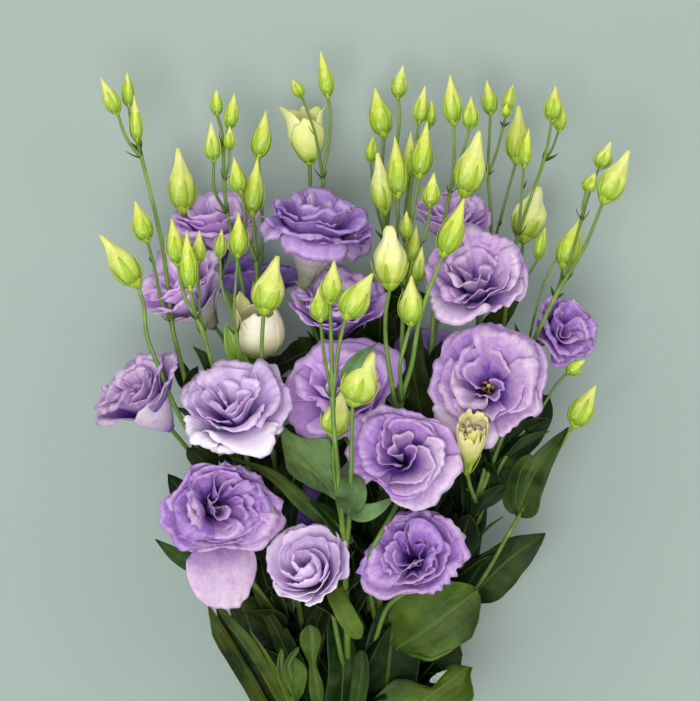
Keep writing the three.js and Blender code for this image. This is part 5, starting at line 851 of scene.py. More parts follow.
        ["S15", None, [[-15.4, -272.5, 18.4, 2.1], [-12.7, -230, 17.3, 2.1], [-10.7, -190, 16.5, 2.1], [-10.7, -174, 16.5, 2.1], [-13.6, -137.9, 35.7, 2.09], [-16.1, -117.7, 58.1, 2], [-19.7, -105.3, 67, 1.95], [-25.9, -87.2, 77.7, 1.88], [-36.3, -60.6, 92, 1.79], [-47.8, -39.5, 102.5, 1.71], [-60.2, -21.1, 109.1, 1.63], [-78.1, 1.1, 112, 1.53], [-84.2, 9.2, 116.5, 1.5], [-89.6, 17.7, 124.7, 1.45], [-89.2, 19.4, 128.8, 1.43], [-85.1, 19.8, 136.8, 1.4]], None],
    ],
}
# flowers: name, foot of the tube, middle of the face, radius, form, seed
BLOOMS = [
    ["bloom_left_side", [-105.9, 64.5, 107.3], [-126.9, 91.4, 124], 27, "side", 10],
    ["bloom_left_front", [-64.6, 57.9, 129.5], [-69.5, 84.8, 155.9], 32.5, "open", 9],
    ["bloom_upper_left_back", [-80.7, 158.7, 35.6], [-84.6, 191.3, 54.6], 25, "side", 13],
    ["bloom_left_upper", [-85.3, 124.2, 75.9], [-105.1, 150.6, 94.9], 25, "side", 14],
    ["bloom_cream_half_open", [-58.6, 104.4, 88.7], [-55.8, 132, 104.7], 19, "cream", 15],
    ["bloom_top_centre", [-30.6, 147.4, 86.3], [-22.5, 187.4, 102.8], 30.5, "side", 8],
    ["bloom_centre_back", [-12.7, 110.7, 66.8], [-12.7, 141.9, 88.6], 27, "side", 12],
    ["bloom_lower_right", [31, -9.9, 136.6], [27.2, 1.9, 171.4], 30.5, "open", 3],
    ["bloom_back_right", [33.5, 84, 47], [43.9, 98.8, 11.2], 28, "back", 18],
    ["bloom_centre_right_front", [24.4, 45.2, 144.6], [22.5, 54.5, 180.4], 30, "open", 4],
    ["bloom_top_right_back", [52.5, 161.8, 50.8], [52.5, 191.2, 67.8], 22, "side", 16],
    ["bloom_upper_right", [65.2, 129.5, 107.1], [64, 152.8, 137.1], 30.5, "open", 7],
    ["bloom_right_side", [100, 112, 83.4], [117.7, 122.4, 108], 23, "open", 6],
    ["bloom_right_front", [71.5, 84.1, 114.7], [68.9, 91.7, 151.9], 34, "open", 5],
    ["bloom_centre", [-8.7, 68.5, 96.8], [-8.7, 91.9, 126.8], 34, "open", 11],
    ["bloom_lower_small", [-21.7, -18.4, 143.8], [-30.5, -5.3, 168.1], 21.5, "rose", 2],
    ["bloom_lower_left", [-85.1, 19.8, 136.8], [-72.3, 25.8, 172], 34, "open", 1],
    ["bloom_back_centre", [-27.5, -5.2, 41], [-28.4, 16.6, 15], 27, "back", 17],
    ["bloom_back_left", [-58, 127.1, 32.5], [-60.6, 154.2, 26.7], 26, "back", 19],
]
# leaves: name, midrib from base to tip, half width, roll, fold
LEAVES = [
    ["leaf_low_left_outer", [[-31.2, -141.8, 60], [-50, -92.9, 86], [-66, -61.3, 96], [-84.9, -35, 100]], 11.2, -12, 10],
    ["leaf_low_left_edge", [[-27.4, -123.7, 84], [-42.7, -87.8, 108], [-60.1, -56.3, 120], [-79.2, -32.8, 124]], 5, 20, 10],
    ["leaf_low_left_inner", [[-29.8, -92.6, 80], [-41.2, -60.6, 102], [-50.9, -39.5, 112], [-60.3, -23.7, 114]], 5.6, -20, 12],
    ["leaf_low_curl", [[-34.4, -87.2, 104], [-38, -76.2, 120], [-40, -64, 130], [-34, -54.9, 128]], 7.3, 20, 30],
    ["leaf_low_centre_left", [[-23.1, -126.5, 66], [-23.9, -90.2, 98], [-27, -65, 112], [-28.6, -43.8, 118]], 6.2, 15, 12],
    ["leaf_low_centre", [[-11.7, -124.3, 50], [-11, -91, 92], [-10.4, -65.7, 106], [-15.9, -37.4, 110]], 10.1, 25, 16],
    ["leaf_low_bright", [[-16.3, -15, 132], [-12.5, -26.7, 142], [-6.5, -38.5, 144], [0.1, -49.3, 134]], 7.3, -10, 12],
    ["leaf_low_strip", [[-5.9, -127.8, 76], [-2.6, -93.3, 108], [0.2, -72.1, 118], [0.7, -57.2, 122]], 5, -18, 14],
    ["leaf_low_right_back", [[6.8, -130.1, 50], [13.3, -91.8, 86], [16.5, -59.7, 100], [19.8, -30.2, 104]], 13.4, 12, 10],
    ["leaf_right_broad", [[21.2, -76.2, 84], [35.3, -57.9, 106], [49.5, -41.3, 116], [65.1, -24.8, 114]], 18.5, 20, 12],
    ["leaf_right_low", [[14.8, -136.6, 60], [23.3, -103.1, 94], [38.6, -83.6, 110], [61.6, -69, 106]], 16.2, -12, 16],
    ["leaf_far_right", [[62.8, -34.8, 66], [74.8, -19.5, 78], [87, -7.9, 82], [104.7, 4.5, 80]], 12.9, 10, 16],
    ["leaf_right_vertical", [[58.5, -28.7, 58], [60.8, -5.8, 72], [63.3, 18.7, 80], [62.2, 48.7, 80]], 7.8, 25, 12],
    ["leaf_right_upper", [[74.8, 33.9, 78], [82.8, 48.4, 87], [92.7, 62.7, 90], [106.6, 82.3, 86]], 10.6, 20, 16],
    ["leaf_right_stem", [[88.3, 15.7, 97], [92.4, 29, 104], [100.5, 44.8, 108], [115.9, 65.5, 110]], 10.6, -16, 20],
    ["leaf_centre_big", [[-10.2, 26.1, 160], [-19.4, 38.9, 158], [-30.8, 51, 152], [-43.9, 68.1, 146]], 11.8, 10, 14],
    ["leaf_centre_narrow", [[-11.4, 9.7, 148], [-29.8, 24.2, 146], [-48.4, 40.2, 141], [-71, 49.8, 136]], 4.5, 10, 14],
    ["leaf_cup", [[-9.7, 22.8, 168], [-5.4, 29.2, 178], [-4.9, 35.2, 181], [-7.5, 41.4, 178]], 7.8, 0, 30],
    ["leaf_front_right", [[-5.9, 24.9, 168], [-0.1, 21.7, 177], [8.4, 24, 179], [18.5, 30.6, 175]], 5, -6, 18],
    ["leaf_front_bract", [[-8, 90.3, 184], [-5.9, 97.3, 192], [-0.7, 104.6, 195], [7.7, 111.5, 193]], 4.5, 10, 18],
    ["leaf_left_back", [[-76.5, 11.6, 76], [-89, -10.4, 86], [-100.8, -9.1, 88], [-116, 1.6, 88]], 6.2, 0, 14],
    ["leaf_centre_dark", [[-22, 108.3, 62], [-31, 107.2, 74], [-40, 102.6, 80], [-50.8, 98.1, 80]], 8.4, 15, 12],
    ["leaf_centre_right_dark", [[38.6, 51.3, 72], [33.7, 77.2, 84], [30.1, 99.9, 90], [33.5, 124.1, 90]], 9, -15, 12],
    ["leaf_right_top", [[71.2, 117, 58], [76.8, 124.3, 72], [83.7, 132.7, 80], [92.1, 141.2, 82]], 6.2, 10, 12],
]
# leaves deep in the bunch: shoot, midrib, half width, upper side, tone; their low tones paint them near black, as
# painted shade
FOLIAGE = [
    ["spray_far_left", [[-28, -134.4, 21.4], [-37.2, -125.8, 30.7], [-47.2, -120.4, 40.8], [-58.2, -118.1, 49.5]], 11.1, [0.6, 0.56, -0.57], 0.36],
    ["spray_far_left", [[-26.8, -133.3, 20.2], [-28.3, -114.3, 21.3], [-26.5, -96.2, 18.7], [-21.3, -79, 9.6]], 14.4, [-0.54, -0.56, 0.63], 0.02],
    ["spray_far_left", [[-43, -95.9, 38.8], [-43.9, -79.2, 46.8], [-42.2, -63.2, 55.7], [-37.9, -47.9, 62.8]], 14, [-0.87, -0.12, -0.48], 0.15],
    ["spray_far_left", [[-44.7, -96.1, 37.7], [-52.4, -83.1, 40], [-61.5, -71.1, 40.7], [-72, -60.1, 37.8]], 11.3, [0.81, 0.06, 0.58], 0.06],
    ["spray_far_left", [[-57.9, -54.3, 52.4], [-66.9, -44.3, 56.1], [-77.8, -36.8, 59.2], [-90.6, -31.9, 59.8]], 10.4, [0.96, 0.29, 0.01], 0.14],
    ["spray_far_left", [[-56.1, -53.7, 52.3], [-53.7, -37.7, 55.9], [-47.7, -23, 58.6], [-38.2, -9.5, 57.7]], 12.3, [-0.94, -0.32, 0.11], 0.23],
    ["spray_far_left", [[-67.1, -18, 64.1], [-65.2, -6.7, 69.1], [-60.5, 3.1, 74.4], [-53.2, 11.6, 78]], 8.8, [-0.92, -0.18, -0.33], 0.02],
    ["spray_far_left", [[-68.7, -18.2, 63.4], [-75.4, -9.5, 63.8], [-83.3, -2.3, 62.8], [-92.5, 3.2, 58.7]], 6.7, [0.85, 0.1, 0.52], 0.17],
    ["spray_far_left", [[-78, 12.1, 73.2], [-83.4, 18.7, 77], [-89.9, 23.7, 81.2], [-97.4, 26.9, 84.4]], 6.3, [0.83, 0.37, -0.42], 0.04],
    ["spray_far_left", [[-76.6, 12.7, 72.5], [-75.8, 25.7, 72.9], [-72.6, 38, 71.8], [-67.1, 49.5, 67.1]], 9.1, [-0.78, -0.38, 0.5], 0.06],
    ["spray_far_left", [[-85.4, 40, 81.2], [-88, 47.9, 87.3], [-90.3, 54.1, 94.9], [-92.4, 58.8, 102.3]], 6.7, [0.04, 0.26, -0.96], 0.36],
    ["spray_far_left", [[-85.1, 40.5, 79.8], [-86.2, 48.9, 78.4], [-86.6, 56.6, 75.2], [-86.2, 63.7, 69.1]], 6.6, [-0.26, -0.31, 0.92], 0.27],
    ["spray_far_left", [[-92.3, 65.4, 87.3], [-95.2, 70.3, 91], [-98.4, 73.9, 95.6], [-102, 76.1, 100]], 4.3, [0.49, 0.31, -0.82], 0.35],
    ["spray_far_left", [[-91.5, 65.9, 86.2], [-90.9, 73.2, 85.3], [-89.2, 79.9, 83.2], [-86.3, 85.9, 78.8]], 4.8, [-0.64, -0.32, 0.7], 0.32],
    ["spray_far_left", [[-96, 84.5, 91.5], [-95.4, 90.4, 95.2], [-93.8, 95.3, 99.5], [-91, 99.3, 103.6]], 5.3, [-0.67, 0.01, -0.74], 0.18],
    ["spray_far_left", [[-96.8, 84.5, 90.4], [-99.3, 91.7, 90.2], [-102.2, 98.6, 89.1], [-105.4, 105.1, 85.9]], 4.9, [0.44, -0.1, 0.89], 0.09],
    ["spray_left_leaning", [[-20, -143.2, 24.7], [-17.8, -128.2, 37.6], [-12.1, -116.3, 51.7], [-2.7, -107.6, 64.2]], 13.2, [-0.75, 0.08, -0.66], 0.26],
    ["spray_left_leaning", [[-21.3, -143, 23.2], [-29.4, -128, 23.5], [-38.6, -114.7, 20.2], [-49, -103.1, 11]], 10.8, [0.57, -0.19, 0.8], 0.25],
    ["spray_left_leaning", [[-36.6, -103.3, 48.5], [-42.9, -93.5, 57.6], [-50.1, -85.8, 67.6], [-58.3, -80, 76.4]], 11, [0.58, 0.51, -0.64], 0.33],
    ["spray_left_leaning", [[-35.3, -102.4, 47.4], [-35.8, -83.8, 52.8], [-33.8, -65.2, 56.1], [-29.3, -46.4, 54.6]], 11.1, [-0.73, -0.48, 0.48], 0.35],
    ["spray_left_leaning", [[-43, -76.4, 62.3], [-41.7, -66.2, 72.2], [-38, -58.4, 82.9], [-31.9, -52.9, 92.5]], 9.6, [-0.71, 0.16, -0.69], 0.36],
    ["spray_left_leaning", [[-44.2, -76, 60.9], [-50.8, -62.4, 63.3], [-58.5, -49.6, 63.1], [-67.4, -37.4, 58.2]], 11, [0.61, -0.22, 0.76], 0.26],
    ["spray_left_leaning", [[-52.2, -47, 76.9], [-58.9, -37.3, 89.1], [-66.1, -31.5, 102.6], [-73.9, -29.7, 115]], 10.1, [0.38, 0.48, -0.79], 0.32],
    ["spray_left_leaning", [[-51.5, -46.1, 75.6], [-53.2, -33.4, 78.3], [-54, -20.6, 79.5], [-53.9, -7.5, 77.3]], 7.7, [-0.45, -0.48, 0.75], 0.38],
    ["spray_left_leaning", [[-60.9, -17.6, 88.9], [-65, -7.2, 96.5], [-69, 1.7, 105.5], [-72.8, 9.1, 114.2]], 7.4, [0.08, 0.34, -0.94], 0.23],
    ["spray_left_leaning", [[-60.8, -17.1, 87.3], [-63.9, -6.6, 87.6], [-66.7, 3.7, 86.1], [-69.4, 13.7, 81.4]], 6.5, [0, -0.31, 0.95], 0.18],
    ["spray_left_leaning", [[-71.6, 16.6, 98], [-71.5, 28, 101.1], [-69.3, 38.9, 103.9], [-65, 49.5, 104.9]], 6.4, [-0.94, -0.34, -0.03], 0.1],
    ["spray_left_leaning", [[-73, 16.1, 97.9], [-80.1, 23.7, 100.4], [-88.4, 29.7, 102.4], [-98, 33.9, 102.4]], 6.8, [0.94, 0.33, 0.06], 0.18],
    ["spray_left_leaning", [[-82, 38.9, 106.5], [-86.7, 45.8, 113.3], [-91.1, 51, 121.3], [-95.3, 54.5, 129]], 7.6, [0.13, 0.41, -0.9], 0.29],
    ["spray_left_leaning", [[-81.8, 39.5, 105.2], [-84.8, 47.8, 106.1], [-87.5, 56.1, 105.8], [-89.7, 64.5, 103.1]], 6.3, [-0.22, -0.44, 0.87], 0.36],
    ["spray_left_front", [[-14.5, -149.5, 24.7], [-20.1, -135.2, 37.2], [-26.1, -123, 51.3], [-32.4, -112.7, 64.1]], 14, [0.25, 0.5, -0.83], 0.17],
    ["spray_left_front", [[-14, -148.5, 23], [-16.1, -129.2, 23.4], [-16.6, -110.9, 19.2], [-15.6, -93.6, 7.6]], 13.7, [-0.22, -0.5, 0.84], 0.35],
    ["spray_left_front", [[-23.7, -124.6, 41.9], [-33.4, -117.8, 55.3], [-44.2, -114.9, 68.4], [-56.2, -115.8, 78.9]], 12, [0.62, 0.66, -0.43], 0.07],
    ["spray_left_front", [[-22.8, -123.2, 40.9], [-26.1, -108.6, 47.8], [-28.2, -93.3, 52.4], [-29.1, -77, 52.6]], 10.8, [-0.34, -0.7, 0.62], 0.3],
    ["spray_left_front", [[-35.1, -83.5, 66], [-34.7, -69.6, 73.6], [-32, -56.2, 81.4], [-27.1, -43.3, 87.1]], 9.4, [-0.96, -0.12, -0.27], 0.11],
    ["spray_left_front", [[-36.9, -83.8, 65.6], [-44.2, -70.6, 71.6], [-53.2, -58.3, 76.8], [-63.9, -47.1, 79.1]], 11.3, [0.97, 0.16, 0.19], 0.18],
    ["spray_left_front", [[-46.3, -42.8, 84.9], [-48.3, -34, 93.8], [-49.7, -27.3, 104.2], [-50.5, -22.9, 114.3]], 6.9, [-0.12, 0.35, -0.93], 0.17],
    ["spray_left_front", [[-46.7, -42.3, 83.4], [-52, -28.7, 82.2], [-57.8, -16.5, 77.7], [-63.9, -5.9, 67.7]], 11, [0.36, -0.27, 0.89], 0.35],
    ["spray_left_front", [[-54.3, -12.5, 95.4], [-61.1, -2.5, 103.3], [-69.1, 4.5, 112.4], [-78.4, 8.6, 120.6]], 8.4, [0.64, 0.35, -0.68], 0.22],
    ["spray_left_front", [[-53.1, -12, 94.4], [-50.7, 2.5, 94.5], [-45.5, 15.5, 92.3], [-37.6, 27, 85.9]], 8.6, [-0.78, -0.34, 0.53], 0.34],
    ["spray_left_front", [[-59.9, 13.1, 102.6], [-64.1, 21.3, 109.7], [-68.6, 27.1, 118.4], [-73.5, 30.4, 126.8]], 8.2, [0.36, 0.31, -0.88], 0.08],
    ["spray_left_front", [[-59.5, 13.5, 101.2], [-60.8, 23.8, 99.9], [-61.5, 33.5, 96.6], [-61.5, 42.5, 89.7]], 8, [-0.2, -0.29, 0.94], 0.4],
    ["spray_left_front", [[-67, 41.2, 109.9], [-72.8, 50.1, 114.1], [-79.9, 57.6, 118.7], [-88.4, 63.5, 122]], 6.8, [0.88, 0.32, -0.35], 0.29],
    ["spray_left_front", [[-65.7, 41.7, 109.4], [-63.8, 51.2, 110.7], [-60, 60, 111.1], [-54.1, 67.9, 109.2]], 7.2, [-0.92, -0.3, 0.26], 0.07],
    ["spray_left_front", [[-74.2, 69.6, 118.2], [-77.4, 75, 121], [-81.2, 79.6, 124.2], [-85.6, 83.3, 126.8]], 3.8, [0.77, 0.36, -0.53], 0.29],
    ["spray_left_front", [[-73.2, 70.1, 117.6], [-72.9, 77.5, 118.5], [-71.6, 84.8, 118.8], [-69.1, 91.8, 117.4]], 5.8, [-0.84, -0.34, 0.41], 0.31],
    ["spray_left_front", [[-80.2, 92.6, 124.3], [-83.5, 98.9, 125.4], [-87.4, 104.9, 125.9], [-92.1, 110.4, 124.9]], 5.3, [0.86, 0.07, 0.5], 0.15],
    ["spray_upper_left", [[-16.4, -148.7, 10.4], [-15.1, -133, 20.9], [-11.6, -120.1, 33.6], [-5.8, -110, 45.8]], 14.4, [-0.54, 0.11, -0.84], 0.19],
    ["spray_upper_left", [[-17.3, -148.5, 8.6], [-19.7, -139.3, 8.5], [-22.4, -130.5, 7.2], [-25.5, -121.9, 3.3]], 7.1, [0.36, -0.16, 0.92], 0.15],
    ["spray_upper_left", [[-28, -105.8, 26.1], [-31.8, -89.6, 37.7], [-35.3, -75.9, 51.8], [-38.2, -64.9, 65.7]], 11.3, [-0.02, 0.27, -0.96], 0.01],
    ["spray_upper_left", [[-27.9, -105.2, 24.1], [-31.2, -86.2, 23.4], [-33.9, -67.7, 19.5], [-36, -49.8, 9.8]], 12.8, [-0.1, -0.29, 0.95], 0.15],
    ["spray_upper_left", [[-37.5, -64.7, 36], [-44, -52.5, 40.6], [-52.3, -41.8, 45.5], [-62.2, -32.6, 48.8]], 9.4, [0.91, 0.26, -0.31], 0.25],
    ["spray_upper_left", [[-35.8, -64.2, 35.4], [-33.6, -47.3, 36.7], [-28.6, -31.2, 36.6], [-20.8, -16.1, 32.5]], 9.5, [-0.88, -0.27, 0.39], 0],
    ["spray_upper_left", [[-42.2, -31.9, 43.5], [-41.6, -21.2, 47.1], [-39.7, -11, 51.3], [-36.3, -1.3, 54.5]], 8.2, [-0.87, -0.06, -0.49], 0.13],
    ["spray_upper_left", [[-43.7, -32, 42.6], [-51, -19.6, 42.6], [-60.1, -9.1, 41.1], [-71.1, -0.3, 36]], 8.4, [0.88, 0.07, 0.47], 0.4],
    ["spray_upper_left", [[-49.4, -1.2, 49.2], [-54.9, 8.2, 52.8], [-61.9, 15.9, 57.1], [-70.3, 21.9, 60.5]], 8.2, [0.86, 0.23, -0.45], 0.33],
    ["spray_upper_left", [[-47.9, -0.8, 48.4], [-46.4, 10.5, 48.3], [-43, 21.1, 47.2], [-37.9, 31, 43.4]], 7.3, [-0.86, -0.23, 0.46], 0.22],
    ["spray_upper_left", [[-53.7, 23.8, 52.8], [-59.6, 33.2, 54.7], [-67.1, 41, 56.7], [-76.4, 47.1, 57.1]], 7.7, [0.98, 0.18, -0.1], 0.25],
    ["spray_upper_left", [[-52.1, 24.1, 52.5], [-51.3, 36.2, 53.7], [-49.1, 48, 54.5], [-45.4, 59.6, 53.2]], 8.6, [-0.96, -0.19, 0.2], 0.09],
    ["spray_upper_left", [[-57.5, 50.1, 56.8], [-60.3, 57.9, 59.3], [-63.9, 64.9, 62.7], [-68.2, 71.2, 65.5]], 5.4, [0.7, 0.18, -0.69], 0.01],
    ["spray_upper_left", [[-56.4, 50.4, 55.7], [-54.7, 58.3, 53.9], [-51.6, 64.9, 50.9], [-47.3, 70.4, 45.4]], 5.5, [-0.71, -0.18, 0.68], 0.16],
    ["spray_upper_left", [[-60.8, 81.5, 59.9], [-60, 87.9, 63], [-58.4, 93.3, 67.1], [-56, 97.7, 71.2]], 4.2, [-0.53, 0.01, -0.85], 0.25],
    ["spray_upper_left", [[-61.5, 81.5, 58.7], [-64.3, 89, 56.4], [-67.8, 95.2, 52.6], [-72, 100.3, 46.2]], 6.4, [0.53, -0.01, 0.84], 0.12],
    ["spray_left_centre", [[-14.4, -143.2, 19.2], [-13.2, -129.8, 27.7], [-10.2, -117.7, 37.2], [-5.3, -106.9, 45.4]], 11.4, [-0.76, 0.12, -0.63], 0.32],
    ["spray_left_centre", [[-15.9, -143, 18], [-23, -129.1, 19.9], [-32, -116.6, 19.6], [-42.8, -105.5, 14.9]], 11.6, [0.81, -0.09, 0.58], 0.29],
    ["spray_left_centre", [[-24.7, -104.2, 40.3], [-31.1, -88.7, 51.7], [-38.8, -75.5, 64.6], [-47.9, -64.5, 76]], 13.3, [0.58, 0.41, -0.71], 0.2],
    ["spray_left_centre", [[-23.6, -103.4, 38.8], [-24.1, -89.4, 41.4], [-23.5, -75.3, 42.3], [-21.9, -61.1, 39.4]], 9.3, [-0.5, -0.42, 0.76], 0.33],
    ["spray_left_centre", [[-29, -70.9, 53.6], [-24.2, -56.6, 63.9], [-15.9, -45.5, 74.8], [-4.1, -37.7, 83.8]], 13.7, [-0.85, 0.06, -0.52], 0.3],
    ["spray_left_centre", [[-30.6, -70.7, 52.6], [-39.3, -56, 54.1], [-50.3, -43.6, 53], [-63.6, -33.4, 46.7]], 10.3, [0.84, -0.07, 0.53], 0.29],
    ["spray_left_centre", [[-36.1, -29.9, 68.3], [-36.6, -20, 73.5], [-36.4, -10.9, 79.8], [-35.5, -2.4, 85.5]], 6.5, [-0.46, 0.18, -0.87], 0.21],
    ["spray_left_centre", [[-37.1, -29.6, 66.9], [-41, -18, 67.6], [-45.9, -6.9, 66.7], [-51.8, 3.6, 62.6]], 9, [0.63, -0.12, 0.77], 0.06],
    ["spray_left_centre", [[-42.2, 1.4, 75.7], [-47.8, 10.6, 79.8], [-54.9, 17.8, 84.5], [-63.7, 23.2, 88]], 8, [0.88, 0.23, -0.42], 0.36],
    ["spray_left_centre", [[-40.8, 1.8, 75], [-39.5, 15.3, 75.8], [-36.3, 28.3, 75.5], [-31.4, 40.9, 72.1]], 9.5, [-0.84, -0.24, 0.48], 0.22],
    ["spray_left_centre", [[-44, 21.4, 79.9], [-43, 32.8, 84.4], [-40.6, 43.4, 89.8], [-36.6, 53.2, 94.4]], 8.5, [-0.78, 0, -0.63], 0.27],
    ["spray_left_centre", [[-45.1, 21.5, 78.9], [-49.2, 33.3, 78.9], [-54.3, 44.6, 77.5], [-60.4, 55.3, 73.1]], 7.9, [0.69, -0.03, 0.73], 0.18],
    ["spray_left_centre", [[-49, 51.9, 85.2], [-47.2, 60.6, 87.3], [-43.6, 68.5, 89.6], [-38.4, 75.5, 90.7]], 5.7, [-0.96, -0.14, -0.23], 0.32],
    ["spray_left_centre", [[-50.4, 51.6, 85.1], [-55.5, 60.7, 87], [-62.1, 68.6, 88.9], [-70.2, 75.3, 89.3]], 7.9, [0.98, 0.19, -0.1], 0.31],
    ["spray_left_centre", [[-54.2, 80.1, 88.6], [-54.6, 88.2, 90.8], [-54.6, 95.9, 93.9], [-54.2, 103.2, 96.7]], 6.4, [-0.35, -0.01, -0.94], 0.2],
    ["spray_left_centre", [[-54.8, 80.1, 87.4], [-56.7, 88.2, 85.9], [-59, 95.8, 83.5], [-61.8, 103.1, 79]], 6.2, [0.43, 0.02, 0.9], 0.22],
    ["spray_top_left", [[-9, -148.6, 9.7], [-1.2, -132.1, 15.4], [10.5, -119, 20.8], [26.1, -109.2, 23.3]], 11.5, [-0.98, -0.03, -0.18], 0.37],
    ["spray_top_left", [[-11, -148.6, 9.2], [-16.5, -130.6, 12.1], [-24.1, -113.4, 14], [-33.9, -97, 12.2]], 14.3, [0.94, -0.01, 0.33], 0.02],
    ["spray_top_left", [[-14.7, -116.6, 21.8], [-23.6, -100.8, 26.7], [-35.7, -87.4, 30.6], [-50.9, -76.6, 30.7]], 11.1, [1, 0.06, 0.07], 0.22],
    ["spray_top_left", [[-12.7, -116.5, 21.8], [-9.7, -102.5, 26.1], [-4.4, -89.3, 29.9], [3, -76.8, 31.1]], 8.2, [-0.99, -0.11, 0.06], 0.26],
    ["spray_top_left", [[-16.5, -76.1, 31.7], [-22, -63.4, 38.1], [-29.6, -53.3, 45.8], [-39.4, -45.6, 52.5]], 11.3, [0.79, 0.14, -0.6], 0.25],
    ["spray_top_left", [[-14.9, -75.8, 30.6], [-11.8, -58.3, 31.7], [-6.7, -41.3, 31.5], [0.2, -24.8, 27.4]], 13.3, [-0.86, -0.13, 0.5], 0.11],
    ["spray_top_left", [[-17.9, -37.5, 38.3], [-24.6, -25.5, 42.5], [-33.9, -16.2, 47.2], [-45.6, -9.7, 50.3]], 10.9, [0.94, 0.09, -0.32], 0.38],
    ["spray_top_left", [[-16.1, -37.4, 37.8], [-13, -26.4, 39], [-8.1, -16.2, 39.7], [-1.5, -6.8, 38.3]], 7.6, [-0.98, -0.06, 0.18], 0.15],
    ["spray_top_left", [[-18.3, -1.5, 44.4], [-18.7, 9.5, 49.1], [-19.2, 19.6, 55.1], [-19.8, 28.9, 61]], 8.9, [0.04, 0.14, -0.99], 0.25],
    ["spray_top_left", [[-18.2, 23.6, 46.9], [-15.7, 33.4, 48], [-11.8, 42.5, 49.1], [-6.5, 51, 48.7]], 7.4, [-1, -0.03, 0.01], 0.18],
    ["spray_top_left", [[-19.8, 23.6, 46.9], [-24.3, 32.4, 48], [-30.5, 39.6, 48.9], [-38.5, 45.4, 48.2]], 6.1, [1, 0.03, 0], 0.24],
    ["spray_top_left", [[-20.5, 50.3, 50.1], [-23.6, 59.4, 51.9], [-28, 67.6, 54.1], [-33.8, 75, 55.3]], 6.1, [0.94, 0.06, -0.32], 0.36],
    ["spray_top_left", [[-19.1, 50.4, 49.4], [-17.2, 60.3, 48.9], [-14.2, 69.8, 47.7], [-10.1, 78.9, 44.3]], 6.7, [-0.84, -0.08, 0.53], 0.3],
    ["spray_top_left", [[-21.2, 77.2, 52.3], [-23.2, 85.1, 53.8], [-26, 92.5, 55.6], [-29.8, 99.6, 56.7]], 6, [0.89, 0.06, -0.44], 0.38],
    ["spray_top_left", [[-19.9, 77.2, 51.9], [-17.6, 85.6, 52.1], [-14.2, 93.4, 52], [-9.5, 100.6, 50.4]], 5.2, [-0.98, -0.04, 0.17], 0.17],
    ["spray_top_left", [[-20.4, 97.1, 53.6], [-18.1, 103.8, 54.6], [-14.7, 109.7, 55.7], [-10.1, 114.9, 56]], 5, [-0.98, -0.01, -0.2], 0.1],
    ["spray_top_left", [[-21.7, 97.1, 53.2], [-23.8, 105, 53], [-26.8, 112.4, 52.4], [-30.7, 119.4, 50.2]], 5.5, [0.93, -0.01, 0.37], 0.4],
    ["spray_centre_back", [[-4.6, -143.1, 11], [0, -128.2, 20.8], [7.2, -116.8, 32.3], [17.1, -108.7, 42.9]], 13.3, [-0.69, 0.12, -0.71], 0.35],
    ["spray_centre_back", [[-6.2, -143, 9.9], [-10.5, -132.7, 10.9], [-16.3, -123.4, 11], [-23.7, -115, 8.5]], 7.8, [0.92, -0.03, 0.38], 0.21],
    ["spray_centre_back", [[-8.6, -106, 23.8], [-7.7, -92.6, 31.8], [-6.7, -81, 41.9], [-5.7, -71.2, 51.8]], 11.8, [-0.04, 0.21, -0.98], 0.1],
    ["spray_centre_back", [[-8.6, -105.6, 21.8], [-7.4, -87.3, 20.6], [-6.2, -69.6, 16.7], [-4.9, -52.5, 7.5]], 11.4, [-0.05, -0.2, 0.98], 0.41],
    ["spray_centre_back", [[-5.5, -70.9, 30], [-2.4, -56.7, 39.3], [1, -45.3, 51.3], [4.9, -36.9, 63.4]], 9.8, [-0.21, 0.17, -0.96], 0.36],
    ["spray_centre_back", [[-5.9, -70.6, 28.1], [-6.1, -55.5, 24.1], [-7.3, -42.2, 17], [-9.3, -30.5, 4.5]], 11, [0.24, -0.18, 0.95], 0.03],
    ["spray_centre_back", [[-3.1, -43.1, 34.1], [-3.1, -30.5, 41.6], [-3.8, -20.1, 51.2], [-5.3, -11.7, 61]], 9.5, [0.22, 0.12, -0.97], 0],
    ["spray_centre_back", [[-2.6, -42.9, 32.4], [-0.4, -31.6, 29.6], [2.3, -21.4, 24.7], [5.5, -12.4, 16]], 8.5, [-0.27, -0.11, 0.96], 0.38],
    ["spray_centre_back", [[1.2, -1.8, 39.3], [2.6, 8.4, 46.1], [4, 16.2, 55], [5.4, 21.7, 64.1]], 8.5, [-0.07, 0.12, -0.99], 0.29],
    ["spray_centre_back", [[1.3, -1.6, 37.7], [3, 10.3, 35.7], [5, 21.7, 32.1], [7.1, 32.5, 25.1]], 9.2, [-0.18, -0.09, 0.98], 0.21],
    ["spray_centre_back", [[3.6, 23.2, 41.9], [4.4, 33.3, 46.1], [5, 42.4, 51.8], [5.5, 50.6, 57.4]], 8.3, [0.06, 0.09, -0.99], 0.32],
    ["spray_centre_back", [[3.6, 23.4, 40.3], [4.6, 34.8, 37.5], [5.5, 45.4, 32.7], [6.3, 55.1, 24.3]], 7.1, [0.02, -0.1, 0.99], 0.07],
    ["spray_centre_back", [[6.7, 49.7, 44.1], [9, 57.3, 46.7], [11.8, 64.1, 50.4], [15.4, 70.2, 53.7]], 4.7, [-0.56, 0.12, -0.82], 0.26],
    ["spray_centre_back", [[5.9, 49.9, 42.8], [4.4, 59.5, 39.8], [1.8, 67.7, 35.1], [-2, 74.7, 27.3]], 7.2, [0.54, -0.12, 0.83], 0.18],
    ["spray_centre_back", [[8.7, 71.1, 45.6], [10.4, 78.1, 48.9], [12.3, 84, 53.5], [14.7, 88.8, 58.2]], 5.3, [-0.3, 0.09, -0.95], 0.29],
    ["spray_centre_back", [[8.1, 71.2, 44.2], [7.9, 77.9, 43.1], [7.2, 84.3, 41.2], [6, 90.5, 37.5]], 4.8, [0.5, -0.1, 0.86], 0.27],
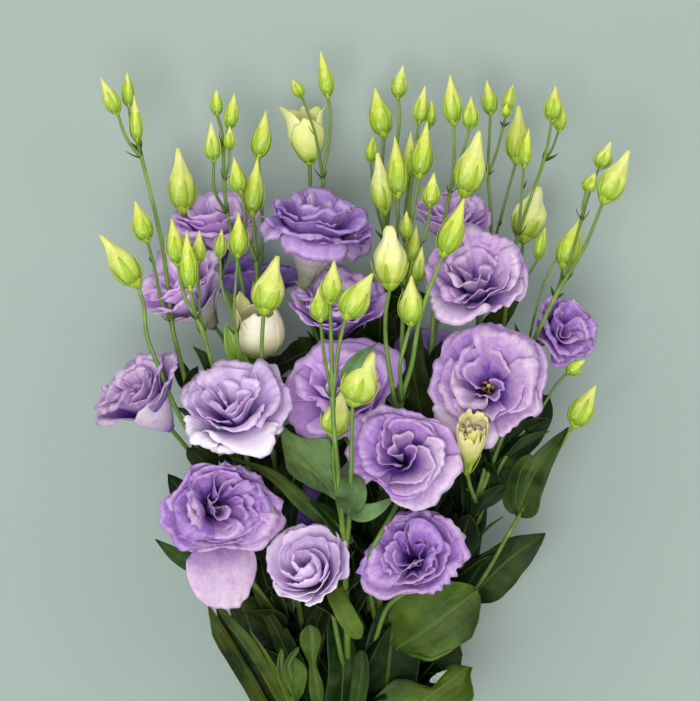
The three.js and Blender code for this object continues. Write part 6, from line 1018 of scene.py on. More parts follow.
    ["spray_centre_back", [[11, 96.6, 47], [13.1, 104.8, 50.9], [15.6, 111.6, 56.4], [18.7, 117, 62]], 6.1, [-0.37, 0.07, -0.93], 0.08],
    ["spray_centre_back", [[10.3, 96.7, 45.8], [9.1, 103.5, 43.8], [7.1, 109.4, 40.9], [4.3, 114.5, 35.9]], 4, [0.6, -0.09, 0.79], 0.07],
    ["spray_centre", [[-6.1, -138.2, 23.7], [-10.2, -122.5, 35.4], [-16.5, -108.3, 47.9], [-25, -95.7, 58.1]], 14.5, [0.86, 0.24, -0.46], 0.22],
    ["spray_centre", [[-4.3, -137.8, 22.9], [1.7, -120.6, 29.3], [10.4, -104.4, 33.7], [21.7, -89, 33.5]], 11.1, [-0.9, -0.19, 0.38], 0.26],
    ["spray_centre", [[-2.8, -102.8, 45.3], [3.7, -86.8, 50.2], [12.5, -72, 54.6], [23.4, -58.3, 55.8]], 13, [-0.99, 0.08, 0.12], 0.32],
    ["spray_centre", [[-4.7, -102.6, 45.4], [-9.8, -85.7, 51.3], [-18.3, -70.4, 56.6], [-30.2, -56.9, 58.8]], 12.8, [0.99, -0.1, -0.05], 0.25],
    ["spray_centre", [[1.7, -56.6, 57.5], [-0.4, -41.7, 62.3], [-4.8, -27.7, 67.5], [-11.4, -14.6, 71]], 9.1, [0.94, -0.06, -0.33], 0.29],
    ["spray_centre", [[3.4, -56.7, 57], [9.5, -45.6, 58.1], [17.5, -36, 58.4], [27.4, -28, 55.9]], 7.4, [-0.95, 0.07, 0.29], 0.39],
    ["spray_centre", [[8.4, -20.2, 65.7], [14.3, -12, 69.9], [21.8, -6.3, 74.6], [30.8, -3, 78.1]], 6.6, [-0.88, 0.21, -0.42], 0.18],
    ["spray_centre", [[6.9, -19.8, 65.1], [3, -8.1, 65.9], [-3.3, 2.1, 65.5], [-12, 10.7, 62.3]], 7.5, [0.94, -0.19, 0.28], 0.18],
    ["spray_centre", [[11.8, 5.3, 71.2], [15.9, 14.2, 75.6], [21.1, 21.5, 81.1], [27.4, 27.4, 85.9]], 7.3, [-0.71, 0.23, -0.66], 0.12],
    ["spray_centre", [[10.6, 5.7, 70.1], [8.3, 17.5, 69.3], [4, 28.1, 66.9], [-2.1, 37.6, 61.1]], 7.5, [0.77, -0.22, 0.59], 0.05],
    ["spray_centre", [[15.4, 40, 77.6], [13.5, 48.9, 83.1], [10.2, 55.8, 89.9], [5.4, 60.6, 96.5]], 7.5, [0.6, 0.05, -0.8], 0.33],
    ["spray_centre", [[16.1, 40.1, 76.2], [18.4, 48.8, 74.3], [21.1, 56.5, 70.6], [24.2, 63.4, 64]], 6.7, [-0.34, -0.11, 0.93], 0.26],
    ["spray_centre", [[18.5, 67, 81.1], [16.7, 73.5, 83.1], [13.6, 79.2, 85.4], [9.2, 84, 87.1]], 5.4, [0.92, -0.06, -0.39], 0.31],
    ["spray_centre", [[19.8, 66.9, 80.4], [22.7, 75.1, 79.9], [26.4, 82.7, 78.6], [31.1, 89.6, 75.3]], 5.1, [-0.78, 0.01, 0.62], 0.33],
    ["spray_centre", [[21.4, 91.3, 84.6], [20.5, 97.8, 87.9], [18.8, 103.4, 92.2], [16.3, 108, 96.5]], 5.3, [0.54, 0.07, -0.84], 0.02],
    ["spray_centre", [[22.2, 91.4, 83.5], [25.4, 98.8, 81.5], [29.3, 104.9, 78.2], [34.2, 109.6, 72.3]], 6.2, [-0.64, -0.05, 0.76], 0.33],
    ["spray_centre_front", [[0.5, -149.3, 29.7], [5.4, -133.2, 41.9], [12.3, -118.8, 54.9], [21.4, -106.2, 65.7]], 12.5, [-0.82, 0.29, -0.49], 0.22],
    ["spray_centre_front", [[-1.3, -148.8, 28.9], [-6.8, -130.2, 36.9], [-15.3, -112.5, 43.2], [-26.8, -95.6, 44.9]], 11.6, [0.95, -0.18, 0.26], 0.07],
    ["spray_centre_front", [[0.7, -120.2, 52.2], [2.6, -110.4, 67.5], [5.2, -103.4, 84], [8.5, -99.1, 98.8]], 11.7, [-0.25, 0.63, -0.73], 0.04],
    ["spray_centre_front", [[-0.2, -119, 50.8], [-3.7, -100.4, 58.9], [-9.2, -81.5, 63.6], [-16.7, -62.4, 61.9]], 15.2, [0.58, -0.54, 0.61], 0.4],
    ["spray_centre_front", [[3.7, -92.4, 68.8], [8.7, -80.8, 77.9], [15.2, -71.1, 87.8], [23.2, -63.2, 96.3]], 10.2, [-0.72, 0.37, -0.58], 0.36],
    ["spray_centre_front", [[2.1, -91.7, 67.8], [-2.3, -78.5, 70.5], [-9.3, -66.7, 71], [-19, -56.4, 67.2]], 10.1, [0.86, -0.3, 0.4], 0.03],
    ["spray_centre_front", [[6.1, -62.4, 81.5], [2.8, -49.1, 87.4], [-3, -36.9, 93], [-11.4, -25.7, 96.1]], 9.6, [0.99, -0.1, -0.09], 0.37],
    ["spray_centre_front", [[8, -62.6, 81.5], [18.3, -49.7, 87.8], [31.7, -40.4, 92.9], [47.9, -34.6, 94.2]], 11, [-0.99, 0.15, -0.03], 0.06],
    ["spray_centre_front", [[10.7, -27.2, 96.1], [7.7, -16.6, 101.5], [2.7, -7.2, 107], [-4.4, 1, 110.9]], 9.2, [0.95, 0.01, -0.3], 0.02],
    ["spray_centre_front", [[12.4, -27.3, 95.7], [20.2, -16.4, 99.1], [30.4, -8.1, 101.3], [43, -2.3, 100.2]], 7.6, [-0.99, 0.06, 0.13], 0.31],
    ["spray_centre_front", [[14.3, -1.6, 105.8], [15.8, 8.6, 113.4], [17.5, 17.3, 122.4], [19.3, 24.3, 131.2]], 9.6, [-0.1, 0.33, -0.94], 0.11],
    ["spray_centre_front", [[14.1, -1, 104.2], [14.9, 11, 105], [15.4, 22.8, 104.2], [15.7, 34.6, 100]], 8.5, [0.11, -0.33, 0.94], 0.11],
    ["spray_centre_front", [[17.4, 23.3, 113.2], [22.5, 32.9, 116.7], [29.5, 41.1, 119.9], [38.2, 47.9, 121.2]], 8.6, [-0.99, 0.11, -0.05], 0.4],
    ["spray_centre_front", [[15.8, 23.5, 113.1], [12.9, 33.6, 116.4], [8.2, 42.8, 119.2], [1.5, 51.2, 120.2]], 6.9, [1, -0.1, 0], 0.23],
    ["spray_centre_front", [[19.6, 53.3, 124.3], [20.9, 60.9, 130.4], [22.5, 67.2, 137.5], [24.2, 72.1, 144.3]], 7.5, [-0.18, 0.35, -0.92], 0.14],
    ["spray_centre_front", [[19.5, 53.8, 122.9], [20.3, 60.4, 123.5], [21, 67, 123.1], [21.9, 73.6, 120.8]], 4.8, [-0.1, -0.33, 0.94], 0.26],
    ["spray_centre_right", [[0.4, -148.9, 16.1], [-2.9, -135.3, 26.6], [-8.6, -124.8, 38.7], [-16.6, -117.5, 50]], 13.1, [0.63, 0.18, -0.76], 0.23],
    ["spray_centre_right", [[1.6, -148.5, 14.5], [7, -129.2, 15.3], [13.8, -110.8, 13.3], [22.3, -93.3, 5.7]], 14.3, [-0.58, -0.19, 0.79], 0.2],
    ["spray_centre_right", [[5.7, -115.8, 32.2], [9.3, -104.5, 45.2], [12.9, -97.1, 60.2], [16.4, -93.5, 74.7]], 10.2, [-0.13, 0.4, -0.91], 0.07],
    ["spray_centre_right", [[5.4, -115, 30.4], [6.8, -96, 29.7], [7.1, -78.1, 24.9], [6.4, -61.3, 13.2]], 14.6, [0.18, -0.4, 0.9], 0.18],
    ["spray_centre_right", [[11.4, -79.8, 41.9], [9.5, -63.3, 46.7], [4.8, -47.6, 51.7], [-2.5, -32.7, 54.3]], 11.8, [0.97, -0.15, -0.17], 0.24],
    ["spray_centre_right", [[13.3, -80.1, 41.5], [23.3, -67.2, 43.1], [35.8, -57.4, 43.2], [50.8, -50.8, 39.6]], 10.6, [-0.96, 0.13, 0.24], 0.04],
    ["spray_centre_right", [[18.5, -46.8, 50.5], [19.8, -33.9, 57.1], [20.5, -22, 65.3], [20.4, -11.2, 73.1]], 9.6, [0.31, 0.16, -0.94], 0.37],
    ["spray_centre_right", [[19.1, -46.5, 48.8], [22.4, -35, 47.9], [26.2, -24, 45.1], [30.5, -13.7, 38.8]], 8.2, [-0.35, -0.15, 0.92], 0.13],
    ["spray_centre_right", [[26.5, -5.5, 59], [32.4, 6, 64.4], [39.8, 15.6, 70.8], [48.8, 23.3, 76.3]], 7.8, [-0.78, 0.24, -0.58], 0.04],
    ["spray_centre_right", [[25.2, -5.1, 58], [24.1, 8.3, 58.6], [21.5, 21.3, 58], [17.2, 33.9, 54.4]], 9.6, [0.82, -0.24, 0.52], 0.31],
    ["spray_centre_right", [[29.6, 19.6, 64.1], [30.5, 29, 69.7], [30.8, 37.1, 76.8], [30.7, 43.8, 83.9]], 7.8, [0.18, 0.16, -0.97], 0.15],
    ["spray_centre_right", [[29.8, 19.9, 62.5], [31.5, 30.6, 61.6], [33.2, 41, 59.1], [34.9, 51, 53.5]], 6.6, [-0.05, -0.18, 0.98], 0.12],
    ["spray_centre_right", [[32.7, 45.3, 68.2], [30.2, 54.6, 70.4], [25.7, 62.9, 72.6], [19.4, 70.1, 73.5]], 6.9, [0.98, -0.11, -0.14], 0.24],
    ["spray_centre_right", [[34.2, 45.1, 68], [39.2, 55, 69.2], [45.7, 63.7, 70], [53.7, 71.4, 68.7]], 6.9, [-0.98, 0.1, 0.18], 0.11],
    ["spray_centre_right", [[37.4, 71.7, 73.3], [40.2, 77.4, 75.8], [43.9, 82.1, 79], [48.3, 85.7, 81.7]], 4.8, [-0.79, 0.19, -0.58], 0.02],
    ["spray_centre_right", [[36.2, 71.9, 72.7], [33.9, 79.3, 73], [30, 85.8, 72.7], [24.7, 91.3, 70.8]], 5.4, [0.95, -0.16, 0.26], 0.19],
    ["spray_centre_right", [[39.3, 91.1, 76.6], [41.1, 99.2, 79.7], [43.4, 106.7, 83.6], [46.1, 113.6, 87]], 5, [-0.47, 0.18, -0.86], 0.02],
    ["spray_centre_right", [[38.8, 91.4, 75.4], [38.5, 98.4, 73.5], [37.6, 104.6, 70.1], [36.2, 110, 64.3]], 4.5, [0.31, -0.17, 0.93], 0.07],
    ["spray_right_back", [[5.5, -138.2, 13.4], [7.3, -122.5, 24.9], [8.4, -109.2, 38.7], [8.8, -98.2, 52.1]], 15, [0.15, 0.28, -0.95], 0.05],
    ["spray_right_back", [[5.5, -137.6, 11.5], [6.8, -126.2, 11.9], [7.8, -114.8, 10.7], [8.6, -103.6, 6.2]], 7.9, [0.12, -0.32, 0.94], 0.18],
    ["spray_right_back", [[13.7, -96.6, 27], [11.7, -82.6, 30.4], [7.1, -69.6, 33.8], [-0.3, -57.6, 35.1]], 10.9, [0.97, -0.2, -0.12], 0.24],
    ["spray_right_back", [[15.6, -96.9, 26.8], [25.3, -85.4, 28.5], [37.1, -76.7, 29.2], [51.2, -71, 26.9]], 11.3, [-0.97, 0.2, 0.16], 0.02],
    ["spray_right_back", [[23.7, -59.3, 35.1], [26.9, -47.7, 43.4], [29.6, -38.6, 53.9], [31.8, -32, 64.5]], 10.2, [-0.01, 0.18, -0.98], 0.23],
    ["spray_right_back", [[23.9, -59, 33.3], [28.3, -44.5, 30.8], [32.8, -31, 25.5], [37.5, -18.6, 15.5]], 10.1, [-0.19, -0.13, 0.97], 0.14],
    ["spray_right_back", [[31, -27.1, 40.3], [30, -13.5, 46.4], [26.7, -1.5, 53.9], [20.9, 8.9, 60.9]], 10.8, [0.73, -0.08, -0.68], 0.01],
    ["spray_right_back", [[32.2, -27.3, 39], [40, -14.8, 36.2], [49, -4.7, 31], [59.3, 3, 21.3]], 11.2, [-0.67, 0.06, 0.74], 0.37],
    ["spray_right_back", [[41.2, 8.7, 45.7], [45.1, 18.6, 51.8], [48.9, 26.6, 59.9], [52.9, 32.7, 68]], 7.3, [-0.2, 0.18, -0.96], 0.23],
    ["spray_right_back", [[41.1, 8.9, 44.1], [43.8, 18.7, 42.4], [46.3, 28, 39.2], [48.8, 36.7, 33]], 6.9, [-0.06, -0.12, 0.99], 0.33],
    ["spray_right_back", [[47.7, 32.8, 48.7], [51.1, 39.6, 53.2], [54.9, 44.6, 59], [58.9, 48, 64.8]], 6.1, [-0.38, 0.21, -0.9], 0.32],
    ["spray_right_back", [[47.2, 33.1, 47.3], [48.5, 44.1, 43.2], [48.8, 53.5, 36.7], [48.1, 61.2, 26.2]], 8, [0.23, -0.18, 0.96], 0.07],
    ["spray_right_back", [[54.9, 63.6, 52], [54.6, 70.7, 55.5], [53.1, 76.6, 60.2], [50.5, 81.4, 64.8]], 5, [0.58, -0.07, -0.81], 0.27],
    ["spray_right_back", [[55.7, 63.5, 50.8], [59.7, 71.2, 48.6], [64.3, 77.7, 45.1], [69.4, 83.1, 38.8]], 6.2, [-0.55, 0.06, 0.84], 0.37],
    ["spray_right_back", [[61.7, 91.1, 54.5], [60.7, 98.7, 57.9], [58.4, 105.1, 62.3], [54.6, 110.3, 66.5]], 5.2, [0.69, -0.09, -0.71], 0.3],
    ["spray_right_back", [[62.6, 91, 53.5], [67.4, 98.8, 50.9], [73.1, 104.8, 46.7], [79.5, 109, 39.5]], 5.3, [-0.65, 0.08, 0.75], 0.18],
    ["spray_right", [[7, -149.2, 16.8], [8.6, -137.7, 27.5], [9.7, -129, 40.1], [10.3, -123.1, 52.4]], 11.5, [0.08, 0.33, -0.94], 0.41],
    ["spray_right", [[7, -148.5, 14.9], [8.8, -131.4, 16], [10.3, -114.5, 14.5], [11.3, -97.8, 7.9]], 10.1, [0.11, -0.35, 0.93], 0.23],
    ["spray_right", [[14.1, -114.2, 35.8], [14.6, -99.4, 48.9], [12.5, -87.2, 63.7], [8, -77.6, 77.6]], 12.7, [0.58, 0.19, -0.8], 0.2],
    ["spray_right", [[15.2, -113.7, 34.1], [21.3, -98.9, 35.8], [28.2, -84.7, 34.7], [35.8, -71, 28.7]], 11.9, [-0.44, -0.26, 0.86], 0.28],
    ["spray_right", [[23.8, -81.5, 45.6], [22.2, -67, 52.7], [17.3, -54.3, 60.7], [9.2, -43.5, 67.4]], 12.3, [0.84, -0.13, -0.52], 0.01],
    ["spray_right", [[25.4, -81.8, 44.6], [33.9, -66.7, 46.7], [44, -52.7, 47.5], [55.7, -39.9, 44.7]], 12.4, [-0.87, 0.15, 0.47], 0.4],
    ["spray_right", [[33.8, -50.6, 53.2], [35.5, -37, 59.8], [35.7, -24.3, 67.8], [34.2, -12.5, 75.1]], 10.1, [0.6, 0, -0.8], 0.16],
    ["spray_right", [[34.9, -50.7, 51.8], [42.7, -35.8, 51.5], [51.7, -22.1, 49.2], [61.9, -9.5, 42.5]], 12.3, [-0.64, 0.03, 0.77], 0.24],
    ["spray_right", [[45.9, -15.6, 60.9], [53.1, -3.8, 66.2], [61.4, 6.4, 72.5], [71, 15.1, 77.7]], 8.6, [-0.72, 0.35, -0.59], 0.28],
    ["spray_right", [[44.8, -15, 59.8], [44.7, -1.3, 58.4], [42.4, 11.4, 54.9], [38, 23.2, 47.4]], 10, [0.65, -0.35, 0.68], 0.14],
    ["spray_right", [[55.3, 14.8, 67], [62.1, 23.7, 72.1], [70.1, 30.2, 78.2], [79.1, 34.4, 83.5]], 9.4, [-0.72, 0.33, -0.61], 0.25],
    ["spray_right", [[54, 15.4, 66.1], [53.8, 26.2, 66.1], [51.9, 36.6, 64.9], [48.1, 46.5, 61.1]], 7.2, [0.8, -0.34, 0.49], 0.12],
    ["spray_right", [[65.1, 49.3, 73.2], [69.1, 56.4, 77.6], [73.4, 61.8, 83.3], [78.2, 65.7, 89]], 6.6, [-0.44, 0.26, -0.86], 0.37],
    ["spray_right", [[64.6, 49.7, 71.8], [66.1, 58.7, 69.6], [66.9, 66.9, 65.5], [66.9, 74.3, 58.3]], 5.3, [0.23, -0.22, 0.95], 0.27],
    ["spray_right", [[72, 73.4, 76.4], [76, 81.5, 78.9], [80.7, 88.9, 82], [86.2, 95.6, 84.4]], 6.8, [-0.74, 0.27, -0.61], 0.21],
    ["spray_right", [[71.1, 73.7, 75.5], [70.5, 81.8, 73.9], [68.6, 89.1, 71], [65.3, 95.5, 65.8]], 5.2, [0.67, -0.27, 0.69], 0.09],
    ["spray_right", [[76.5, 97, 78.9], [76.3, 103.7, 80.4], [75.1, 110, 82.5], [73.1, 116, 84]], 4.1, [0.82, -0.12, -0.56], 0.35],
    ["spray_right", [[77.6, 96.9, 78.2], [82.7, 104.4, 76.7], [89, 110.2, 74.3], [96.5, 114.3, 69.5]], 6.1, [-0.85, 0.13, 0.51], 0.04],
    ["spray_far_right", [[6, -143.7, 26.8], [16.3, -128.9, 37.3], [28.5, -116.1, 47.9], [42.8, -105.3, 55.7]], 11.9, [-0.88, 0.42, -0.23], 0.19],
    ["spray_far_right", [[4.2, -142.9, 26.5], [1.7, -128, 32.1], [-4.2, -114.1, 36.1], [-13.7, -101.2, 36.2]], 10.2, [0.91, -0.38, 0.14], 0.32],
    ["spray_far_right", [[17.7, -116.8, 48.2], [26.2, -109.6, 61.9], [35, -106.6, 76.3], [44.2, -107.9, 88.9]], 9.7, [-0.39, 0.64, -0.66], 0.2],
    ["spray_far_right", [[16.9, -115.5, 46.9], [20.2, -96.3, 51.7], [21.3, -76.7, 52.8], [20.1, -56.9, 47.4]], 14.4, [0.39, -0.64, 0.66], 0.03],
    ["spray_far_right", [[28, -83.6, 62.8], [24.6, -67.2, 68.9], [17, -52.8, 74.1], [5.2, -40.3, 76.1]], 12.3, [0.96, -0.27, -0.09], 0.15],
    ["spray_far_right", [[29.8, -84.1, 62.8], [39.7, -70.7, 68.6], [51.6, -59.3, 74], [65.6, -49.9, 76.5]], 10.5, [-0.95, 0.32, -0.03], 0.16],
    ["spray_far_right", [[41.3, -42.9, 77.5], [40.8, -31.6, 84.6], [37.8, -21.9, 92.8], [32.5, -13.6, 99.9]], 7.6, [0.77, -0.04, -0.64], 0.05],
    ["spray_far_right", [[42.7, -43.1, 76.5], [51.6, -29, 79], [62.2, -16.3, 79.9], [74.4, -4.8, 77]], 9.6, [-0.86, 0.12, 0.5], 0.36],
    ["spray_far_right", [[53.5, -9.7, 88.3], [56.8, 1.3, 97], [59, 10.4, 107.6], [60.2, 17.5, 118.1]], 8.8, [0.21, 0.2, -0.96], 0.15],
    ["spray_far_right", [[54, -9.5, 86.7], [59.3, 1.3, 86.4], [65, 11.4, 84.1], [71.1, 20.8, 78.3]], 8.4, [-0.41, -0.12, 0.9], 0.09],
    ["spray_far_right", [[62.5, 13, 94.5], [67.7, 21.2, 98.9], [73.5, 28.2, 104.1], [80, 34.1, 108.5]], 6.6, [-0.62, 0.41, -0.67], 0.26],
    ["spray_far_right", [[61.7, 13.6, 93.3], [62.4, 24.4, 91.6], [61.5, 34.1, 87.7], [59, 42.9, 80.2]], 7.9, [0.47, -0.39, 0.79], 0.28],
    ["spray_far_right", [[71.2, 40.4, 101.3], [70.7, 50.4, 104.8], [68.1, 59.7, 108.6], [63.4, 68.3, 111.2]], 5.9, [0.91, -0.26, -0.32], 0.02],
    ["spray_far_right", [[72.5, 40, 101], [78.6, 48.5, 103.1], [85.7, 55.9, 104.9], [94, 62.4, 105]], 7.5, [-0.94, 0.32, 0.09], 0.01],
    ["spray_far_right", [[81.1, 67.2, 107.8], [81.5, 71.8, 110], [81.2, 76, 112.8], [80.1, 79.8, 115.3]], 3.3, [0.68, -0.08, -0.73], 0.33],
    ["spray_far_right", [[82.3, 66.9, 107.1], [87.4, 73.1, 107.9], [93.4, 78.1, 108.2], [100.5, 82, 106.9]], 4.8, [-0.93, 0.27, 0.25], 0.12],
    ["spray_far_right", [[90.1, 94.3, 113.4], [93.2, 98.7, 116.5], [96.8, 101.8, 120.1], [100.9, 103.6, 123.5]], 4, [-0.63, 0.3, -0.71], 0.33],
    ["spray_far_right", [[89.2, 94.7, 112.7], [89.3, 104.3, 113.1], [88.1, 113.8, 112.6], [85.7, 123.1, 110]], 7, [0.8, -0.31, 0.51], 0.42],
    ["spray_lower_right", [[7.2, -148.4, 20.6], [4.2, -130.2, 26.3], [-2.9, -113.6, 31.4], [-14.1, -98.5, 32.9]], 12.9, [0.96, -0.28, -0.04], 0.16],
    ["spray_lower_right", [[9, -149, 20.6], [19.4, -132.4, 26.6], [31.9, -117.6, 32.4], [46.7, -104.4, 34.8]], 13.2, [-0.96, 0.29, 0.01], 0.05],
    ["spray_lower_right", [[23.3, -112.7, 38.8], [27.8, -101.4, 50.2], [31.2, -92.2, 63.3], [33.4, -85.2, 75.9]], 9.4, [0.23, 0.34, -0.91], 0.16],
    ["spray_lower_right", [[23.9, -112.2, 37.2], [32.1, -96.8, 38.5], [40.7, -82.2, 36.7], [49.8, -68.2, 29.2]], 9.5, [-0.38, -0.26, 0.89], 0.16],
    ["spray_lower_right", [[36.7, -73.4, 53.1], [36.1, -61, 59.6], [32.9, -49.7, 66.6], [27.2, -39.4, 72.3]], 8.1, [0.88, -0.14, -0.45], 0.13],
    ["spray_lower_right", [[38.2, -73.7, 52.5], [46.4, -64.8, 54.4], [56.2, -58, 55.1], [67.6, -53.3, 52.7]], 8.2, [-0.93, 0.2, 0.31], 0.11],
    ["spray_lower_right", [[51.7, -34.6, 67.9], [58.7, -23.8, 75.1], [66.8, -14.5, 83.2], [75.8, -6.9, 90.1]], 8.9, [-0.65, 0.47, -0.6], 0.17],
    ["spray_lower_right", [[50.8, -33.9, 67], [52.2, -22.7, 68.4], [52.4, -11.4, 68.5], [51.3, -0.1, 65.5]], 7.5, [0.59, -0.47, 0.66], 0.05],
    ["spray_lower_right", [[61.3, -7.4, 78.2], [66.6, 0.8, 82.5], [72.9, 8.1, 86.8], [80.2, 14.4, 89.8]], 7.3, [-0.9, 0.38, -0.22], 0.17],
    ["spray_lower_right", [[60.1, -6.9, 77.9], [60.8, 5.9, 81.7], [59.8, 18.7, 84.8], [57.1, 31.5, 85.4]], 9, [0.89, -0.38, 0.25], 0.16],
    ["spray_lower_right", [[71.8, 27, 91], [72.5, 35.3, 97.2], [71.6, 41.9, 104.7], [69, 46.9, 111.9]], 7, [0.54, 0.01, -0.84], 0.11],
    ["spray_lower_right", [[72.4, 27, 90], [77.7, 34.2, 88.9], [83.4, 40.1, 86.1], [89.6, 44.8, 80.3]], 6.1, [-0.6, 0.03, 0.8], 0.12],
    ["spray_lower_right", [[82, 48, 96.1], [89.1, 54.7, 100.7], [96.8, 59.8, 106.1], [105.2, 63.1, 110.8]], 6, [-0.62, 0.52, -0.59], 0.4],
    ["spray_lower_right", [[81.5, 48.5, 95.4], [83.3, 56.4, 94.1], [83.9, 63.9, 91.3], [83.1, 70.9, 85.8]], 6.2, [0.42, -0.46, 0.78], 0.19],
    ["spray_lower_right", [[92.5, 62.9, 101.1], [97.1, 66.3, 105], [101.4, 68.4, 109.6], [105.6, 69.1, 114.1]], 5.3, [-0.29, 0.5, -0.82], 0.24],
    ["spray_lower_right", [[92.1, 63.5, 100.4], [96.2, 72, 101.2], [99.3, 80.8, 101.1], [101.5, 90, 98.7]], 6.7, [0.52, -0.6, 0.6], 0.16],
    ["spray_front", [[-5.1, -138, 39.9], [2.4, -124, 51.5], [13.3, -112.1, 61.9], [27.7, -102.2, 68.2]], 14.4, [-1, 0.04, -0.07], 0.03],
    ["spray_front", [[-7.3, -137.9, 39.7], [-13.4, -125.9, 48], [-22.3, -115.1, 54.9], [-33.8, -105.7, 58]], 11.6, [0.99, -0.08, 0.11], 0.22],
    ["spray_front", [[-5.8, -103.3, 72.6], [-1.2, -93.8, 87.5], [5.5, -87.6, 102.8], [14.5, -84.5, 115.8]], 12.9, [-0.68, 0.47, -0.57], 0.08],
    ["spray_front", [[-7.4, -102.3, 71.5], [-11.7, -89, 78.4], [-17.9, -75.7, 83.1], [-26, -62.6, 83.4]], 9.8, [0.77, -0.4, 0.49], 0.39],
    ["spray_front", [[-6, -78.4, 91.5], [-0.8, -66, 100.3], [6.9, -54.5, 107.8], [17.3, -44, 111.8]], 12, [-0.99, -0.11, 0.11], 0.06],
    ["spray_front", [[-8.7, -44.6, 119], [-14.4, -36.5, 127.8], [-22.5, -30.6, 136], [-33, -27, 141.4]], 9.9, [0.95, 0.21, -0.24], 0.09],
    ["spray_front", [[-6.8, -44.3, 118.6], [-3.5, -34.7, 125.6], [1.5, -25.7, 131.8], [8.3, -17.1, 135.6]], 7.9, [-0.99, -0.11, 0.11], 0.2],
    ["spray_front", [[-7.3, -22.8, 136.2], [-3.6, -17.7, 141.3], [1.6, -13.9, 145.6], [8.4, -11.5, 148.1]], 5.8, [-0.98, 0.1, -0.15], 0.03],
    ["spray_front", [[-8.8, -22.3, 135.6], [-10.2, -15.3, 139.3], [-12.2, -8.1, 142.2], [-14.8, -0.8, 143.2]], 5.9, [0.65, -0.47, 0.6], 0.1],
    ["spray_front", [[-8.9, 8, 160.2], [-6.4, 15.3, 166.2], [-2.3, 21.5, 172.2], [3.4, 26.6, 176.9]], 6.5, [-0.93, 0.13, -0.35], 0.4],
    ["spray_front", [[-10.4, 8.2, 159.7], [-16.3, 18.4, 164.2], [-24.2, 27.4, 167.3], [-34.2, 35.1, 166.9]], 8, [0.95, -0.08, 0.29], 0.38],
    ["spray_front", [[-12.7, 39.5, 174.1], [-18.6, 47.8, 177.5], [-26.2, 53.9, 180.7], [-35.7, 58, 182.1]], 7.6, [0.98, 0.15, -0.14], 0.11],
    ["spray_lower_left", [[-14.1, -143, 32.6], [-21.7, -128.9, 43.4], [-32.1, -116.8, 53.8], [-45.4, -106.8, 61]], 14.3, [0.97, 0.2, -0.17], 0.1],
    ["spray_lower_left", [[-12.1, -142.5, 32.1], [-9.9, -128.3, 39.1], [-5.8, -114.2, 45.1], [0.1, -100.2, 47.7]], 9.6, [-0.9, -0.29, 0.32], 0.11],
    ["spray_lower_left", [[-19.4, -109.6, 64.7], [-26.8, -98.9, 73.8], [-35.8, -89.7, 82.9], [-46.4, -82.1, 89.6]], 10, [0.89, 0.41, -0.2], 0.16],
    ["spray_lower_left", [[-17.6, -108.9, 64.5], [-17.2, -94.7, 73], [-14.3, -80.7, 80.9], [-9.1, -66.8, 85.8]], 9.5, [-0.95, -0.3, 0.02], 0.4],
    ["spray_lower_left", [[-30.2, -78, 83.2], [-39.7, -68, 91.7], [-50.9, -60.5, 100.2], [-63.8, -55.7, 106.4]], 9.1, [0.84, 0.47, -0.28], 0.36],
    ["spray_lower_left", [[-28.7, -77.1, 82.6], [-27.4, -58.8, 86.8], [-22.3, -41.4, 88.1], [-13.5, -24.8, 83.9]], 11.5, [-0.77, -0.5, 0.4], 0.04],
    ["spray_lower_left", [[-43.4, -47.8, 99.5], [-50.8, -41.2, 108.3], [-58.1, -37.4, 118.2], [-65.4, -36.4, 127.3]], 9.1, [0.34, 0.56, -0.75], 0.08],
    ["spray_lower_left", [[-43, -46.8, 98.1], [-48.3, -34.3, 100], [-52.9, -21.5, 100], [-56.7, -8.5, 96]], 7.8, [-0.17, -0.51, 0.84], 0.29],
    ["spray_lower_left", [[-60.2, -21.2, 109.9], [-67.8, -11.3, 115.2], [-75, -2.2, 122], [-81.8, 6.1, 128.4]], 8.7, [-0.03, 0.18, -0.98], 0.12],
    ["spray_lower_left", [[-60.2, -20.9, 108.3], [-68.1, -8.5, 105.7], [-75, 3.3, 100.5], [-81, 14.6, 90.6]], 10.5, [-0.06, -0.24, 0.97], 0.06],
    ["spray_lower_left", [[-83.9, 8.9, 117.1], [-86, 12.9, 123.7], [-86.9, 15.6, 131], [-86.5, 17, 137.7]], 5.2, [-0.43, 0.3, -0.85], 0.34],
    ["spray_lower_left", [[-84.4, 9.4, 115.8], [-92.2, 19.8, 117.2], [-99.8, 29.8, 115.7], [-107.2, 39.4, 109.3]], 7.7, [0.32, -0.39, 0.86], 0.03],
    ["spray_centre_back", [[-8.1, 86.3, 53], [-16.5, 97.7, 53.7], [-26, 107.6, 52.5], [-36, 115.8, 46.3]], 9.5, [0.06, -0.03, 0.66], 0.29],
    ["spray_right_back", [[46.5, 32.4, 46.9], [46.3, 45.9, 44.3], [44.1, 58.3, 39.6], [40.1, 69, 30.1]], 9.5, [0.35, 0.17, 0.71], 0.28],
    ["spray_right", [[47.6, -4.8, 62.5], [44.7, 5.6, 65.7], [38.9, 13.9, 69.1], [30.6, 19.7, 69.8]], 6.5, [0.36, 0.11, 0.63], 0.23],
    ["spray_top_left", [[-20.8, 121.4, 54.6], [-16.1, 132.5, 54.6], [-9.1, 141.8, 54.1], [-0.3, 148.9, 50.4]], 9.6, [-0.29, 0, 0.98], 0.24],
    ["spray_right_back", [[40.4, 9, 44.5], [36.2, 22.6, 41.8], [28.5, 32.9, 37.4], [18, 39.5, 28.2]], 9.4, [0.19, -0.26, 0.57], 0.1],
    ["spray_right", [[58.3, 30.3, 68.6], [55.9, 43.3, 68.6], [50.3, 54.5, 67.4], [42.1, 63.6, 61.9]], 8.5, [0.54, -0.12, 0.87], 0.21],
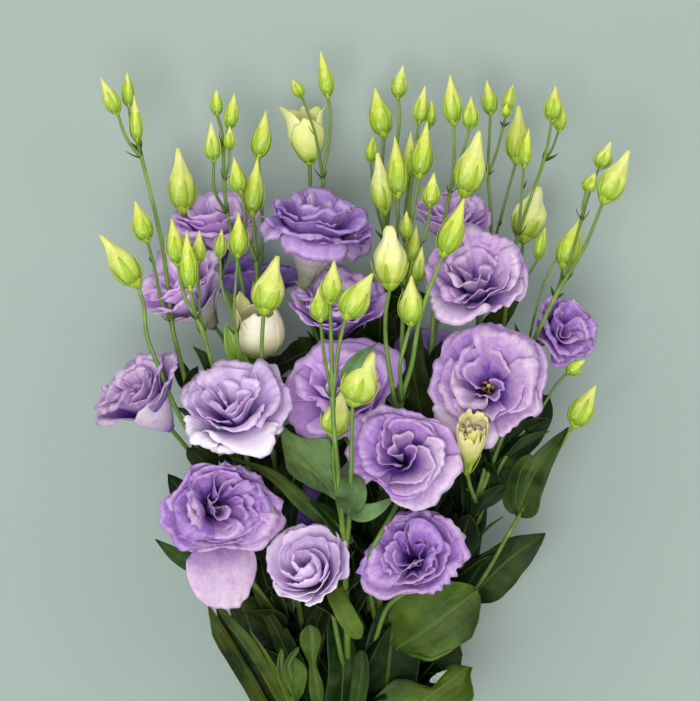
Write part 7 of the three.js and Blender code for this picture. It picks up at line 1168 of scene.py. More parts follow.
    ["spray_centre_back", [[3.9, 62.3, 50], [5.7, 72, 59.8], [9.9, 78.8, 70.5], [16.1, 82.6, 78.3]], 8.1, [-0.02, 0.34, 0.7], 0.06],
    ["spray_right_back", [[41.4, 12.8, 45.7], [39.3, 24.7, 49.5], [34.4, 34.8, 54.1], [27.3, 42.7, 56.5]], 7.8, [0.11, -0.15, 0.54], 0.07],
    ["spray_centre_right", [[24.7, -6.2, 58.3], [20.1, 3.9, 61.6], [12.7, 11.2, 64.7], [3.2, 15.6, 64.9]], 7.6, [0.42, -0.28, 0.77], 0.24],
    ["spray_top_left", [[-20.4, 45.2, 49], [-26.3, 54.4, 49.6], [-34.2, 60.9, 49.8], [-43.8, 64.7, 47.2]], 6.7, [0.16, 0.03, 0.87], 0.27],
    ["spray_centre_back", [[11.7, 112.4, 46.7], [19.1, 125.7, 42.5], [28.8, 135.2, 36.2], [40.1, 140.5, 24.6]], 10.4, [-0.15, -0.18, 1.04], 0.24],
    ["spray_top_left", [[-21, 125.6, 54.6], [-17.1, 135.2, 51.9], [-11.6, 143, 48], [-4.8, 148.5, 40.6]], 7.1, [-0.21, 0.13, 0.81], 0.26],
    ["spray_top_left", [[-20.4, 104.7, 53.5], [-16.3, 119.2, 53.2], [-9.9, 132.6, 52.2], [-1.6, 144.1, 47.2]], 9, [0, -0.24, 0.58], 0.19],
    ["spray_centre_back", [[1.3, -8.5, 37.8], [5.2, 2.3, 40.5], [10.5, 12, 43.9], [16.9, 20.3, 45]], 8.1, [-0.49, -0.15, 0.78], 0.17],
    ["spray_centre_back", [[2.8, 7.8, 38.9], [8.5, 21.6, 38.3], [16.2, 33.9, 36.5], [25.4, 44.1, 30.1]], 9, [-0.5, 0.3, 1.1], 0.11],
    ["spray_right_back", [[35.4, -10.3, 41.7], [33.1, 1.1, 43.3], [28.1, 11.1, 44.5], [20.9, 19.4, 42.6]], 9.1, [0.01, -0.19, 0.77], 0.07],
    ["spray_right_back", [[44.6, 24.4, 47.2], [45.4, 38, 52.5], [44.4, 50.5, 59.7], [42, 61.1, 64.8]], 10.9, [-0.03, 0.24, 0.51], 0.13],
    ["spray_centre_back", [[-2.7, 78.8, 53], [-5.2, 89.5, 47.9], [-5.1, 98.5, 40.8], [-2.6, 105.6, 29.5]], 8.7, [0.12, -0.12, 0.9], 0.22],
    ["spray_top_left", [[-19.8, 62.5, 51.4], [-17.2, 74.7, 58.3], [-13.2, 84.2, 67.4], [-8.1, 90.5, 74.9]], 10.6, [-0.4, 0.16, 0.15], 0.29],
    ["spray_centre_right", [[25.7, -2, 58.4], [23.1, 12.7, 56], [18, 25.2, 50.9], [10.8, 34.9, 40]], 10, [0.23, -0.14, 1.06], 0.15],
    ["spray_top_left", [[-20.9, 62.5, 50.8], [-28.9, 75.7, 52.3], [-39.9, 85.5, 53.5], [-53.2, 91.5, 50.8]], 9.1, [0.52, -0.1, 0.69], 0.1],
    ["spray_centre_back", [[3.1, 16, 39.4], [6, 27.6, 34.5], [9.3, 36.5, 26.8], [12.8, 42.5, 13.9]], 7.9, [-0.3, -0.13, 1.15], 0.17],
    ["spray_centre_right", [[27, 2, 59], [29.4, 16.3, 56.3], [31.6, 29.4, 50.5], [33.6, 40.4, 38.9]], 9.3, [-0.05, -0.07, 0.78], 0.16],
    ["spray_right_back", [[38, -6.8, 42.3], [47.1, 3.4, 43.2], [58.2, 10.5, 43.3], [70.5, 14.1, 39.5]], 8.9, [-0.28, -0.22, 0.88], 0.22],
    ["spray_top_left", [[-20, 83.7, 52.6], [-17.1, 93.9, 55], [-12.6, 103.2, 58.2], [-6.9, 110.8, 59.4]], 7, [-0.29, 0.26, 0.42], 0.27],
    ["spray_right_back", [[41.3, 12.9, 45.6], [41.3, 27.9, 48.4], [39, 42.4, 51.9], [34.7, 55.6, 52.2]], 11.5, [0.12, -0.27, 0.78], 0.22],
    ["spray_centre_right", [[26.8, 6, 60.6], [25.1, 19.3, 63.2], [21.2, 32.1, 65.6], [15.4, 43.5, 64.4]], 8.2, [0.53, -0.07, 0.89], 0.07],
    ["spray_centre_back", [[9.1, 88.3, 46.2], [5, 99.2, 49.2], [-1.3, 108, 53.2], [-9.4, 114.4, 55.2]], 8.7, [0.3, -0.24, 0.75], 0.28],
    ["spray_right", [[56, 18.1, 67], [63.3, 27.7, 71.7], [72, 35, 77.3], [81.6, 39.5, 80.5]], 10.3, [-0.09, -0.13, 0.73], 0.13],
    ["spray_centre_back", [[10.6, 104.4, 46], [10.6, 116.1, 42.5], [10.1, 126.6, 36.7], [9.2, 135.4, 26.5]], 7.4, [0.01, 0.04, 1.26], 0.09],
    ["spray_right_back", [[37.8, -6.9, 42.9], [47.5, 3.7, 50.1], [58.8, 9.6, 58.6], [70.7, 10.6, 64.2]], 10.7, [-0.06, 0.32, 0.82], 0.12],
    ["spray_centre_back", [[6.3, 56.2, 44], [1.5, 67.5, 47.8], [-5.8, 75.9, 52.5], [-15.2, 81.2, 54.9]], 8.7, [0.24, -0.09, 0.53], 0.08],
    ["spray_centre_back", [[10.7, 104.3, 47.4], [11.2, 116.7, 53.3], [11.5, 127.2, 61.6], [11.6, 135.3, 68.6]], 9.8, [0.07, -0.19, 0.52], 0.07],
    ["spray_top_left", [[-19.7, 75.3, 51.8], [-16.6, 87.2, 52.6], [-11.7, 98.3, 53.3], [-5.4, 108.1, 51.2]], 8.6, [-0.55, -0.18, 0.6], 0.07],
    ["spray_right_back", [[37.8, -6.9, 42.9], [44.7, 0.2, 48], [52.6, 3.6, 53.9], [60.8, 3.6, 57.7]], 7.2, [-0.33, -0.16, 0.7], 0.22],
    ["spray_right", [[48.8, -0.8, 62.9], [49.1, 13.1, 65.1], [47.2, 26.8, 67], [43.5, 39.4, 65.4]], 10.9, [0.03, -0.31, 0.83], 0.25],
    ["spray_upper_left", [[-54, 36.4, 53.7], [-50.2, 46.1, 51.2], [-44.2, 53, 47.2], [-36.6, 57, 39.5]], 6.7, [-0.02, -0.11, 0.75], 0.18],
    ["spray_centre_back", [[-7.1, 86.6, 53.5], [-4.6, 96.8, 56.9], [1.1, 104.9, 59.6], [9.7, 110.5, 59.2]], 7.8, [-0.54, -0.1, 0.66], 0.16],
    ["spray_centre_right", [[30.8, 34.2, 65.7], [27.9, 48.5, 66.9], [22.6, 61.7, 67.2], [15.1, 73.3, 63.4]], 11.1, [-0.01, 0.07, 0.59], 0.17],
    ["spray_centre_back", [[5, 44.2, 43], [0.9, 54, 44.9], [-5.6, 61.8, 47.2], [-13.9, 67.2, 47.1]], 6.3, [0.14, -0.31, 0.65], 0.15],
    ["spray_top_left", [[-19, 49.6, 49.3], [-15.7, 63.1, 49.7], [-10.3, 75.7, 49.5], [-3.4, 86.7, 45.5]], 10.5, [-0.27, -0.09, 0.68], 0.07],
    ["spray_centre_right", [[29.9, 26.2, 63.9], [26.5, 36.4, 61.3], [21.1, 43.9, 56.7], [14.1, 48.5, 47.9]], 8.8, [0.45, 0.12, 0.7], 0.29],
    ["spray_centre_right", [[29.3, 13.8, 62.9], [33.9, 24.3, 69.9], [39.5, 31.9, 78.6], [45.9, 36.5, 85.5]], 8.6, [-0.38, -0.16, 0.63], 0.28],
    ["spray_right", [[50, 3.1, 63.5], [48.8, 14.6, 64.1], [45, 25.2, 63.8], [39.2, 34.3, 60]], 7.7, [0.1, 0, 0.66], 0.15],
    ["spray_centre_right", [[24, -10.2, 57.2], [18.9, 1.3, 59.3], [10.6, 9.9, 60.6], [0, 15.3, 58.2]], 9.2, [0.05, -0.27, 1], 0.06],
    ["spray_right_back", [[37, -10.7, 42], [44.1, -1.9, 45.1], [52.8, 4.4, 48.5], [62.6, 8.2, 49.4]], 8.3, [-0.38, -0.15, 0.8], 0.25],
    ["spray_upper_left", [[-53.5, 23.8, 53.2], [-60.6, 36.3, 59.6], [-69.5, 45.4, 67.8], [-79.6, 50.8, 73.6]], 9, [0.14, 0.33, 0.27], 0.27],
    ["spray_right_back", [[38.9, -2.9, 42.6], [45.7, 10.1, 42.6], [54.2, 21.8, 41.3], [63.6, 31.6, 35.6]], 10.4, [0.04, 0.01, 1.02], 0.07],
    ["spray_right", [[55, 14.2, 66], [65.9, 24.4, 69.8], [78.8, 30.3, 73.5], [92.8, 31.9, 73.5]], 9.5, [-0.42, -0.01, 0.7], 0.21],
    ["spray_centre_back", [[-10.4, 91.1, 54.7], [-19, 99.6, 58.4], [-29.4, 105.6, 60.3], [-40.9, 108.9, 57.6]], 10, [0.19, 0, 0.84], 0.27],
    ["spray_centre_right", [[25.7, -10.5, 57.2], [33.2, -0.5, 59.5], [42.8, 6.9, 61.2], [53.8, 11.3, 59.4]], 8.7, [-0.03, -0.08, 1], 0.28],
    ["spray_centre_right", [[28.2, 5.6, 61.2], [35, 18, 68.3], [43.4, 27.3, 77], [53.1, 33.3, 83]], 11, [-0.08, 0.34, 0.64], 0.14],
    ["spray_upper_left", [[-53.7, 23.8, 52.6], [-61.4, 34.3, 53.5], [-71.3, 42, 53.9], [-82.7, 46.6, 50.8]], 10.4, [0.41, -0.02, 0.85], 0.17],
    ["spray_centre_back", [[-9.4, 91.5, 54.6], [-8, 103.5, 55.4], [-4.1, 114.2, 53.4], [1.9, 122.8, 46.2]], 7.9, [-0.12, 0.09, 0.79], 0.19],
    ["spray_right_back", [[45.9, 28.2, 47.8], [47.8, 40.4, 55.3], [48.6, 50.1, 65.3], [48.3, 56.9, 73.9]], 10.5, [-0.12, -0.25, 0.58], 0.25],
    ["spray_centre_right", [[30.6, 22, 63.4], [36.6, 36.4, 64.3], [44.6, 49.6, 64.2], [54, 61, 59.5]], 11.7, [-0.42, 0.13, 0.74], 0.13],
    ["spray_right_back", [[35.7, -10.2, 41.2], [35.4, 2.3, 39.6], [33.2, 13.9, 36.2], [29.3, 24, 28.3]], 9, [0.17, -0.05, 0.62], 0.17],
    ["spray_centre_right", [[27, -2.3, 58.6], [31.9, 7.8, 59.6], [38.3, 16.8, 59.7], [45.7, 24.3, 56.4]], 7.3, [-0.28, -0.21, 0.7], 0.12],
    ["spray_top_left", [[-20.8, 108.9, 53.3], [-19.3, 121, 50.7], [-16.8, 132.2, 46.2], [-13.6, 141.9, 37.4]], 8.8, [-0.18, -0.15, 1.16], 0.24],
    ["spray_centre_back", [[13.5, 136.8, 48.3], [17.4, 139.1, 60.6], [22.2, 138.4, 72.3], [27.6, 135, 79.9]], 9.7, [-0.33, -0.01, 0.55], 0.11],
    ["spray_right", [[59.5, 34, 70], [59.2, 46.3, 75.3], [56.5, 57.3, 81.9], [51.7, 66.5, 86.1]], 8.1, [0.23, -0.11, 0.47], 0.26],
    ["spray_right_back", [[45.8, 24.2, 46.6], [53.7, 36, 47.7], [63.7, 45.9, 48.6], [74.9, 53.3, 46]], 9.8, [-0.54, 0.01, 0.99], 0.07],
    ["spray_top_left", [[-19.6, 66.9, 51.1], [-16.2, 78.2, 51.1], [-11.1, 88.6, 50.7], [-4.4, 97.4, 47.2]], 9.3, [-0.08, 0.08, 0.72], 0.1],
    ["spray_right", [[52.7, 10.9, 64.5], [54, 25.9, 62.4], [53.4, 40.1, 57.7], [51, 52.5, 47.4]], 10.1, [0.11, -0.21, 0.9], 0.24],
    ["spray_centre_right", [[33.3, 42, 67.5], [41.2, 55.4, 71.5], [51.6, 66.2, 75.7], [63.9, 74, 76.4]], 12.1, [-0.19, -0.21, 0.57], 0.21],
    ["spray_centre_back", [[-3.6, 78.3, 53.4], [-12.8, 85.9, 52.7], [-23.1, 91.5, 51.8], [-33.9, 94.7, 47.9]], 9.2, [0.45, 0.05, 0.46], 0.27],
    ["spray_top_left", [[-19.7, 66.9, 50.7], [-16.6, 81.3, 48.6], [-11.7, 94.4, 44.8], [-5.4, 105.8, 36.3]], 9, [-0.29, -0.04, 1.17], 0.29],
    ["spray_centre_back", [[9.5, 92.3, 46.6], [7.4, 102.4, 50.2], [4, 111.2, 55.2], [-0.6, 118.2, 58.8]], 8.1, [-0.1, -0.16, 0.71], 0.26],
    ["spray_centre_back", [[2.9, 62.2, 49.6], [-2.5, 70.2, 54.4], [-9.3, 76.7, 59], [-17.2, 81.4, 60.8]], 6.2, [0.57, -0.04, 0.68], 0.14],
    ["spray_centre_back", [[11.3, 120.5, 48.1], [10, 131, 52.2], [7.5, 140.3, 57.8], [4.1, 147.8, 62.1]], 7.2, [0.32, -0.23, 0.26], 0.18],
    ["spray_right", [[59.6, 29.9, 68.5], [69.1, 38.3, 67.5], [79.8, 42.8, 64.9], [91.1, 43.3, 57.9]], 9.9, [-0.07, -0.1, 0.54], 0.16],
    ["spray_top_left", [[-19.7, 66.9, 50.7], [-14.7, 78, 47.4], [-7.6, 86.1, 42.3], [1.1, 91, 33]], 8.1, [-0.03, 0.24, 0.95], 0.14],
    ["spray_centre_back", [[4.1, 57.9, 47.9], [-1.4, 66.9, 57.7], [-7.8, 73, 68.5], [-14.8, 75.8, 76.5]], 9, [0.03, -0.05, 0.73], 0.27],
    ["spray_centre_back", [[-2.9, 78.7, 52.9], [-8.9, 91.4, 49.1], [-13.8, 103.6, 43.4], [-17.5, 114.7, 32.9]], 11.4, [-0.24, -0.17, 1.18], 0.27],
    ["spray_top_left", [[-18.8, 36.7, 47.7], [-15.3, 49.1, 45.6], [-10, 60.1, 41.9], [-3.2, 69, 33.7]], 9.9, [-0.06, -0.04, 1.13], 0.15],
    ["spray_right", [[53.6, 14.8, 65.6], [51.8, 28.1, 65.6], [47, 40.1, 64.2], [39.7, 50.2, 58.5]], 8, [0.56, 0.18, 0.53], 0.29],
    ["spray_top_left", [[-20.6, 53.9, 50.1], [-25.4, 65.1, 52.7], [-32.4, 74.6, 55.8], [-40.9, 82, 56.3]], 7.2, [0.12, -0.08, 0.37], 0.24],
    ["spray_right", [[46.6, -8.6, 61.1], [44.8, 6.9, 59.8], [39.7, 20.6, 56.3], [31.7, 31.9, 47.5]], 10.3, [0.28, -0.07, 1.1], 0.26],
    ["spray_centre", [[10.9, -2.8, 68.9], [18.1, 10, 72.5], [27.8, 20.6, 76], [39.2, 28.6, 75.7]], 10.3, [-0.08, -0.09, 0.86], 0.11],
    ["spray_right", [[54.7, 18.5, 66.9], [51.6, 31.3, 71.9], [44.9, 41.5, 77.5], [35.3, 48.6, 80]], 10.9, [0.26, 0.19, 0.36], 0.09],
    ["spray_centre_back", [[5.9, 49.9, 42.9], [-0.6, 61.7, 43.4], [-8.4, 71.6, 40.8], [-16.8, 79.3, 32.3]], 8.7, [-0.05, -0.24, 1.09], 0.21],
    ["spray_upper_left", [[-56.8, 84.1, 38.5], [-52.5, 94.6, 31], [-46.3, 102, 22.3], [-38.8, 106, 9.6]], 9.8, [-0.41, 0.12, 0.83], 0.07],
    ["spray_top_left", [[-19.9, 75.3, 51.2], [-15.2, 88.5, 47.2], [-8.4, 98.9, 40.8], [0.1, 106, 29.4]], 9.3, [-0.14, 0.21, 0.67], 0.17],
    ["spray_upper_left", [[-56, 40.2, 54.6], [-64.5, 49.4, 56.3], [-75, 54.7, 57.7], [-86.7, 56.1, 56]], 9.3, [0.44, -0.05, 0.88], 0.15],
    ["spray_right", [[49.2, -1.1, 63.7], [51.1, 10.8, 70.3], [51.6, 21.1, 78.9], [50.8, 29.4, 85.6]], 8.1, [0.01, 0.18, 0.14], 0.17],
    ["spray_centre_back", [[2.1, -0.4, 38.3], [10.2, 12.9, 39.6], [21.1, 23.2, 40.5], [33.9, 30.2, 37.3]], 9.7, [-0.27, 0.15, 0.7], 0.14],
    ["spray_right", [[55.9, 22.4, 67.6], [53.3, 36.4, 72.2], [47.1, 48.4, 77.1], [37.9, 57.7, 78.9]], 9.3, [0.38, 0.06, 0.75], 0.17],
    ["spray_right_back", [[47.7, 32, 47.3], [55.8, 40.9, 47.4], [65.6, 46.9, 46.8], [76.5, 49.9, 42.8]], 9.3, [-0.41, 0.36, 0.52], 0.18],
    ["spray_centre", [[10.2, -2.5, 68], [12.4, 8.8, 67.2], [14.8, 19.7, 64.6], [17.3, 29.4, 57.7]], 7.6, [-0.25, 0.16, 0.74], 0.13],
    ["spray_centre_right", [[27.2, 6.1, 60], [25.1, 19.5, 55.3], [20.9, 29.5, 47.4], [15, 35.7, 33.6]], 8.3, [0.24, 0.07, 1.1], 0.23],
    ["spray_left_leaning", [[-25, -130.4, 30], [-28.2, -118.3, 30.6], [-30.3, -106.7, 27.9], [-31.3, -96.4, 19.4]], 10.3, [-0.32, -0.14, 0.7], 0.21],
    ["spray_centre_front", [[4.1, -93, 67], [12.1, -82.8, 71.2], [22.6, -75.4, 73.9], [34.7, -71.1, 71.9]], 11.5, [-0.08, -0.05, 1], 0.08],
    ["spray_lower_left", [[-16, -119.9, 54.2], [-18.2, -109.1, 59.8], [-20.9, -97.7, 62.9], [-23.9, -86.4, 60.6]], 10.7, [0.17, -0.48, 0.73], 0.03],
    ["spray_lower_left", [[-12.6, -137.6, 35.5], [-4.3, -123.7, 45.9], [8.1, -111.9, 52], [23.7, -102.8, 49.5]], 17.2, [-0.4, 0, 0.54], 0.17],
    ["spray_centre_right", [[8.7, -96.2, 36.2], [9.2, -84.2, 34.9], [8.6, -73.2, 31.2], [7, -63.5, 22.8]], 11.3, [0.27, 0.11, 1.04], 0.24],
    ["spray_right", [[23.1, -88.9, 43.4], [31.2, -80.9, 51.3], [39.9, -77.4, 60.3], [48.8, -78.2, 66.6]], 10.4, [-0.38, 0.27, 0.33], 0.07],
    ["spray_lower_left", [[-11.7, -148.8, 30.2], [-4, -135.3, 39.3], [7.5, -125.4, 47.3], [22, -119.4, 49.7]], 15.3, [-0.16, -0.11, 0.42], 0.01],
    ["spray_lower_left", [[-20.8, -101.2, 68.3], [-23.1, -86.1, 67.3], [-23.7, -72.9, 61.6], [-22.8, -62.3, 48.4]], 15.7, [-0.17, -0.07, 0.88], 0.13],
    ["spray_centre", [[2.4, -63.8, 55.6], [11.2, -53.2, 58.6], [22.3, -46.3, 61], [35.1, -43.2, 59.6]], 13.2, [-0.09, -0.16, 0.52], 0.17],
    ["spray_lower_left", [[-13, -138.5, 36.3], [-9.7, -133.2, 50.6], [-4.3, -131.7, 64.4], [2.8, -133.7, 73.5]], 15.8, [0.04, 0.41, 0.48], 0.07],
    ["spray_lower_right", [[30.5, -95.8, 44.3], [41.5, -81.8, 46.1], [54.6, -70.2, 45.3], [69, -61.8, 38]], 14.8, [-0.41, 0.25, 1.11], 0.1],
    ["spray_lower_right", [[35.1, -81.3, 49.5], [43.3, -64.4, 50.6], [52.5, -48.5, 48.7], [62, -34.4, 39.7]], 18.4, [-0.12, 0.06, 0.75], 0.13],
    ["spray_right_back", [[10, -112.4, 23.1], [3.7, -96.3, 29.7], [-7.3, -84.6, 36.2], [-21.9, -77.6, 38.3]], 18.4, [0.47, -0.12, 0.62], 0.05],
    ["spray_far_right", [[4, -149.3, 25.3], [9, -139.8, 36.7], [14, -133.7, 49.8], [18.8, -131.3, 60]], 13.9, [-0.34, 0.08, 0.31], 0.18],
    ["spray_left_centre", [[-31.5, -54.9, 59.1], [-25.6, -43.5, 62.6], [-16.5, -35.3, 65], [-4.9, -30.7, 63.3]], 13.1, [-0.23, 0.15, 0.75], 0.25],
    ["spray_left_centre", [[-21.4, -118.7, 30.9], [-28.4, -105.7, 34.8], [-37.2, -93.6, 36.5], [-47.1, -83.1, 32.4]], 14.5, [0.1, 0.08, 1.06], 0.12],
    ["spray_left_centre", [[-23.1, -111, 35.1], [-31.3, -96.2, 37.1], [-41.1, -83.1, 35.3], [-51.9, -72.4, 26.1]], 13.9, [-0.1, -0.25, 1.11], 0.06],
    ["spray_centre_right", [[2.7, -142.2, 18.3], [11.2, -132.3, 26.4], [21.8, -127.2, 34.7], [33.8, -127.1, 39.3]], 12.4, [-0.18, -0.07, 0.74], 0.06],
    ["spray_far_left", [[-40.4, -104.4, 36], [-38, -93.4, 44.9], [-32.5, -85.8, 54.6], [-24.2, -81.9, 61.3]], 13.8, [-0.08, 0.3, 0.53], 0.05],
    ["spray_centre_right", [[3.6, -120.7, 28.6], [-0.1, -107.8, 33], [-6.8, -96.4, 36.5], [-15.9, -87.1, 35.7]], 12.8, [0.55, 0.13, 0.66], 0.23],
    ["spray_front", [[-7, -148.4, 32.2], [-11.5, -135.9, 36.5], [-18, -124.1, 38.3], [-26.1, -113.6, 34.6]], 12.1, [0.18, -0.28, 0.61], 0.01],
    ["spray_right_back", [[19.7, -71.9, 31.9], [14.6, -58.8, 34.8], [5.9, -48.9, 37.5], [-5.9, -42.6, 36.6]], 13.3, [0.48, 0.09, 0.93], 0.02],
    ["spray_centre_back", [[-9.5, -118, 19.6], [-20.9, -103.6, 25.3], [-35.9, -94.7, 29.8], [-53.5, -91.5, 28.6]], 15.3, [0.03, 0.26, 0.61], 0.14],
    ["spray_right", [[15.8, -107.2, 36.6], [12.9, -94.6, 38.3], [6.9, -83.7, 37.9], [-1.7, -75.2, 32.6]], 11.5, [0.33, -0.03, 0.51], 0.07],
    ["spray_centre_front", [[-0.6, -131.9, 41.8], [-4.3, -125, 52.8], [-9.8, -120.8, 64], [-16.8, -119.4, 71.5]], 11.8, [0.24, 0.12, 0.26], 0.07],
    ["spray_right", [[18.5, -99.6, 39.2], [20.3, -84.2, 37.5], [20.5, -69.7, 32.9], [18.9, -56.9, 22.3]], 13.2, [0.13, 0.15, 0.85], 0.02],
    ["spray_centre", [[-1.3, -90.8, 48.4], [7, -80.9, 48], [17.1, -74.7, 45.7], [28.4, -72.4, 38.8]], 12.6, [-0.42, -0.18, 0.83], 0.16],
    ["spray_lower_left", [[-12.3, -141.5, 34], [-8.7, -128.3, 42.1], [-2.7, -116.3, 50.1], [5.4, -106.1, 53.9]], 12.4, [-0.41, -0.11, 0.76], 0.02],
    ["spray_left_front", [[-15.5, -148.7, 24.1], [-25.3, -134.9, 25.1], [-36.9, -124, 22.4], [-49.7, -116.5, 12.5]], 16.1, [0.33, 0, 1.03], 0.02],
    ["spray_left_centre", [[-26, -88.9, 46.2], [-23.5, -75.8, 57.8], [-18.3, -66.3, 70.9], [-10.8, -60.5, 80.5]], 14.4, [-0.23, 0.26, 0.57], 0.12],
    ["spray_far_right", [[10.6, -128.1, 37.1], [8.2, -111.5, 45.7], [1.1, -96, 51.2], [-10, -82.3, 49.3]], 18.5, [0.01, -0.17, 0.8], 0.02],
    ["spray_top_left", [[-14.4, -89.2, 27.5], [-10.3, -74.8, 26.2], [-3.9, -62.1, 22.7], [4.2, -51.8, 13.8]], 12.6, [-0.36, -0.22, 0.85], 0.05],
    ["spray_left_leaning", [[-31.1, -117.5, 40.2], [-38.5, -107.7, 52.2], [-46.5, -101, 65.5], [-54.5, -97.6, 75.1]], 13.9, [0.23, -0.11, 0.71], 0.16],
    ["spray_upper_left", [[-34.7, -78, 31.9], [-43.4, -63.6, 33], [-54.5, -51.3, 32.2], [-67.1, -41.8, 25.8]], 14.2, [0.24, 0.27, 0.86], 0.24],
    ["spray_top_left", [[-16.3, -81.5, 30], [-26.2, -67.1, 36.5], [-39.5, -57.8, 43.4], [-55.1, -53.8, 46.1]], 18.8, [0.33, -0.21, 0.75], 0.19],
    ["spray_right_back", [[7.2, -125, 18.2], [5.5, -108.1, 25.5], [0.7, -91.8, 32.5], [-6.5, -77.2, 34.4]], 14.1, [0.13, 0.01, 0.87], 0.03],
    ["spray_front", [[-6.2, -103, 69.6], [-4.6, -85.9, 78.5], [-2.1, -68, 84.7], [1.1, -50.3, 83.7]], 15.2, [-0.05, 0.08, 0.66], 0.14],
    ["spray_left_front", [[-25.1, -119.9, 46.1], [-29.3, -112.8, 58.7], [-33, -108.7, 72.4], [-35.9, -107.6, 82.7]], 12.2, [-0.24, 0.22, 0.43], 0.2],
    ["spray_centre_back", [[-8.1, -113.5, 20], [-4.7, -96.9, 19.2], [0.6, -81.8, 15.2], [7.4, -68.9, 4.6]], 14.8, [-0.09, -0.31, 0.95], 0.03],
    ["spray_upper_left", [[-32.2, -86.1, 31.2], [-36.5, -70.1, 41.7], [-40.6, -56.6, 54.8], [-44.4, -46.2, 65.1]], 17.5, [-0.01, 0.01, 0.57], 0.2],
    ["spray_centre_back", [[-6.7, -138.1, 11.3], [-16.8, -125.3, 14.9], [-29.6, -115.9, 16.2], [-44.3, -110.3, 11.6]], 16.8, [0.56, 0.31, 0.99], 0.03],
    ["spray_centre_right", [[1.2, -154.3, 15], [4.6, -144.9, 22.3], [9, -137.9, 31], [14.1, -133.5, 37.6]], 9.4, [-0.19, -0.07, 0.67], 0.09],
    ["spray_centre_right", [[6.6, -103.9, 35], [2.6, -90.6, 36.7], [-4.7, -79.4, 37.2], [-14.6, -70.7, 33.4]], 10.5, [0.15, -0.18, 0.98], 0.01],
    ["spray_centre_right", [[2.7, -141.9, 17.3], [9, -131.3, 17.5], [17.3, -123.1, 15.6], [26.9, -117.6, 9.2]], 9.9, [-0.01, -0.14, 1.02], 0.02],
    ["spray_centre", [[-4.1, -127.2, 30.6], [4.1, -114.7, 35.9], [15.2, -105, 38], [28.4, -98.2, 33.2]], 14.2, [-0.55, -0.1, 0.71], 0.28],
    ["spray_right", [[15.8, -111.1, 34.5], [20.8, -97.4, 35.6], [26.2, -84, 34.2], [31.7, -71.8, 27.2]], 14.4, [0.01, -0.12, 1.1], 0.11],
    ["spray_centre_front", [[-0.9, -138.2, 36.1], [-6.4, -131.9, 45.3], [-14.2, -128.6, 53.5], [-23.7, -128.3, 57.4]], 11.2, [0.06, 0.27, 0.32], 0.26],
    ["spray_far_right", [[16.7, -119.8, 45], [25.1, -114.3, 51.6], [34.8, -111.5, 57.1], [45.3, -111.2, 58.5]], 9.9, [-0.33, 0.16, 0.41], 0.28],
    ["spray_lower_right", [[9.1, -150.2, 20.6], [21.3, -137, 26], [36.1, -127.5, 30.6], [52.6, -122.2, 29.9]], 14.6, [-0.27, -0.16, 0.92], 0.05],
    ["spray_right_back", [[9.3, -116.6, 22.6], [8.9, -101.4, 30], [6, -87.8, 39.1], [1.1, -76.5, 45.4]], 17, [-0.06, -0.15, 0.38], 0.16],
    ["spray_left_front", [[-15.1, -148.5, 23.8], [-21.5, -133.5, 23], [-28.4, -120.6, 17.7], [-35.4, -110.4, 4.9]], 14.4, [0, -0.39, 0.98], 0.18],
    ["spray_upper_left", [[-32.2, -90, 29.5], [-44, -76.9, 36.6], [-58.4, -68.7, 43.9], [-74.5, -65.5, 46.7]], 19.3, [0.33, 0.13, 0.35], 0.17],
    ["spray_left_centre", [[-16.3, -142.3, 19.7], [-25.5, -133.3, 27.2], [-36.6, -129.1, 34.5], [-49, -129.8, 37.7]], 13.8, [0.4, -0.12, 0.46], 0.25],
    ["spray_upper_left", [[-32.9, -77.8, 32.6], [-29.7, -63.9, 37.9], [-23.3, -51.8, 43.4], [-14.2, -42.1, 45.4]], 13.5, [-0.11, -0.27, 0.55], 0.22],
    ["spray_centre_back", [[-6.7, -138.1, 11.5], [-17.7, -125.2, 16.8], [-31.6, -116.1, 20.4], [-47.6, -111.2, 18.1]], 18.3, [0.4, 0.07, 0.93], 0.12],
    ["spray_centre_back", [[-8.7, -105.7, 23.6], [-9.4, -96, 30.6], [-10.9, -88.8, 39.5], [-13.2, -84.4, 46.9]], 12.1, [0.15, -0.09, 0.71], 0.11],
    ["spray_left_front", [[-16.3, -145, 25.8], [-26.2, -130.8, 24.6], [-37.3, -120.4, 18.8], [-48.9, -114.3, 5.1]], 13.6, [0.45, 0.12, 0.77], 0.13],
    ["spray_right", [[7.3, -154.3, 15.4], [15.3, -141.1, 25.4], [25.5, -131.9, 36.6], [37.2, -126.9, 44.2]], 15.9, [0.02, 0.13, 0.47], 0.27],
    ["spray_left_leaning", [[-40.3, -87.6, 54.5], [-44.9, -70.6, 52.5], [-48.8, -55.9, 45.4], [-51.8, -44.3, 29.7]], 15.6, [-0.14, -0.05, 1.22], 0.09],
    ["spray_centre_back", [[-8.1, -130.2, 14.8], [-15.8, -117.7, 19.6], [-26.1, -107.3, 23.4], [-38, -99.4, 22.4]], 11.5, [0.35, -0.11, 0.6], 0.25],
    ["spray_centre_right", [[9.3, -100.5, 36.1], [18.8, -90.4, 38.7], [30.4, -84.1, 40.3], [43.5, -81.8, 37.7]], 12.5, [-0.05, -0.23, 0.55], 0.26],
    ["spray_far_left", [[-44.2, -97.2, 37.2], [-51.9, -87.3, 38.1], [-61.1, -79.3, 37.2], [-71.1, -73.7, 31.7]], 9.6, [0.48, -0.05, 1.08], 0.17],
    ["spray_right_back", [[19.5, -76.1, 32], [21.3, -66.1, 41.3], [21.9, -59.9, 52.7], [21.2, -57.7, 62.3]], 11, [-0.03, 0.19, 0.3], 0.1],
    ["spray_lower_right", [[35.9, -78.1, 52.3], [39.3, -70.7, 63.1], [41.6, -67.5, 75.2], [42.7, -68.5, 84.7]], 11.1, [-0.1, 0.33, 0.31], 0.28],
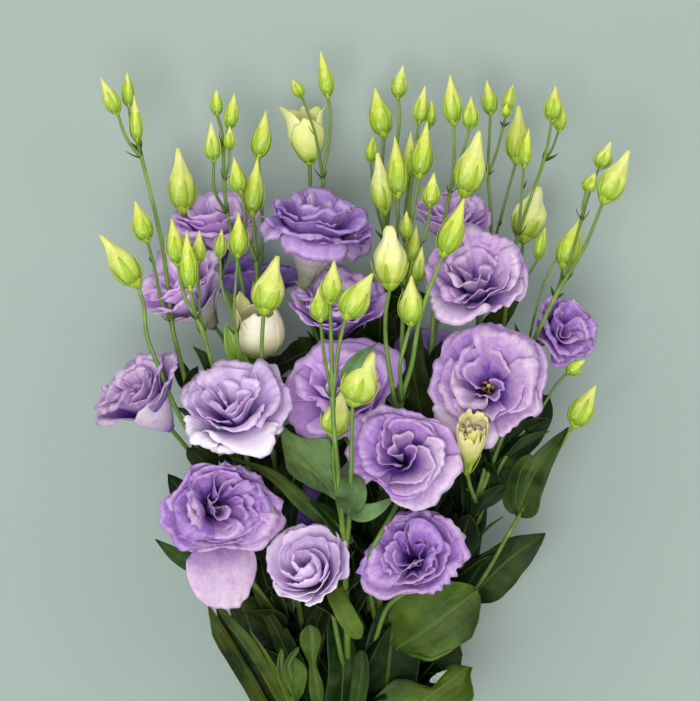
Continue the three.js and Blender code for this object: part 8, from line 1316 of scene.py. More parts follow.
    ["spray_far_left", [[-28.8, -130.4, 22.3], [-32.7, -113.5, 25.9], [-34.3, -96.2, 26.8], [-33.7, -79.6, 21.1]], 14.2, [-0.3, -0.4, 0.84], 0.14],
    ["spray_left_front", [[-32.5, -94.2, 61.1], [-29.5, -85.3, 71.5], [-23.6, -80.3, 82.1], [-15.3, -79.2, 89.1]], 11.9, [-0.43, 0.14, 0.78], 0.22],
    ["spray_left_centre", [[-15.5, -137.5, 20], [-15.4, -119.4, 22.7], [-13.1, -101.9, 21.6], [-8.7, -86, 12.8]], 17.5, [-0.34, -0.06, 0.64], 0.27],
    ["spray_upper_left", [[-29.8, -93.4, 27.5], [-30.1, -75.6, 28.4], [-28.4, -58.1, 27.3], [-25, -41.9, 20.2]], 16.1, [-0.24, -0.03, 1.14], 0.2],
    ["spray_far_left", [[-50.5, -71.3, 46.7], [-49.6, -60.6, 52.1], [-46.3, -51.2, 58.1], [-40.9, -43.4, 61.5]], 9.5, [-0.42, 0.07, 0.84], 0.13],
    ["spray_front", [[-7.3, -112.6, 61.5], [-11, -98.6, 70.5], [-16.6, -84.3, 77.7], [-23.7, -70.8, 79]], 16.9, [0.04, -0.31, 0.84], 0.16],
    ["spray_right", [[15.4, -115.5, 33.8], [25.1, -105.7, 37.1], [36.8, -99.1, 38.9], [49.7, -95.8, 36.1]], 13.9, [-0.3, -0.19, 0.46], 0.18],
    ["spray_centre_back", [[-8.7, -126.1, 16.4], [-18.4, -111.8, 20.7], [-31.1, -100.3, 23.2], [-45.8, -92, 19.6]], 17.4, [0.49, -0.16, 1.02], 0.01],
    ["spray_left_leaning", [[-41.4, -80.3, 58.8], [-36.9, -65.8, 62], [-28.6, -53.8, 62.4], [-17.2, -44.9, 56.7]], 13.1, [-0.39, -0.02, 0.6], 0.11],
    ["spray_right", [[17.7, -104.1, 39.4], [20.7, -94.4, 50.3], [22.8, -88.1, 63], [23.9, -85.4, 73.4]], 12.3, [0.21, 0.16, 0.3], 0.23],
    ["spray_centre_right", [[0.8, -142, 18.1], [-3.4, -130.8, 22.9], [-10.3, -121.6, 27.9], [-19.2, -114.8, 29.7]], 13.1, [0.18, -0.03, 0.9], 0.12],
    ["spray_left_leaning", [[-22.3, -142.3, 25], [-30.9, -134.1, 29.1], [-41.4, -129.1, 32.4], [-53, -127.5, 31.7]], 10.5, [0.09, 0, 0.49], 0.24],
    ["spray_top_left", [[-15.6, -77.2, 29.5], [-16.6, -64.9, 24.7], [-17.6, -55.4, 16.6], [-18.7, -49, 2.9]], 10.6, [-0.21, -0.14, 1.07], 0.1],
    ["spray_left_front", [[-33.3, -90.1, 62], [-29.4, -73.1, 66.7], [-21.6, -57.9, 68.9], [-10.4, -45.1, 64.8]], 17.3, [0, -0.39, 0.82], 0.05],
    ["spray_far_right", [[14.5, -121.8, 41.6], [19.7, -109.6, 45.1], [24.6, -97.3, 45.5], [29.1, -85.4, 39.9]], 12.7, [0.06, 0.07, 1.16], 0.12],
    ["spray_far_left", [[-32.1, -123.6, 27.1], [-30.8, -112.4, 34.1], [-25.9, -102.7, 40.7], [-17.8, -95.1, 43.4]], 13.3, [-0.12, -0.08, 0.69], 0.2],
]
# how far the rim of each open flower reaches: heading in degrees, distance in millimetres
OUTLINES = {
    "bloom_left_front": [[-163, 26.6], [-136, 20], [-99, 21.7], [-79, 25.4], [-59, 31], [-44, 30.8], [-31, 26.6], [-12, 29.1], [2, 32.4], [23, 29.4], [49, 31.8], [70, 22.2], [105, 24.3], [131, 28.3], [160, 30.7], [173, 31.3]],
    "bloom_lower_left": [[-172, 33.9], [-160, 36.4], [-148, 36.3], [-128, 32.7], [-110, 26.2], [-86, 22.5], [-64, 25.6], [-53, 32.3], [-33, 34.7], [-15, 37], [3, 33.4], [26, 25], [60, 22.4], [95, 24.3], [117, 29], [136, 29.7], [159, 29.7], [177, 35.8]],
    "bloom_right_front": [[-175, 33.6], [-166, 32.2], [-143, 33.2], [-116, 33.1], [-94, 33], [-73, 30.3], [-50, 27.1], [-29, 34.3], [-12, 30.6], [13, 34.7], [28, 36.4], [44, 37.4], [67, 33.2], [91, 33.7], [114, 35.2], [136, 35], [145, 32.3], [163, 31.1]],
    "bloom_centre_right_front": [[-158, 27.7], [-132, 22.9], [-104, 26.2], [-79, 30.1], [-57, 31.5], [-48, 27], [-30, 28.9], [-8, 31.7], [14, 30.7], [36, 28.9], [61, 23.8], [91, 21.9], [110, 27.6], [128, 29.9], [147, 31.1], [161, 29.9], [176, 28.3]],
    "bloom_lower_right": [[-174, 24.9], [-157, 32.8], [-142, 35.3], [-123, 31.9], [-107, 23.8], [-76, 21.7], [-42, 24.4], [-18, 23.6], [-11, 29.9], [20, 27.8], [45, 26.3], [72, 26.3], [96, 21.9], [113, 23.1], [130, 20], [160, 20]],
    "bloom_upper_right": [[-171, 28.9], [-149, 28.6], [-132, 31.2], [-116, 27.2], [-87, 19.5], [-47, 21.5], [-24, 26.4], [-4, 29.1], [16, 29.1], [37, 30.3], [61, 25.3], [97, 27.9], [120, 28.7], [146, 30.5], [165, 30.1]],
    "bloom_right_side": [[-161, 19.9], [-135, 21.1], [-108, 24.1], [-89, 22.3], [-69, 19.1], [-38, 22.4], [-2, 20.1], [68, 14], [107, 18.7], [133, 20.1], [170, 20.2]],
    "bloom_lower_small": [[-173, 21.7], [-149, 22.6], [-125, 21.4], [-94, 19.5], [-71, 18], [-39, 18.5], [-9, 20], [18, 22.5], [40, 24.4], [63, 24], [90, 21.9], [117, 22.9], [142, 22.7], [163, 21.6]],
    "bloom_centre": [[-176, 34.9], [-157, 35.3], [-139, 35.8], [-122, 34.3], [-101, 28.5], [-70, 23.9], [-34, 22.1], [-11, 23], [8, 29.5], [18, 35.3], [35, 34.3], [56, 32.8], [82, 29.2], [107, 29], [131, 31], [151, 31], [167, 33.9]],
}
TIE_Y = -182
TIE_SLOTS = [[-13.06, 4.05], [-8.3, 4.05], [-3.56, 4.05], [1.2, 4.05], [-15.43, 8.2], [-10.68, 8.2], [-5.93, 8.2], [-1.18, 8.2], [3.57, 8.2], [-13.06, 12.35], [-8.3, 12.35], [-3.56, 12.35], [1.2, 12.35], [-10.68, 16.5], [-5.93, 16.5], [-1.18, 16.5]]
STEM_AT_TIE = 2.1

# the lilac petal and its copies: the violet one is darker, partly the flower's own deeper violet and partly painted
# shade; the shaded one is painted shade; the light one is paler, partly the flower's own paler colour and partly
# painted light; the palest one is painted light on petals that face the lamp; the far one is brighter and bluer,
# painted light on low flowers that lie in shade
PETAL = petal_material("petal_lilac", srgb(68, 16, 144), srgb(132, 60, 204), srgb(206, 162, 216), srgb(222, 194, 215), srgb(246, 238, 240), srgb(146, 86, 202), 0.30)
VIOLET_HALF_SHADE = petal_material("petal_violet_half_shade", srgb(78, 32, 150), srgb(130, 76, 200), srgb(192, 150, 218), srgb(212, 182, 224), srgb(234, 218, 238), srgb(146, 94, 202), 0.30)
LIGHT_PAINTED_LIT = petal_material("petal_light_painted_lit", srgb(100, 54, 164), srgb(160, 112, 212), srgb(228, 206, 238), srgb(246, 232, 244), srgb(253, 248, 252), srgb(178, 138, 214), 0.46)
SHADED = petal_material("petal_shaded", srgb(62, 28, 128), srgb(102, 62, 180), srgb(158, 116, 210), srgb(184, 150, 216), srgb(200, 178, 224), srgb(116, 78, 186), 0.30)
PALEST_PAINTED_LIT = petal_material("petal_palest_painted_lit", srgb(126, 84, 184), srgb(192, 160, 226), srgb(244, 234, 247), srgb(252, 246, 251), srgb(255, 253, 255), srgb(212, 188, 232), 0.30)
FAR_PAINTED_LIFT = petal_material("petal_far_painted_lift", srgb(108, 60, 168), srgb(182, 130, 222), srgb(244, 208, 252), srgb(250, 228, 252), srgb(254, 244, 254), srgb(198, 154, 230), 0.46)
HANGING = petal_material("petal_hanging", srgb(96, 40, 150), srgb(154, 88, 184), srgb(214, 178, 214), srgb(226, 202, 216), srgb(246, 238, 240), srgb(168, 118, 196), 0.30)
TUBE = petal_material("petal_tube", srgb(128, 142, 84), srgb(186, 184, 160), srgb(222, 208, 222), srgb(228, 208, 232), srgb(244, 236, 240), srgb(168, 148, 178), 0.25)
CREAMY = petal_material("petal_cream", srgb(160, 180, 60), srgb(216, 224, 130), srgb(250, 248, 204), srgb(254, 252, 226), srgb(255, 255, 242), srgb(228, 230, 164))
FADING = petal_material("petal_fading", srgb(150, 172, 42), srgb(206, 214, 76), srgb(232, 232, 104), srgb(244, 242, 160), srgb(252, 250, 210), srgb(190, 194, 98))
DRIED = petal_material("petal_dried", srgb(160, 150, 90), srgb(196, 182, 120), srgb(230, 216, 176), srgb(222, 200, 164), srgb(246, 240, 206), srgb(182, 146, 120))
BUD = bud_material()
SEPAL = sepal_material()
WRAP = sepal_material("bud_sepal", (118, 156, 40), (152, 184, 44), (150, 178, 52), (196, 210, 86), 0.22)
STEM = stem_material()
LEAF = leaf_material()
WAXY = leaf_material("leaf_waxy", 0.50)
WAXIER = leaf_material("leaf_waxier", 0.72)
# a small pale patch set on the wavy low leaf: painted glint
GLINT_PATCH = stamen_material("leaf_glint_patch", srgb(104, 124, 100), srgb(176, 188, 174))
CUT = stamen_material("cut_end", srgb(168, 190, 120), srgb(206, 214, 160))
FILAMENT = stamen_material("filament", srgb(150, 170, 80), srgb(190, 200, 120))
ANTHER = stamen_material("anther", srgb(120, 52, 10), srgb(206, 134, 34))

# how each flower differs from the next: the lit-side setting paints light onto the petals that face that way, and mat
# picks the lilac petal or a darker or paler copy of it, as painted shade and painted light
HANG = [(0.07, 0.0), (0.30, 0.12), (0.72, 0.22), (1.05, 0.22), (1.35, 0.14), (1.60, 0.04)]
SKIRT2 = [(0.08, 0.05), (0.24, 0.36), (0.5, 0.64), (0.80, 0.76), (0.97, 0.66), (1.0, 0.54)]
CUP = [(0.10, 0.0), (0.27, 0.16), (0.44, 0.36), (0.56, 0.56), (0.64, 0.74)]
PIPE = [(0.08, -0.10), (0.16, 0.02), (0.26, 0.20), (0.45, 0.42), (0.62, 0.55)]
LOW = [(0.08, 0.0), (0.3, 0.24), (0.58, 0.52), (0.82, 0.68), (0.94, 0.62)]
SKIRT = [(0.08, 0.05), (0.24, 0.36), (0.5, 0.64), (0.84, 0.70), (1.0, 0.52), (1.04, 0.36)]
LEFT_CUT = (("outer", 2),)
# half-open and faded buds and the cream flower: profile, turn from the side that faces up, half angle, options
GOBLET = [(0.08, -0.02), (0.36, 0.16), (0.72, 0.34), (0.85, 0.50), (0.84, 0.70), (0.92, 0.86), (1.14, 1.02)]
FUNNEL = [(0.10, 0.0), (0.34, 0.20), (0.62, 0.42), (0.82, 0.62), (0.90, 0.78), (0.90, 0.92), (0.88, 1.04)]
EGG = [(0.10, 0.0), (0.55, 0.12), (0.92, 0.38), (0.94, 0.62), (0.72, 0.86), (0.40, 1.0)]
VASE = [(0.10, 0.0), (0.50, 0.14), (0.86, 0.40), (0.94, 0.66), (0.96, 0.90), (1.04, 1.12)]
O_ = dict(size=(21, 19), narrow=0.85, wave=0.03, waves=1.4, ruffle=0.02, frill=0.012, thick=0.45)
OPENING = [
    (GOBLET, 150, 66, dict(O_, tone=0.8, point=0.40, sharp=1.4)), (GOBLET, -150, 66, dict(O_, tone=0.9, point=0.42, sharp=1.4, length=1.0)),
    (EGG, 178, 60, dict(O_, tone=0.9, point=0.5, sharp=1.3, length=1.08)), (EGG, 10, 60, dict(O_, tone=0.8, point=0.3, length=0.72)),
    (GOBLET, 62, 62, dict(O_, tone=0.95, point=0.50, sharp=1.3, lean=0.35)), (GOBLET, -40, 68, dict(O_, tone=0.9, point=0.52, sharp=1.3, lean=-0.55, length=1.04))]
FADED = [(FUNNEL, t, 46, dict(O_, mat=3, tone=k, point=0.08, notch=4.4, frill=0.07, ruffle=0.05, length=l, size=(27, 14))) for t, k, l in ((0, 0.7, 0.86), (72, 0.6, 0.92), (144, 0.8, 1.0), (216, 0.7, 1.02), (288, 0.8, 0.90))]
CRUMPLE = [([(0.5 * q, 0.45), (0.8 * q, 0.62), (q, 0.78), (1.1 * q, 0.88), (0.9 * q, 0.97)], 47 * k, 40 if q > 0.3 else 60, dict(size=(19, 13), tone=(0.2, 0.9, 0.5)[k % 3], wave=0.10, waves=2.6, ruffle=0.12, frill=0.08, spiral=0.10, point=0.2, narrow=0.9, mat=2 if k % 4 else 3, length=0.84 + 0.08 * (k % 3), notch=3.0)) for k, q in enumerate((0.66, 0.42, 0.62, 0.24, 0.70, 0.40, 0.64, 0.22, 0.68, 0.44, 0.60))]
CREAM = [
    (EGG, 180, 66, dict(O_, tone=0.8, point=0.3, length=0.9)), (VASE, -120, 52, dict(O_, tone=0.9, point=0.4, sharp=1.5, mat=1, length=1.0)), (EGG, 110, 60, dict(O_, tone=0.7, point=0.25)),
    (EGG, 62, 58, dict(O_, tone=0.9, point=0.24, length=0.92)), (VASE, -62, 46, dict(O_, tone=0.95, point=0.42, sharp=1.5, mat=1, length=0.96)), (EGG, 2, 60, dict(O_, tone=1.0, point=0.24, length=0.96)),
    (VASE, -34, 34, dict(O_, tone=0.6, point=0.45, sharp=1.5, length=0.84, wave=0.08, ruffle=0.06))]
LOOK = {
    "bloom_left_front": dict(seed=1, roll=0.4, mat=3, tone=0.56, painted_lit_side=(-85, 0.6), ruffle=0.75, extra=[
        (LOW, -134, 34, dict(mat=2, tone=0.85, wave=0.05, waves=1.6, ruffle=0.03, frill=0.014, point=0.08, tilt=0.0)),
        (LOW, -98, 36, dict(mat=2, tone=1.0, wave=0.02, waves=1.4, ruffle=0.03, frill=0.014, point=0.08, tilt=-0.05)),
        (LOW, -60, 36, dict(mat=2, tone=1.0, wave=0.05, waves=1.4, ruffle=0.03, frill=0.014, point=0.08, tilt=0.0))]),
    "bloom_lower_left": dict(seed=2, roll=0.0, tone=0.20, painted_lit_side=(-80, 0.40), plan=(5, 6, 5, 4), wild=1.5, lean=(-5, -2), extra=[
        (HANG, -80, 38, dict(mat=2, tone=0.66, show=0.16, wave=0.03, waves=1.2, ruffle=0.030, frill=0.016, point=0.46, sharp=2.1, notch=0.8, narrow=0.8, taper=0.12, size=(45, 25)))]),
    "bloom_right_front": dict(seed=3, roll=2.6, tone=0.42, painted_lit_side=(-120, 0.2), wild=1.3),
    "bloom_lower_right": dict(seed=4, roll=1.0, tone=0.20, painted_lit_side=(-100, 0.15), plan=(5, 5, 5, 3), wild=1.4, shut=True),
    "bloom_centre_right_front": dict(seed=5, roll=2.0, tone=0.34, painted_lit_side=(-30, 0.3), wild=1.4, shut=True),
    "bloom_upper_right": dict(seed=3, roll=3.0, tone=0.46, wild=1.2),
    "bloom_top_centre": dict(seed=1, roll=0.0, tone=0.34, mat=1, extra=[
        (PIPE, -101, 60, dict(mat=1, tone=0.4, wave=0.02, ruffle=0.01, frill=0.0)), (PIPE, 19, 64, dict(mat=1, tone=0.4, wave=0.02, ruffle=0.01, frill=0.0)), (PIPE, 139, 64, dict(mat=1, tone=0.4, wave=0.02, ruffle=0.01, frill=0.0)),
        (SKIRT2, -148, 34, dict(tone=0.5, wave=0.05, waves=1.6, ruffle=0.03, frill=0.014, point=0.10)),
        (SKIRT2, -102, 40, dict(tone=0.5, wave=0.05, waves=1.4, ruffle=0.03, frill=0.014, point=0.10, tilt=0.03)),
        (SKIRT2, -56, 36, dict(tone=0.5, wave=0.05, waves=1.6, ruffle=0.03, frill=0.014, point=0.10))]),
    "bloom_right_side": dict(seed=2, roll=1.2, tone=0.24, painted_lit_side=(20, 0.2), wild=1.3),
    "bloom_left_side": dict(seed=5, roll=0.0, tone=0.42, ruffle=0.8, cut=LEFT_CUT, extra=[
        (CUP, -50, 50, dict(tone=1.0, show=0.5, wave=0.012, waves=1.2, ruffle=0.012, frill=0.006, point=0.16, narrow=0.9))]),
    "bloom_centre": dict(seed=1, roll=2.2, tone=0.42, mat=4),
    "bloom_lower_small": dict(seed=2, roll=0.0, tone=0.90, mat=3, painted_lit_side=(-85, 0.6), wild=1.35),
    "bloom_left_upper": dict(seed=4, roll=0.5, tone=0.95, mat=4, extra=[
        (PIPE, -53, 62, dict(mat=1, tone=0.8, wave=0.02, ruffle=0.01, frill=0.0, scale=1.3)), (PIPE, 67, 62, dict(mat=1, tone=0.8, wave=0.02, ruffle=0.01, frill=0.0, scale=1.3)), (PIPE, 187, 62, dict(mat=1, tone=0.8, wave=0.02, ruffle=0.01, frill=0.0, scale=1.3))]),
    "bloom_upper_left_back": dict(seed=5, roll=0.8, tone=0.72, mat=4, plan=(5, 4, 2, 1), extra=[
        (SKIRT2, -70, 44, dict(tone=0.7, wave=0.04, waves=1.2, ruffle=0.02, frill=0.012, point=0.10)), (SKIRT2, -140, 40, dict(tone=0.5, wave=0.04, waves=1.2, ruffle=0.02, frill=0.012, point=0.10))]),
    "bloom_centre_back": dict(seed=3, roll=0.2, tone=0.42, mat=4),
    "bloom_top_right_back": dict(seed=2, roll=0.5, tone=0.66, mat=4),
}
# flowers further back have a coarser mesh
FINENESS = {"bloom_lower_small": 1.06, "bloom_centre": 0.74, "bloom_left_side": 0.74, "bloom_right_side": 0.74, "bloom_left_upper": 0.66, "bloom_upper_left_back": 0.66, "bloom_centre_back": 0.66, "bloom_top_right_back": 0.66,
            "bloom_back_centre": 0.48, "bloom_back_left": 0.48, "bloom_back_right": 0.48}
# leaves: shape, tone, wave of the margin; the tone also paints light and shade, darker for leaves in shadow and lighter
# for lit ones
FORM = {
    "leaf_low_left_outer": (1, 0.46, 0.14), "leaf_low_left_edge": (1, 0.54, 0.06), "leaf_low_left_inner": (0, 0.30, 0.06), "leaf_low_curl": (1, 0.86, 0.5),
    "leaf_low_centre_left": (3, 0.80, 0.06), "leaf_low_centre": (1, 0.40, 0.08), "leaf_low_bright": (1, 0.82, 0.08), "leaf_low_strip": (4, 0.58, 0.06),
    "leaf_low_right_back": (1, 0.34, 0.12), "leaf_right_broad": (1, 0.70, 0.20), "leaf_right_low": (1, 0.66, 0.46), "leaf_far_right": (0, 0.20, 0.14),
    "leaf_right_vertical": (0, 0.30, 0.06), "leaf_right_upper": (1, 0.46, 0.10), "leaf_right_stem": (5, 0.54, 0.12), "leaf_centre_big": (0, 0.58, 0.10),
    "leaf_centre_narrow": (2, 0.60, 0.06), "leaf_cup": (1, 0.62, 0.06), "leaf_front_right": (2, 0.64, 0.06), "leaf_front_bract": (2, 0.66, 0.04),
}


# leaves with two different halves: along the midrib, right and left half width in parts of w
OWN = {
    "leaf_centre_big": (1.0, [(0, 0.08, 0.08), (0.15, 0.30, 0.35), (0.30, 0.76, 0.75), (0.44, 1.16, 0.98), (0.54, 1.40, 1.04), (0.60, 1.32, 1.00), (0.66, 0.92, 0.86), (0.73, 0.56, 0.70), (0.80, 0.34, 0.52), (0.88, 0.18, 0.34), (0.95, 0.10, 0.18), (1, 0.03, 0.03)]),
    "leaf_right_broad": (1.0, [(0, 0.05, 0.05), (0.18, 0.07, 0.07), (0.25, 0.12, 0.50), (0.35, 0.28, 1.10), (0.49, 0.78, 1.46), (0.63, 0.98, 1.46), (0.77, 1.03, 1.20), (0.88, 0.82, 0.80), (0.95, 0.50, 0.46), (0.985, 0.26, 0.24), (1, 0.03, 0.03)]),
    "leaf_right_low": (1.0, [(0, 0.1, 0.2), (0.15, 0.4, 0.8), (0.3, 0.8, 1.15), (0.46, 1.0, 1.32), (0.56, 1.05, 1.28), (0.66, 1.08, 1.16), (0.70, 1.10, 0.88), (0.73, 1.12, 0.45), (0.76, 1.12, 0.20), (0.81, 1.1, 0.22), (0.87, 1.08, 0.42), (0.91, 0.96, 0.52), (0.935, 0.6, 0.48), (0.96, 0.24, 0.34), (1, 0.03, 0.03)]),
    "leaf_low_left_outer": (1.0, [(0, 0.3, 0.3), (0.25, 0.34, 0.5), (0.5, 0.26, 0.62), (0.7, 0.14, 0.66), (0.80, 0.12, 0.68), (0.88, 0.10, 0.60), (0.95, 0.08, 0.28), (1, 0.03, 0.03)]),
}
# blades that share a foot with one of the leaves: midrib, half width, roll, fold, tone, shape
BESIDE = {
    # the small blade beside the low right leaf is that pale patch: painted glint
    "leaf_right_low": [([(39.0, -77.4, 101), (44.5, -75.0, 104.5), (51.5, -71.8, 104)], 3.2, 10, -20, 1.0, ROUND_SHAPE)],
    "leaf_right_stem": [([(88.3, 15.7, 97), (86.5, 27, 103), (89, 40, 107), (95, 50, 108)], 6.2, 18, 14, 0.34, ROUND_SHAPE)],
    # the two near-black blades under the outer low-left leaf fill a gap between leaves: painted shade
    "leaf_low_left_outer": [([(-29, -138, 58), (-44, -92, 78), (-58, -60, 87), (-72.0, -21, 91)], 10.0, 0, 8, 0.12, ROUND_SHAPE),
                            ([(-31, -140, 56), (-50, -94, 78), (-67, -62, 88), (-81.5, -33, 92)], 5.6, 0, 8, 0.10, ROUND_SHAPE)],
    "leaf_low_left_edge": [([(-29.5, -112, 96), (-40.6, -82.5, 114), (-51.5, -61.0, 120), (-61.5, -46.0, 121)], 2.4, 34, 16, 0.78, LANCE_SHAPE)],
    "leaf_low_curl": [([(-36.0, -85.5, 110), (-33.4, -76.0, 124), (-33.0, -67.0, 129), (-38.6, -60.0, 128)], 3.9, -28, 26, 0.86, ROUND_SHAPE),
                      ([(-37.4, -85.0, 110), (-42.6, -75.0, 122), (-44.4, -65.5, 126), (-43.6, -56.0, 127)], 2.7, 30, 26, 0.78, ROUND_SHAPE)],
}
# a few paths drawn afresh between the same ends
PATH = {
    "leaf_right_broad": [(21.2, -76.2, 84), (17.1, -62.9, 96), (31.9, -50.8, 110), (49.5, -36.8, 116), (65.1, -24.8, 114)],
    "leaf_low_left_outer": [(-31.2, -141.8, 60), (-53.0, -94.0, 86), (-69.0, -62.3, 96), (-84.9, -35, 100)],
}
SHORT = {356: 0.58, 357: 0.62, 221: 0.8, 203: 0.85, 242: 0.72, 86: 1.3, 102: 1.3, 123: 1.45, 88: 1.15}
BROAD = {86: 1.7, 102: 1.5, 88: 2.3, 123: 1.5}
BARE = (243, 241)
WIDE = {"leaf_low_bright": 0.76, "leaf_low_curl": 0.42, "leaf_low_right_back": 1.25, "leaf_low_left_edge": 0.74}


def piece(geo, name, mats, node):
    ob = geo.make(name, mats)
    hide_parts(node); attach(ob, "root")
    return ob


def arc(P):
    return np.r_[0, np.cumsum(np.linalg.norm(np.diff(P, axis=0), axis=1))]


def bract(geo, p, d, n, L, w, seed, tone=0.7, mat=0):
    """A small pointed leaf at a fork, pressed to the shoot."""
    d = d / np.linalg.norm(d); n = n - d * (n @ d); n = n / max(np.linalg.norm(n), 1e-6)
    pts = [p, p + d * L * 0.35 + n * L * 0.10, p + d * L * 0.7 + n * L * 0.17, p + d * L + n * L * 0.16]
    leaf(geo, pts, w, 0, 22, seed, size=(5, 9), shape=LANCE_SHAPE, tone=tone, thick=0.35, mat=mat, normal=-n, wave=0.0)


for node, tubes in SPRAYS.items():
    g = Geo(); gb = Geo(); rng = np.random.default_rng(sum(map(ord, node)))
    starts = {}
    for t in tubes:
        starts.setdefault(t[1], []).append(np.array(t[2][0][:3]))
    for (name, parent, pts, budspec) in tubes:
        Q = crom(np.array(pts, float), 6); L = arc(Q[:, :3])[-1]
        main_stem = parent is None
        Q = even(Q, int(np.clip(L / (4.0 if main_stem else 3.0), 6, 150)))
        C, r = Q[:, :3], Q[:, 3].copy()
        if not main_stem:
            r[0:2] *= 1.15
        for p in starts.get(name, []):
            r *= 1 + 0.24 * np.exp(-(np.linalg.norm(C - p, axis=1) / 3.2) ** 2)
        v = np.clip((C[:, 1] + 280) / 560, 0, 1)
        # shoots deeper in the bunch are made a darker green: painted shade
        painted_depth_shade = 0.0 if main_stem else 0.7 * float(np.clip((112 - C[2 * len(C) // 3:, 2].mean()) / 70, 0, 1))
        tube(g, C, r, 11 if main_stem else 8, 0, float(np.clip(rng.uniform(0.1, 0.6) + painted_depth_shade, 0, 1)), along=v, capmat=1 if main_stem else None)
        # a pair of small bracts where a shoot leaves its parent
        if not main_stem and C[0, 1] > -20:
            d = C[min(3, len(C) - 1)] - C[0]; d /= np.linalg.norm(d)
            side = np.cross(d, [0, 0, 1.0]); side /= max(np.linalg.norm(side), 1e-6)
            for k in (-1, 1):
                n = side * k + np.array([0, 0, 0.5])
                bract(g, C[0] + n * r[0] * 0.6, d + n * 0.25, n, rng.uniform(5, 10), rng.uniform(0.9, 1.5), int(rng.integers(999)), 0.75, 2)
        # some shoots carry one more bract part of the way up
        if not main_stem and L > 40 and budspec:
            i = int(len(C) * rng.uniform(0.45, 0.7)); d = C[i + 1] - C[i - 1]; d /= np.linalg.norm(d)
            a = rng.uniform(0, 6.28); side = np.cross(d, [0, 0, 1.0]); side /= np.linalg.norm(side); n = side * math.cos(a) + np.cross(side, d) * math.sin(a)
            bract(g, C[i] + n * r[i] * 0.6, d + n * 0.2, n, rng.uniform(4, 8), rng.uniform(0.6, 1.1), int(rng.integers(999)), 0.8, 2)
        if budspec:
            x, y, z, w, kind = budspec
            tip = np.array([x, y, z]); base = C[-1]; sd = int(rng.integers(9999))
            if kind == "opening":
                calyx(gb, *blades(gb, base, tip, w, OPENING, 7)[:1], base, np.linalg.norm(tip - base), 0.8 * w, sd)
            elif kind == "faded":
                tip = tip + np.array([5.6, -1.5, 0]); w = 0.88 * w
                calyx(gb, *blades(gb, base, tip, w, FADED + CRUMPLE, 3)[:1], base, np.linalg.norm(tip - base), 0.62 * w, sd)
            else:
                tone = {"tight": 0.35, "small": 0.2, "big": 0.6, "cream": 0.95}[kind] + rng.uniform(-0.2, 0.2)
                bud(gb, base, tip, w, kind, sd, tone=float(np.clip(tone, 0, 1)), mats=(0, 1))
    piece(g, node.replace("spray", "stems"), [STEM, CUT, LEAF], node)
    if gb.n:
        piece(gb, node.replace("spray", "buds"), [BUD, WRAP, DRIED, FADING], node)

for name, base, face, R, kind, seed in BLOOMS:
    g = Geo(); c = Geo(); o = LOOK.get(name, {}); sd = o.get("seed", seed)
    # back flowers take the shaded copy; the rest take the lilac petal or one of its darker or paler copies, as painted
    # shade and painted light
    mat = CREAMY if kind == "cream" else SHADED if kind == "back" else (PETAL, VIOLET_HALF_SHADE, SHADED, LIGHT_PAINTED_LIT, FAR_PAINTED_LIFT)[o.get("mat", 0)]
    if kind == "cream":
        D = float(np.linalg.norm(np.array(face) - base)); B = basis(np.array(face) - base)
        blades(g, base, np.array(base) + (np.array(face) - base) * 1.0, R * 0.80, CREAM, 4)
        leaf(c, [(-59.5, 103, 89), (-66, 101, 93), (-72, 108, 97), (-75.5, 124, 99)], 4.2, 0, 24, 3, size=(9, 18), tone=0.9, thick=0.45)
        leaf(c, [(-59.5, 103, 89), (-63, 98, 92), (-66.5, 104, 97), (-66, 116, 101)], 3.2, 0, 24, 5, size=(9, 18), tone=0.9, thick=0.45)
    else:
        B, D = flower(g, base, face, R, kind, sd, roll=o.get("roll", 0.0), detail=FINENESS.get(name, 0.87), tone=o.get("tone", 0.5), plan=o.get("plan"), wild=o.get("wild", 1.0), extra=o.get("extra"), ruffle=o.get("ruffle", 1.0), cut=o.get("cut", ()),
                  outline=OUTLINES.get(name), painted_lit_side=o.get("painted_lit_side", (-90, 0.15)))
    piece(g, name + "_petals", [mat, BUD if kind == "cream" else TUBE] + ([PALEST_PAINTED_LIT] if name in ("bloom_left_front", "bloom_lower_small") else [HANGING] if name == "bloom_lower_left" else []), name)
    sepals(c, B, np.array(base, float), R, 0.55 * R, mat=0, seed=seed, flare=0.16, r0=0.07 * R + 0.6)
    if kind == "open" and not o.get("shut"):
        stamens_of(c, B, np.array(base, float), D, seed, (1, 2), high=o.get("high", 0.54), lean=o.get("lean", (0, 0)))
    piece(c, name + "_calyx", [SEPAL, FILAMENT, ANTHER], name)

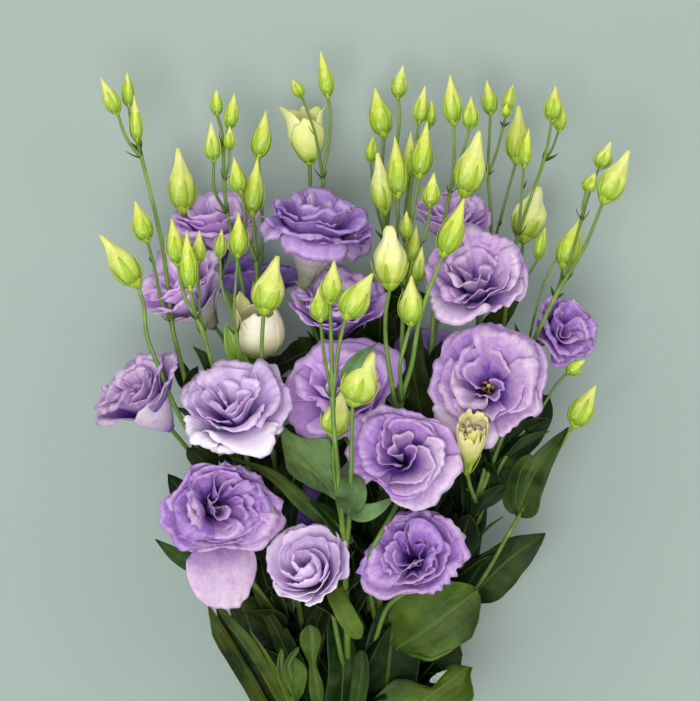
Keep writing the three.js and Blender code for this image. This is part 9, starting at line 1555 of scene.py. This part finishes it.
for name, pts, w, roll, fold in LEAVES:
    g = Geo(); shape, tone, wave = FORM.get(name, (0, 0.4, 0.06))
    form = (LEAF_SHAPE, ROUND_SHAPE, LANCE_SHAPE, SPOON_SHAPE, STRAP_SHAPE, HEART_SHAPE)[shape]
    if name in OWN:
        rough, form = OWN[name][0], np.array(OWN[name][1])
    pts = PATH.get(name, pts)
    if name == "leaf_right_broad":
        roll, fold = 2, -7
    P = leaf(g, pts, w * WIDE.get(name, 1.0), roll, fold, sum(map(ord, name)), size=(25, 60) if name in OWN else (17, 40), tone=tone, shape=form, wave=wave, rumple=1.0 if name in OWN else 0.35)
    if name == "leaf_right_broad":
        # the lower margin is rolled over and shows its paler back
        tube(g, P[13:38, -1] + np.array([0, 0, 0.8]), 1.2 * np.sin(np.linspace(0.12, math.pi - 0.12, 25)) ** 0.6, 8, 0, 1.0, along=np.linspace(0, 0.3, 25))
    for q, w2, r2, f2, tone2, shape2 in BESIDE.get(name, ()):
        leaf(g, q, w2, r2, f2, 7, size=(13, 32), tone=tone2, shape=shape2, wave=0.14, mat=0 if tone2 < 1 else 1)
    skin = WAXY if name in ("leaf_centre_big", "leaf_cup") else WAXIER if name in ("leaf_front_right", "leaf_front_bract") else LEAF
    piece(g, name + "_blade", [skin] + ([GLINT_PATCH] if name == "leaf_right_low" else []), name)

fol = {}
for k, (node, pts, w, nrm, tone) in enumerate(FOLIAGE):
    g = fol.setdefault(node, Geo())
    if k in BARE:
        continue
    if k in SHORT:
        pts = (np.array(pts[0]) + (np.array(pts) - pts[0]) * SHORT[k]).tolist()
    leaf(g, pts, w * BROAD.get(k, 1.0), 0, 12, k, size=(7, 10), tone=tone, normal=nrm, thick=0.5)
for node, g in fol.items():
    piece(g, node.replace("spray", "foliage"), [LEAF], node)

# the tie: a natural cord wound seven times round the stems and knotted on top
def tie_outline(out, n=160):
    a = np.linspace(0, 2 * math.pi, 721)[:-1]
    d = np.stack([np.cos(a), np.sin(a)], 1); s = np.array(TIE_SLOTS)
    k = np.argmax(d @ s.T, axis=1)
    P = s[k] + d * out
    P = np.vstack([P, P[:1]])
    return even(P, n + 1)[:-1]


def twine(geo, C, r, mat=0, tone=0.5):
    """Two strands twisted together."""
    C = even(np.asarray(C, float), int(np.clip(arc(C)[-1] / 0.55, 8, 4000)))
    T, N, Bn = frames(C); L = arc(C); sides = 9
    a = np.arange(sides) * 2 * math.pi / sides
    tw = 2 * (a[None, :] - L[:, None] * 1.05)
    rr = r * (0.84 + 0.16 * np.cos(tw))
    P = C[:, None, :] + (N[:, None, :] * np.cos(a)[None, :, None] + Bn[:, None, :] * np.sin(a)[None, :, None]) * rr[..., None]
    A = np.stack(np.broadcast_arrays(np.cos(tw), L[:, None] / 100.0, np.array(tone)), -1)
    b0 = geo.n; n = len(C)
    geo.add(P, grid_faces(n, sides, True), A, mat)
    for e, d in ((0, 1), (n - 1, -1)):
        j = np.arange(sides); k = (j + 1) % sides
        F = np.stack([k, j, np.full(sides, -1)], 1) if d == 1 else np.stack([j, k, np.full(sides, -1)], 1)
        F = np.where(F < 0, geo.n, F + b0 + e * sides)
        geo.V.append(C[e][None, :]); geo.A.append(np.array([[0.0, L[e] / 100, tone]])); geo.n += 1
        geo.T.append(F); geo.TM.append(np.full(len(F), mat))


def cord_material():
    N = Nodes("natural_cord"); s, v, tone = N.pst()
    co = N.new("ShaderNodeTexCoord").outputs["Object"]
    n = N.noise(co, 700.0, 3.0, 0.6); b = N.noise(co, 90.0, 2.0, 0.5)
    c = N.ramp(n, [(0.3, srgb(150, 122, 78)), (0.5, srgb(190, 162, 112)), (0.7, srgb(216, 192, 146))])
    # the groove between the two strands is darker: painted shade
    c = N.mix(N.grey(s, [(0.0, 0.6), (0.4, 0.0)]), c, srgb(112, 86, 52))
    c = N.mix(N.math("MULTIPLY", N.grey(b, [(0.4, 0.0), (0.7, 1.0)]), 0.25), c, srgb(134, 108, 66))
    thin_shader(N, c, c, N.bump(n, 0.6, 0.0003), 0.85, 0.0, 0.2, 0.15)
    return N.m


O = tie_outline(STEM_AT_TIE + 0.3 + 0.8); wraps = 7
turn = np.tile(O, (wraps, 1)); n = len(turn)
yy = TIE_Y - 5.4 + 10.8 * np.arange(n) / (n - 1)
wind = np.stack([turn[:, 0], yy, turn[:, 1]], 1)
g = Geo()
twine(g, wind, 0.8)
top = O[np.argmax(O[:, 1])]; kx, kz = float(np.mean(np.array(TIE_SLOTS)[:, 0])), float(top[1]) + 1.3
ky = TIE_Y
th = np.linspace(0, 2 * math.pi, 60)
knot = np.stack([kx + 2.5 * np.cos(th), ky + 2.2 * np.sin(th) * np.cos(th) * 2, kz + 0.75 * np.sin(2 * th + 0.6)], 1)
twine(g, knot, 0.85, tone=0.4)
twine(g, np.stack([kx + 0.4 * np.sin(th[:40]) * 2.2, ky + 5.4 * np.cos(th[:40] / 1.02) * 1.0, kz + 0.5 * np.cos(th[:40]) - 0.3], 1), 0.8, tone=0.6)
for sgn in (-1, 1):
    E = crom(np.array([[kx + 1.2 * sgn, ky, kz + 0.7], [kx + 4.5 * sgn, ky - 3.0, kz + 1.2], [kx + 7.5 * sgn, ky - 10.0, kz + 0.3], [kx + 8.5 * sgn, ky - 19.0, kz - 0.9]]), 12)
    twine(g, E, 0.8, tone=0.5)
piece(g, "tie_cord", [cord_material()], "tie_band")

# ------------------------------------------------------------------ floor, light and camera
def floor_material():
    N = Nodes("floor_paper"); co = N.new("ShaderNodeTexCoord").outputs["Object"]
    n = N.noise(co, 5.0, 2.0, 0.5)
    c = N.ramp(n, [(0.3, srgb(147, 161, 154)), (0.7, srgb(149, 163, 156))])
    thin_shader(N, c, c, None, 0.9, 0.0, 0.0, 0.1)
    return N.m


me = bpy.data.meshes.new("floor"); me.from_pydata([(-4, -4, 0), (4, -4, 0), (4, 4, 0), (-4, 4, 0)], [], [(0, 1, 2, 3)])
me.materials.append(floor_material()); floor = bpy.data.objects.new("floor", me)
bpy.context.scene.collection.objects.link(floor)


def area(name, loc, size, power, aim=(0, 0.05, 0.08)):
    l = bpy.data.lights.new(name, "AREA"); l.shape = "DISK"; l.size = size; l.energy = power
    o = bpy.data.objects.new(name, l); bpy.context.scene.collection.objects.link(o)
    o.location = loc; o.rotation_euler = (Vector(aim) - Vector(loc)).to_track_quat("-Z", "Y").to_euler()


area("key", (-0.4, -0.65, 3.85), 1.8, 112.0)
area("fill", (1.7, 1.2, 2.9), 2.2, 17.0)
area("back", (-1.2, 1.9, 2.7), 2.2, 26.0)
world = bpy.data.worlds.new("studio"); bpy.context.scene.world = world; world.use_nodes = True
bg = world.node_tree.nodes["Background"]; bg.inputs[0].default_value = (1, 1, 1, 1); bg.inputs[1].default_value = 0.57

cam = bpy.data.cameras.new("camera"); cam.sensor_fit = "HORIZONTAL"; cam.sensor_width = 36.0; cam.lens = 137.755
co_ = bpy.data.objects.new("camera", cam); bpy.context.scene.collection.objects.link(co_)
co_.location = (-0.00593, 0.10804, 1.6); co_.rotation_euler = (0, 0, 0)
bpy.context.scene.camera = co_
bpy.context.scene.view_settings.view_transform = "Standard"
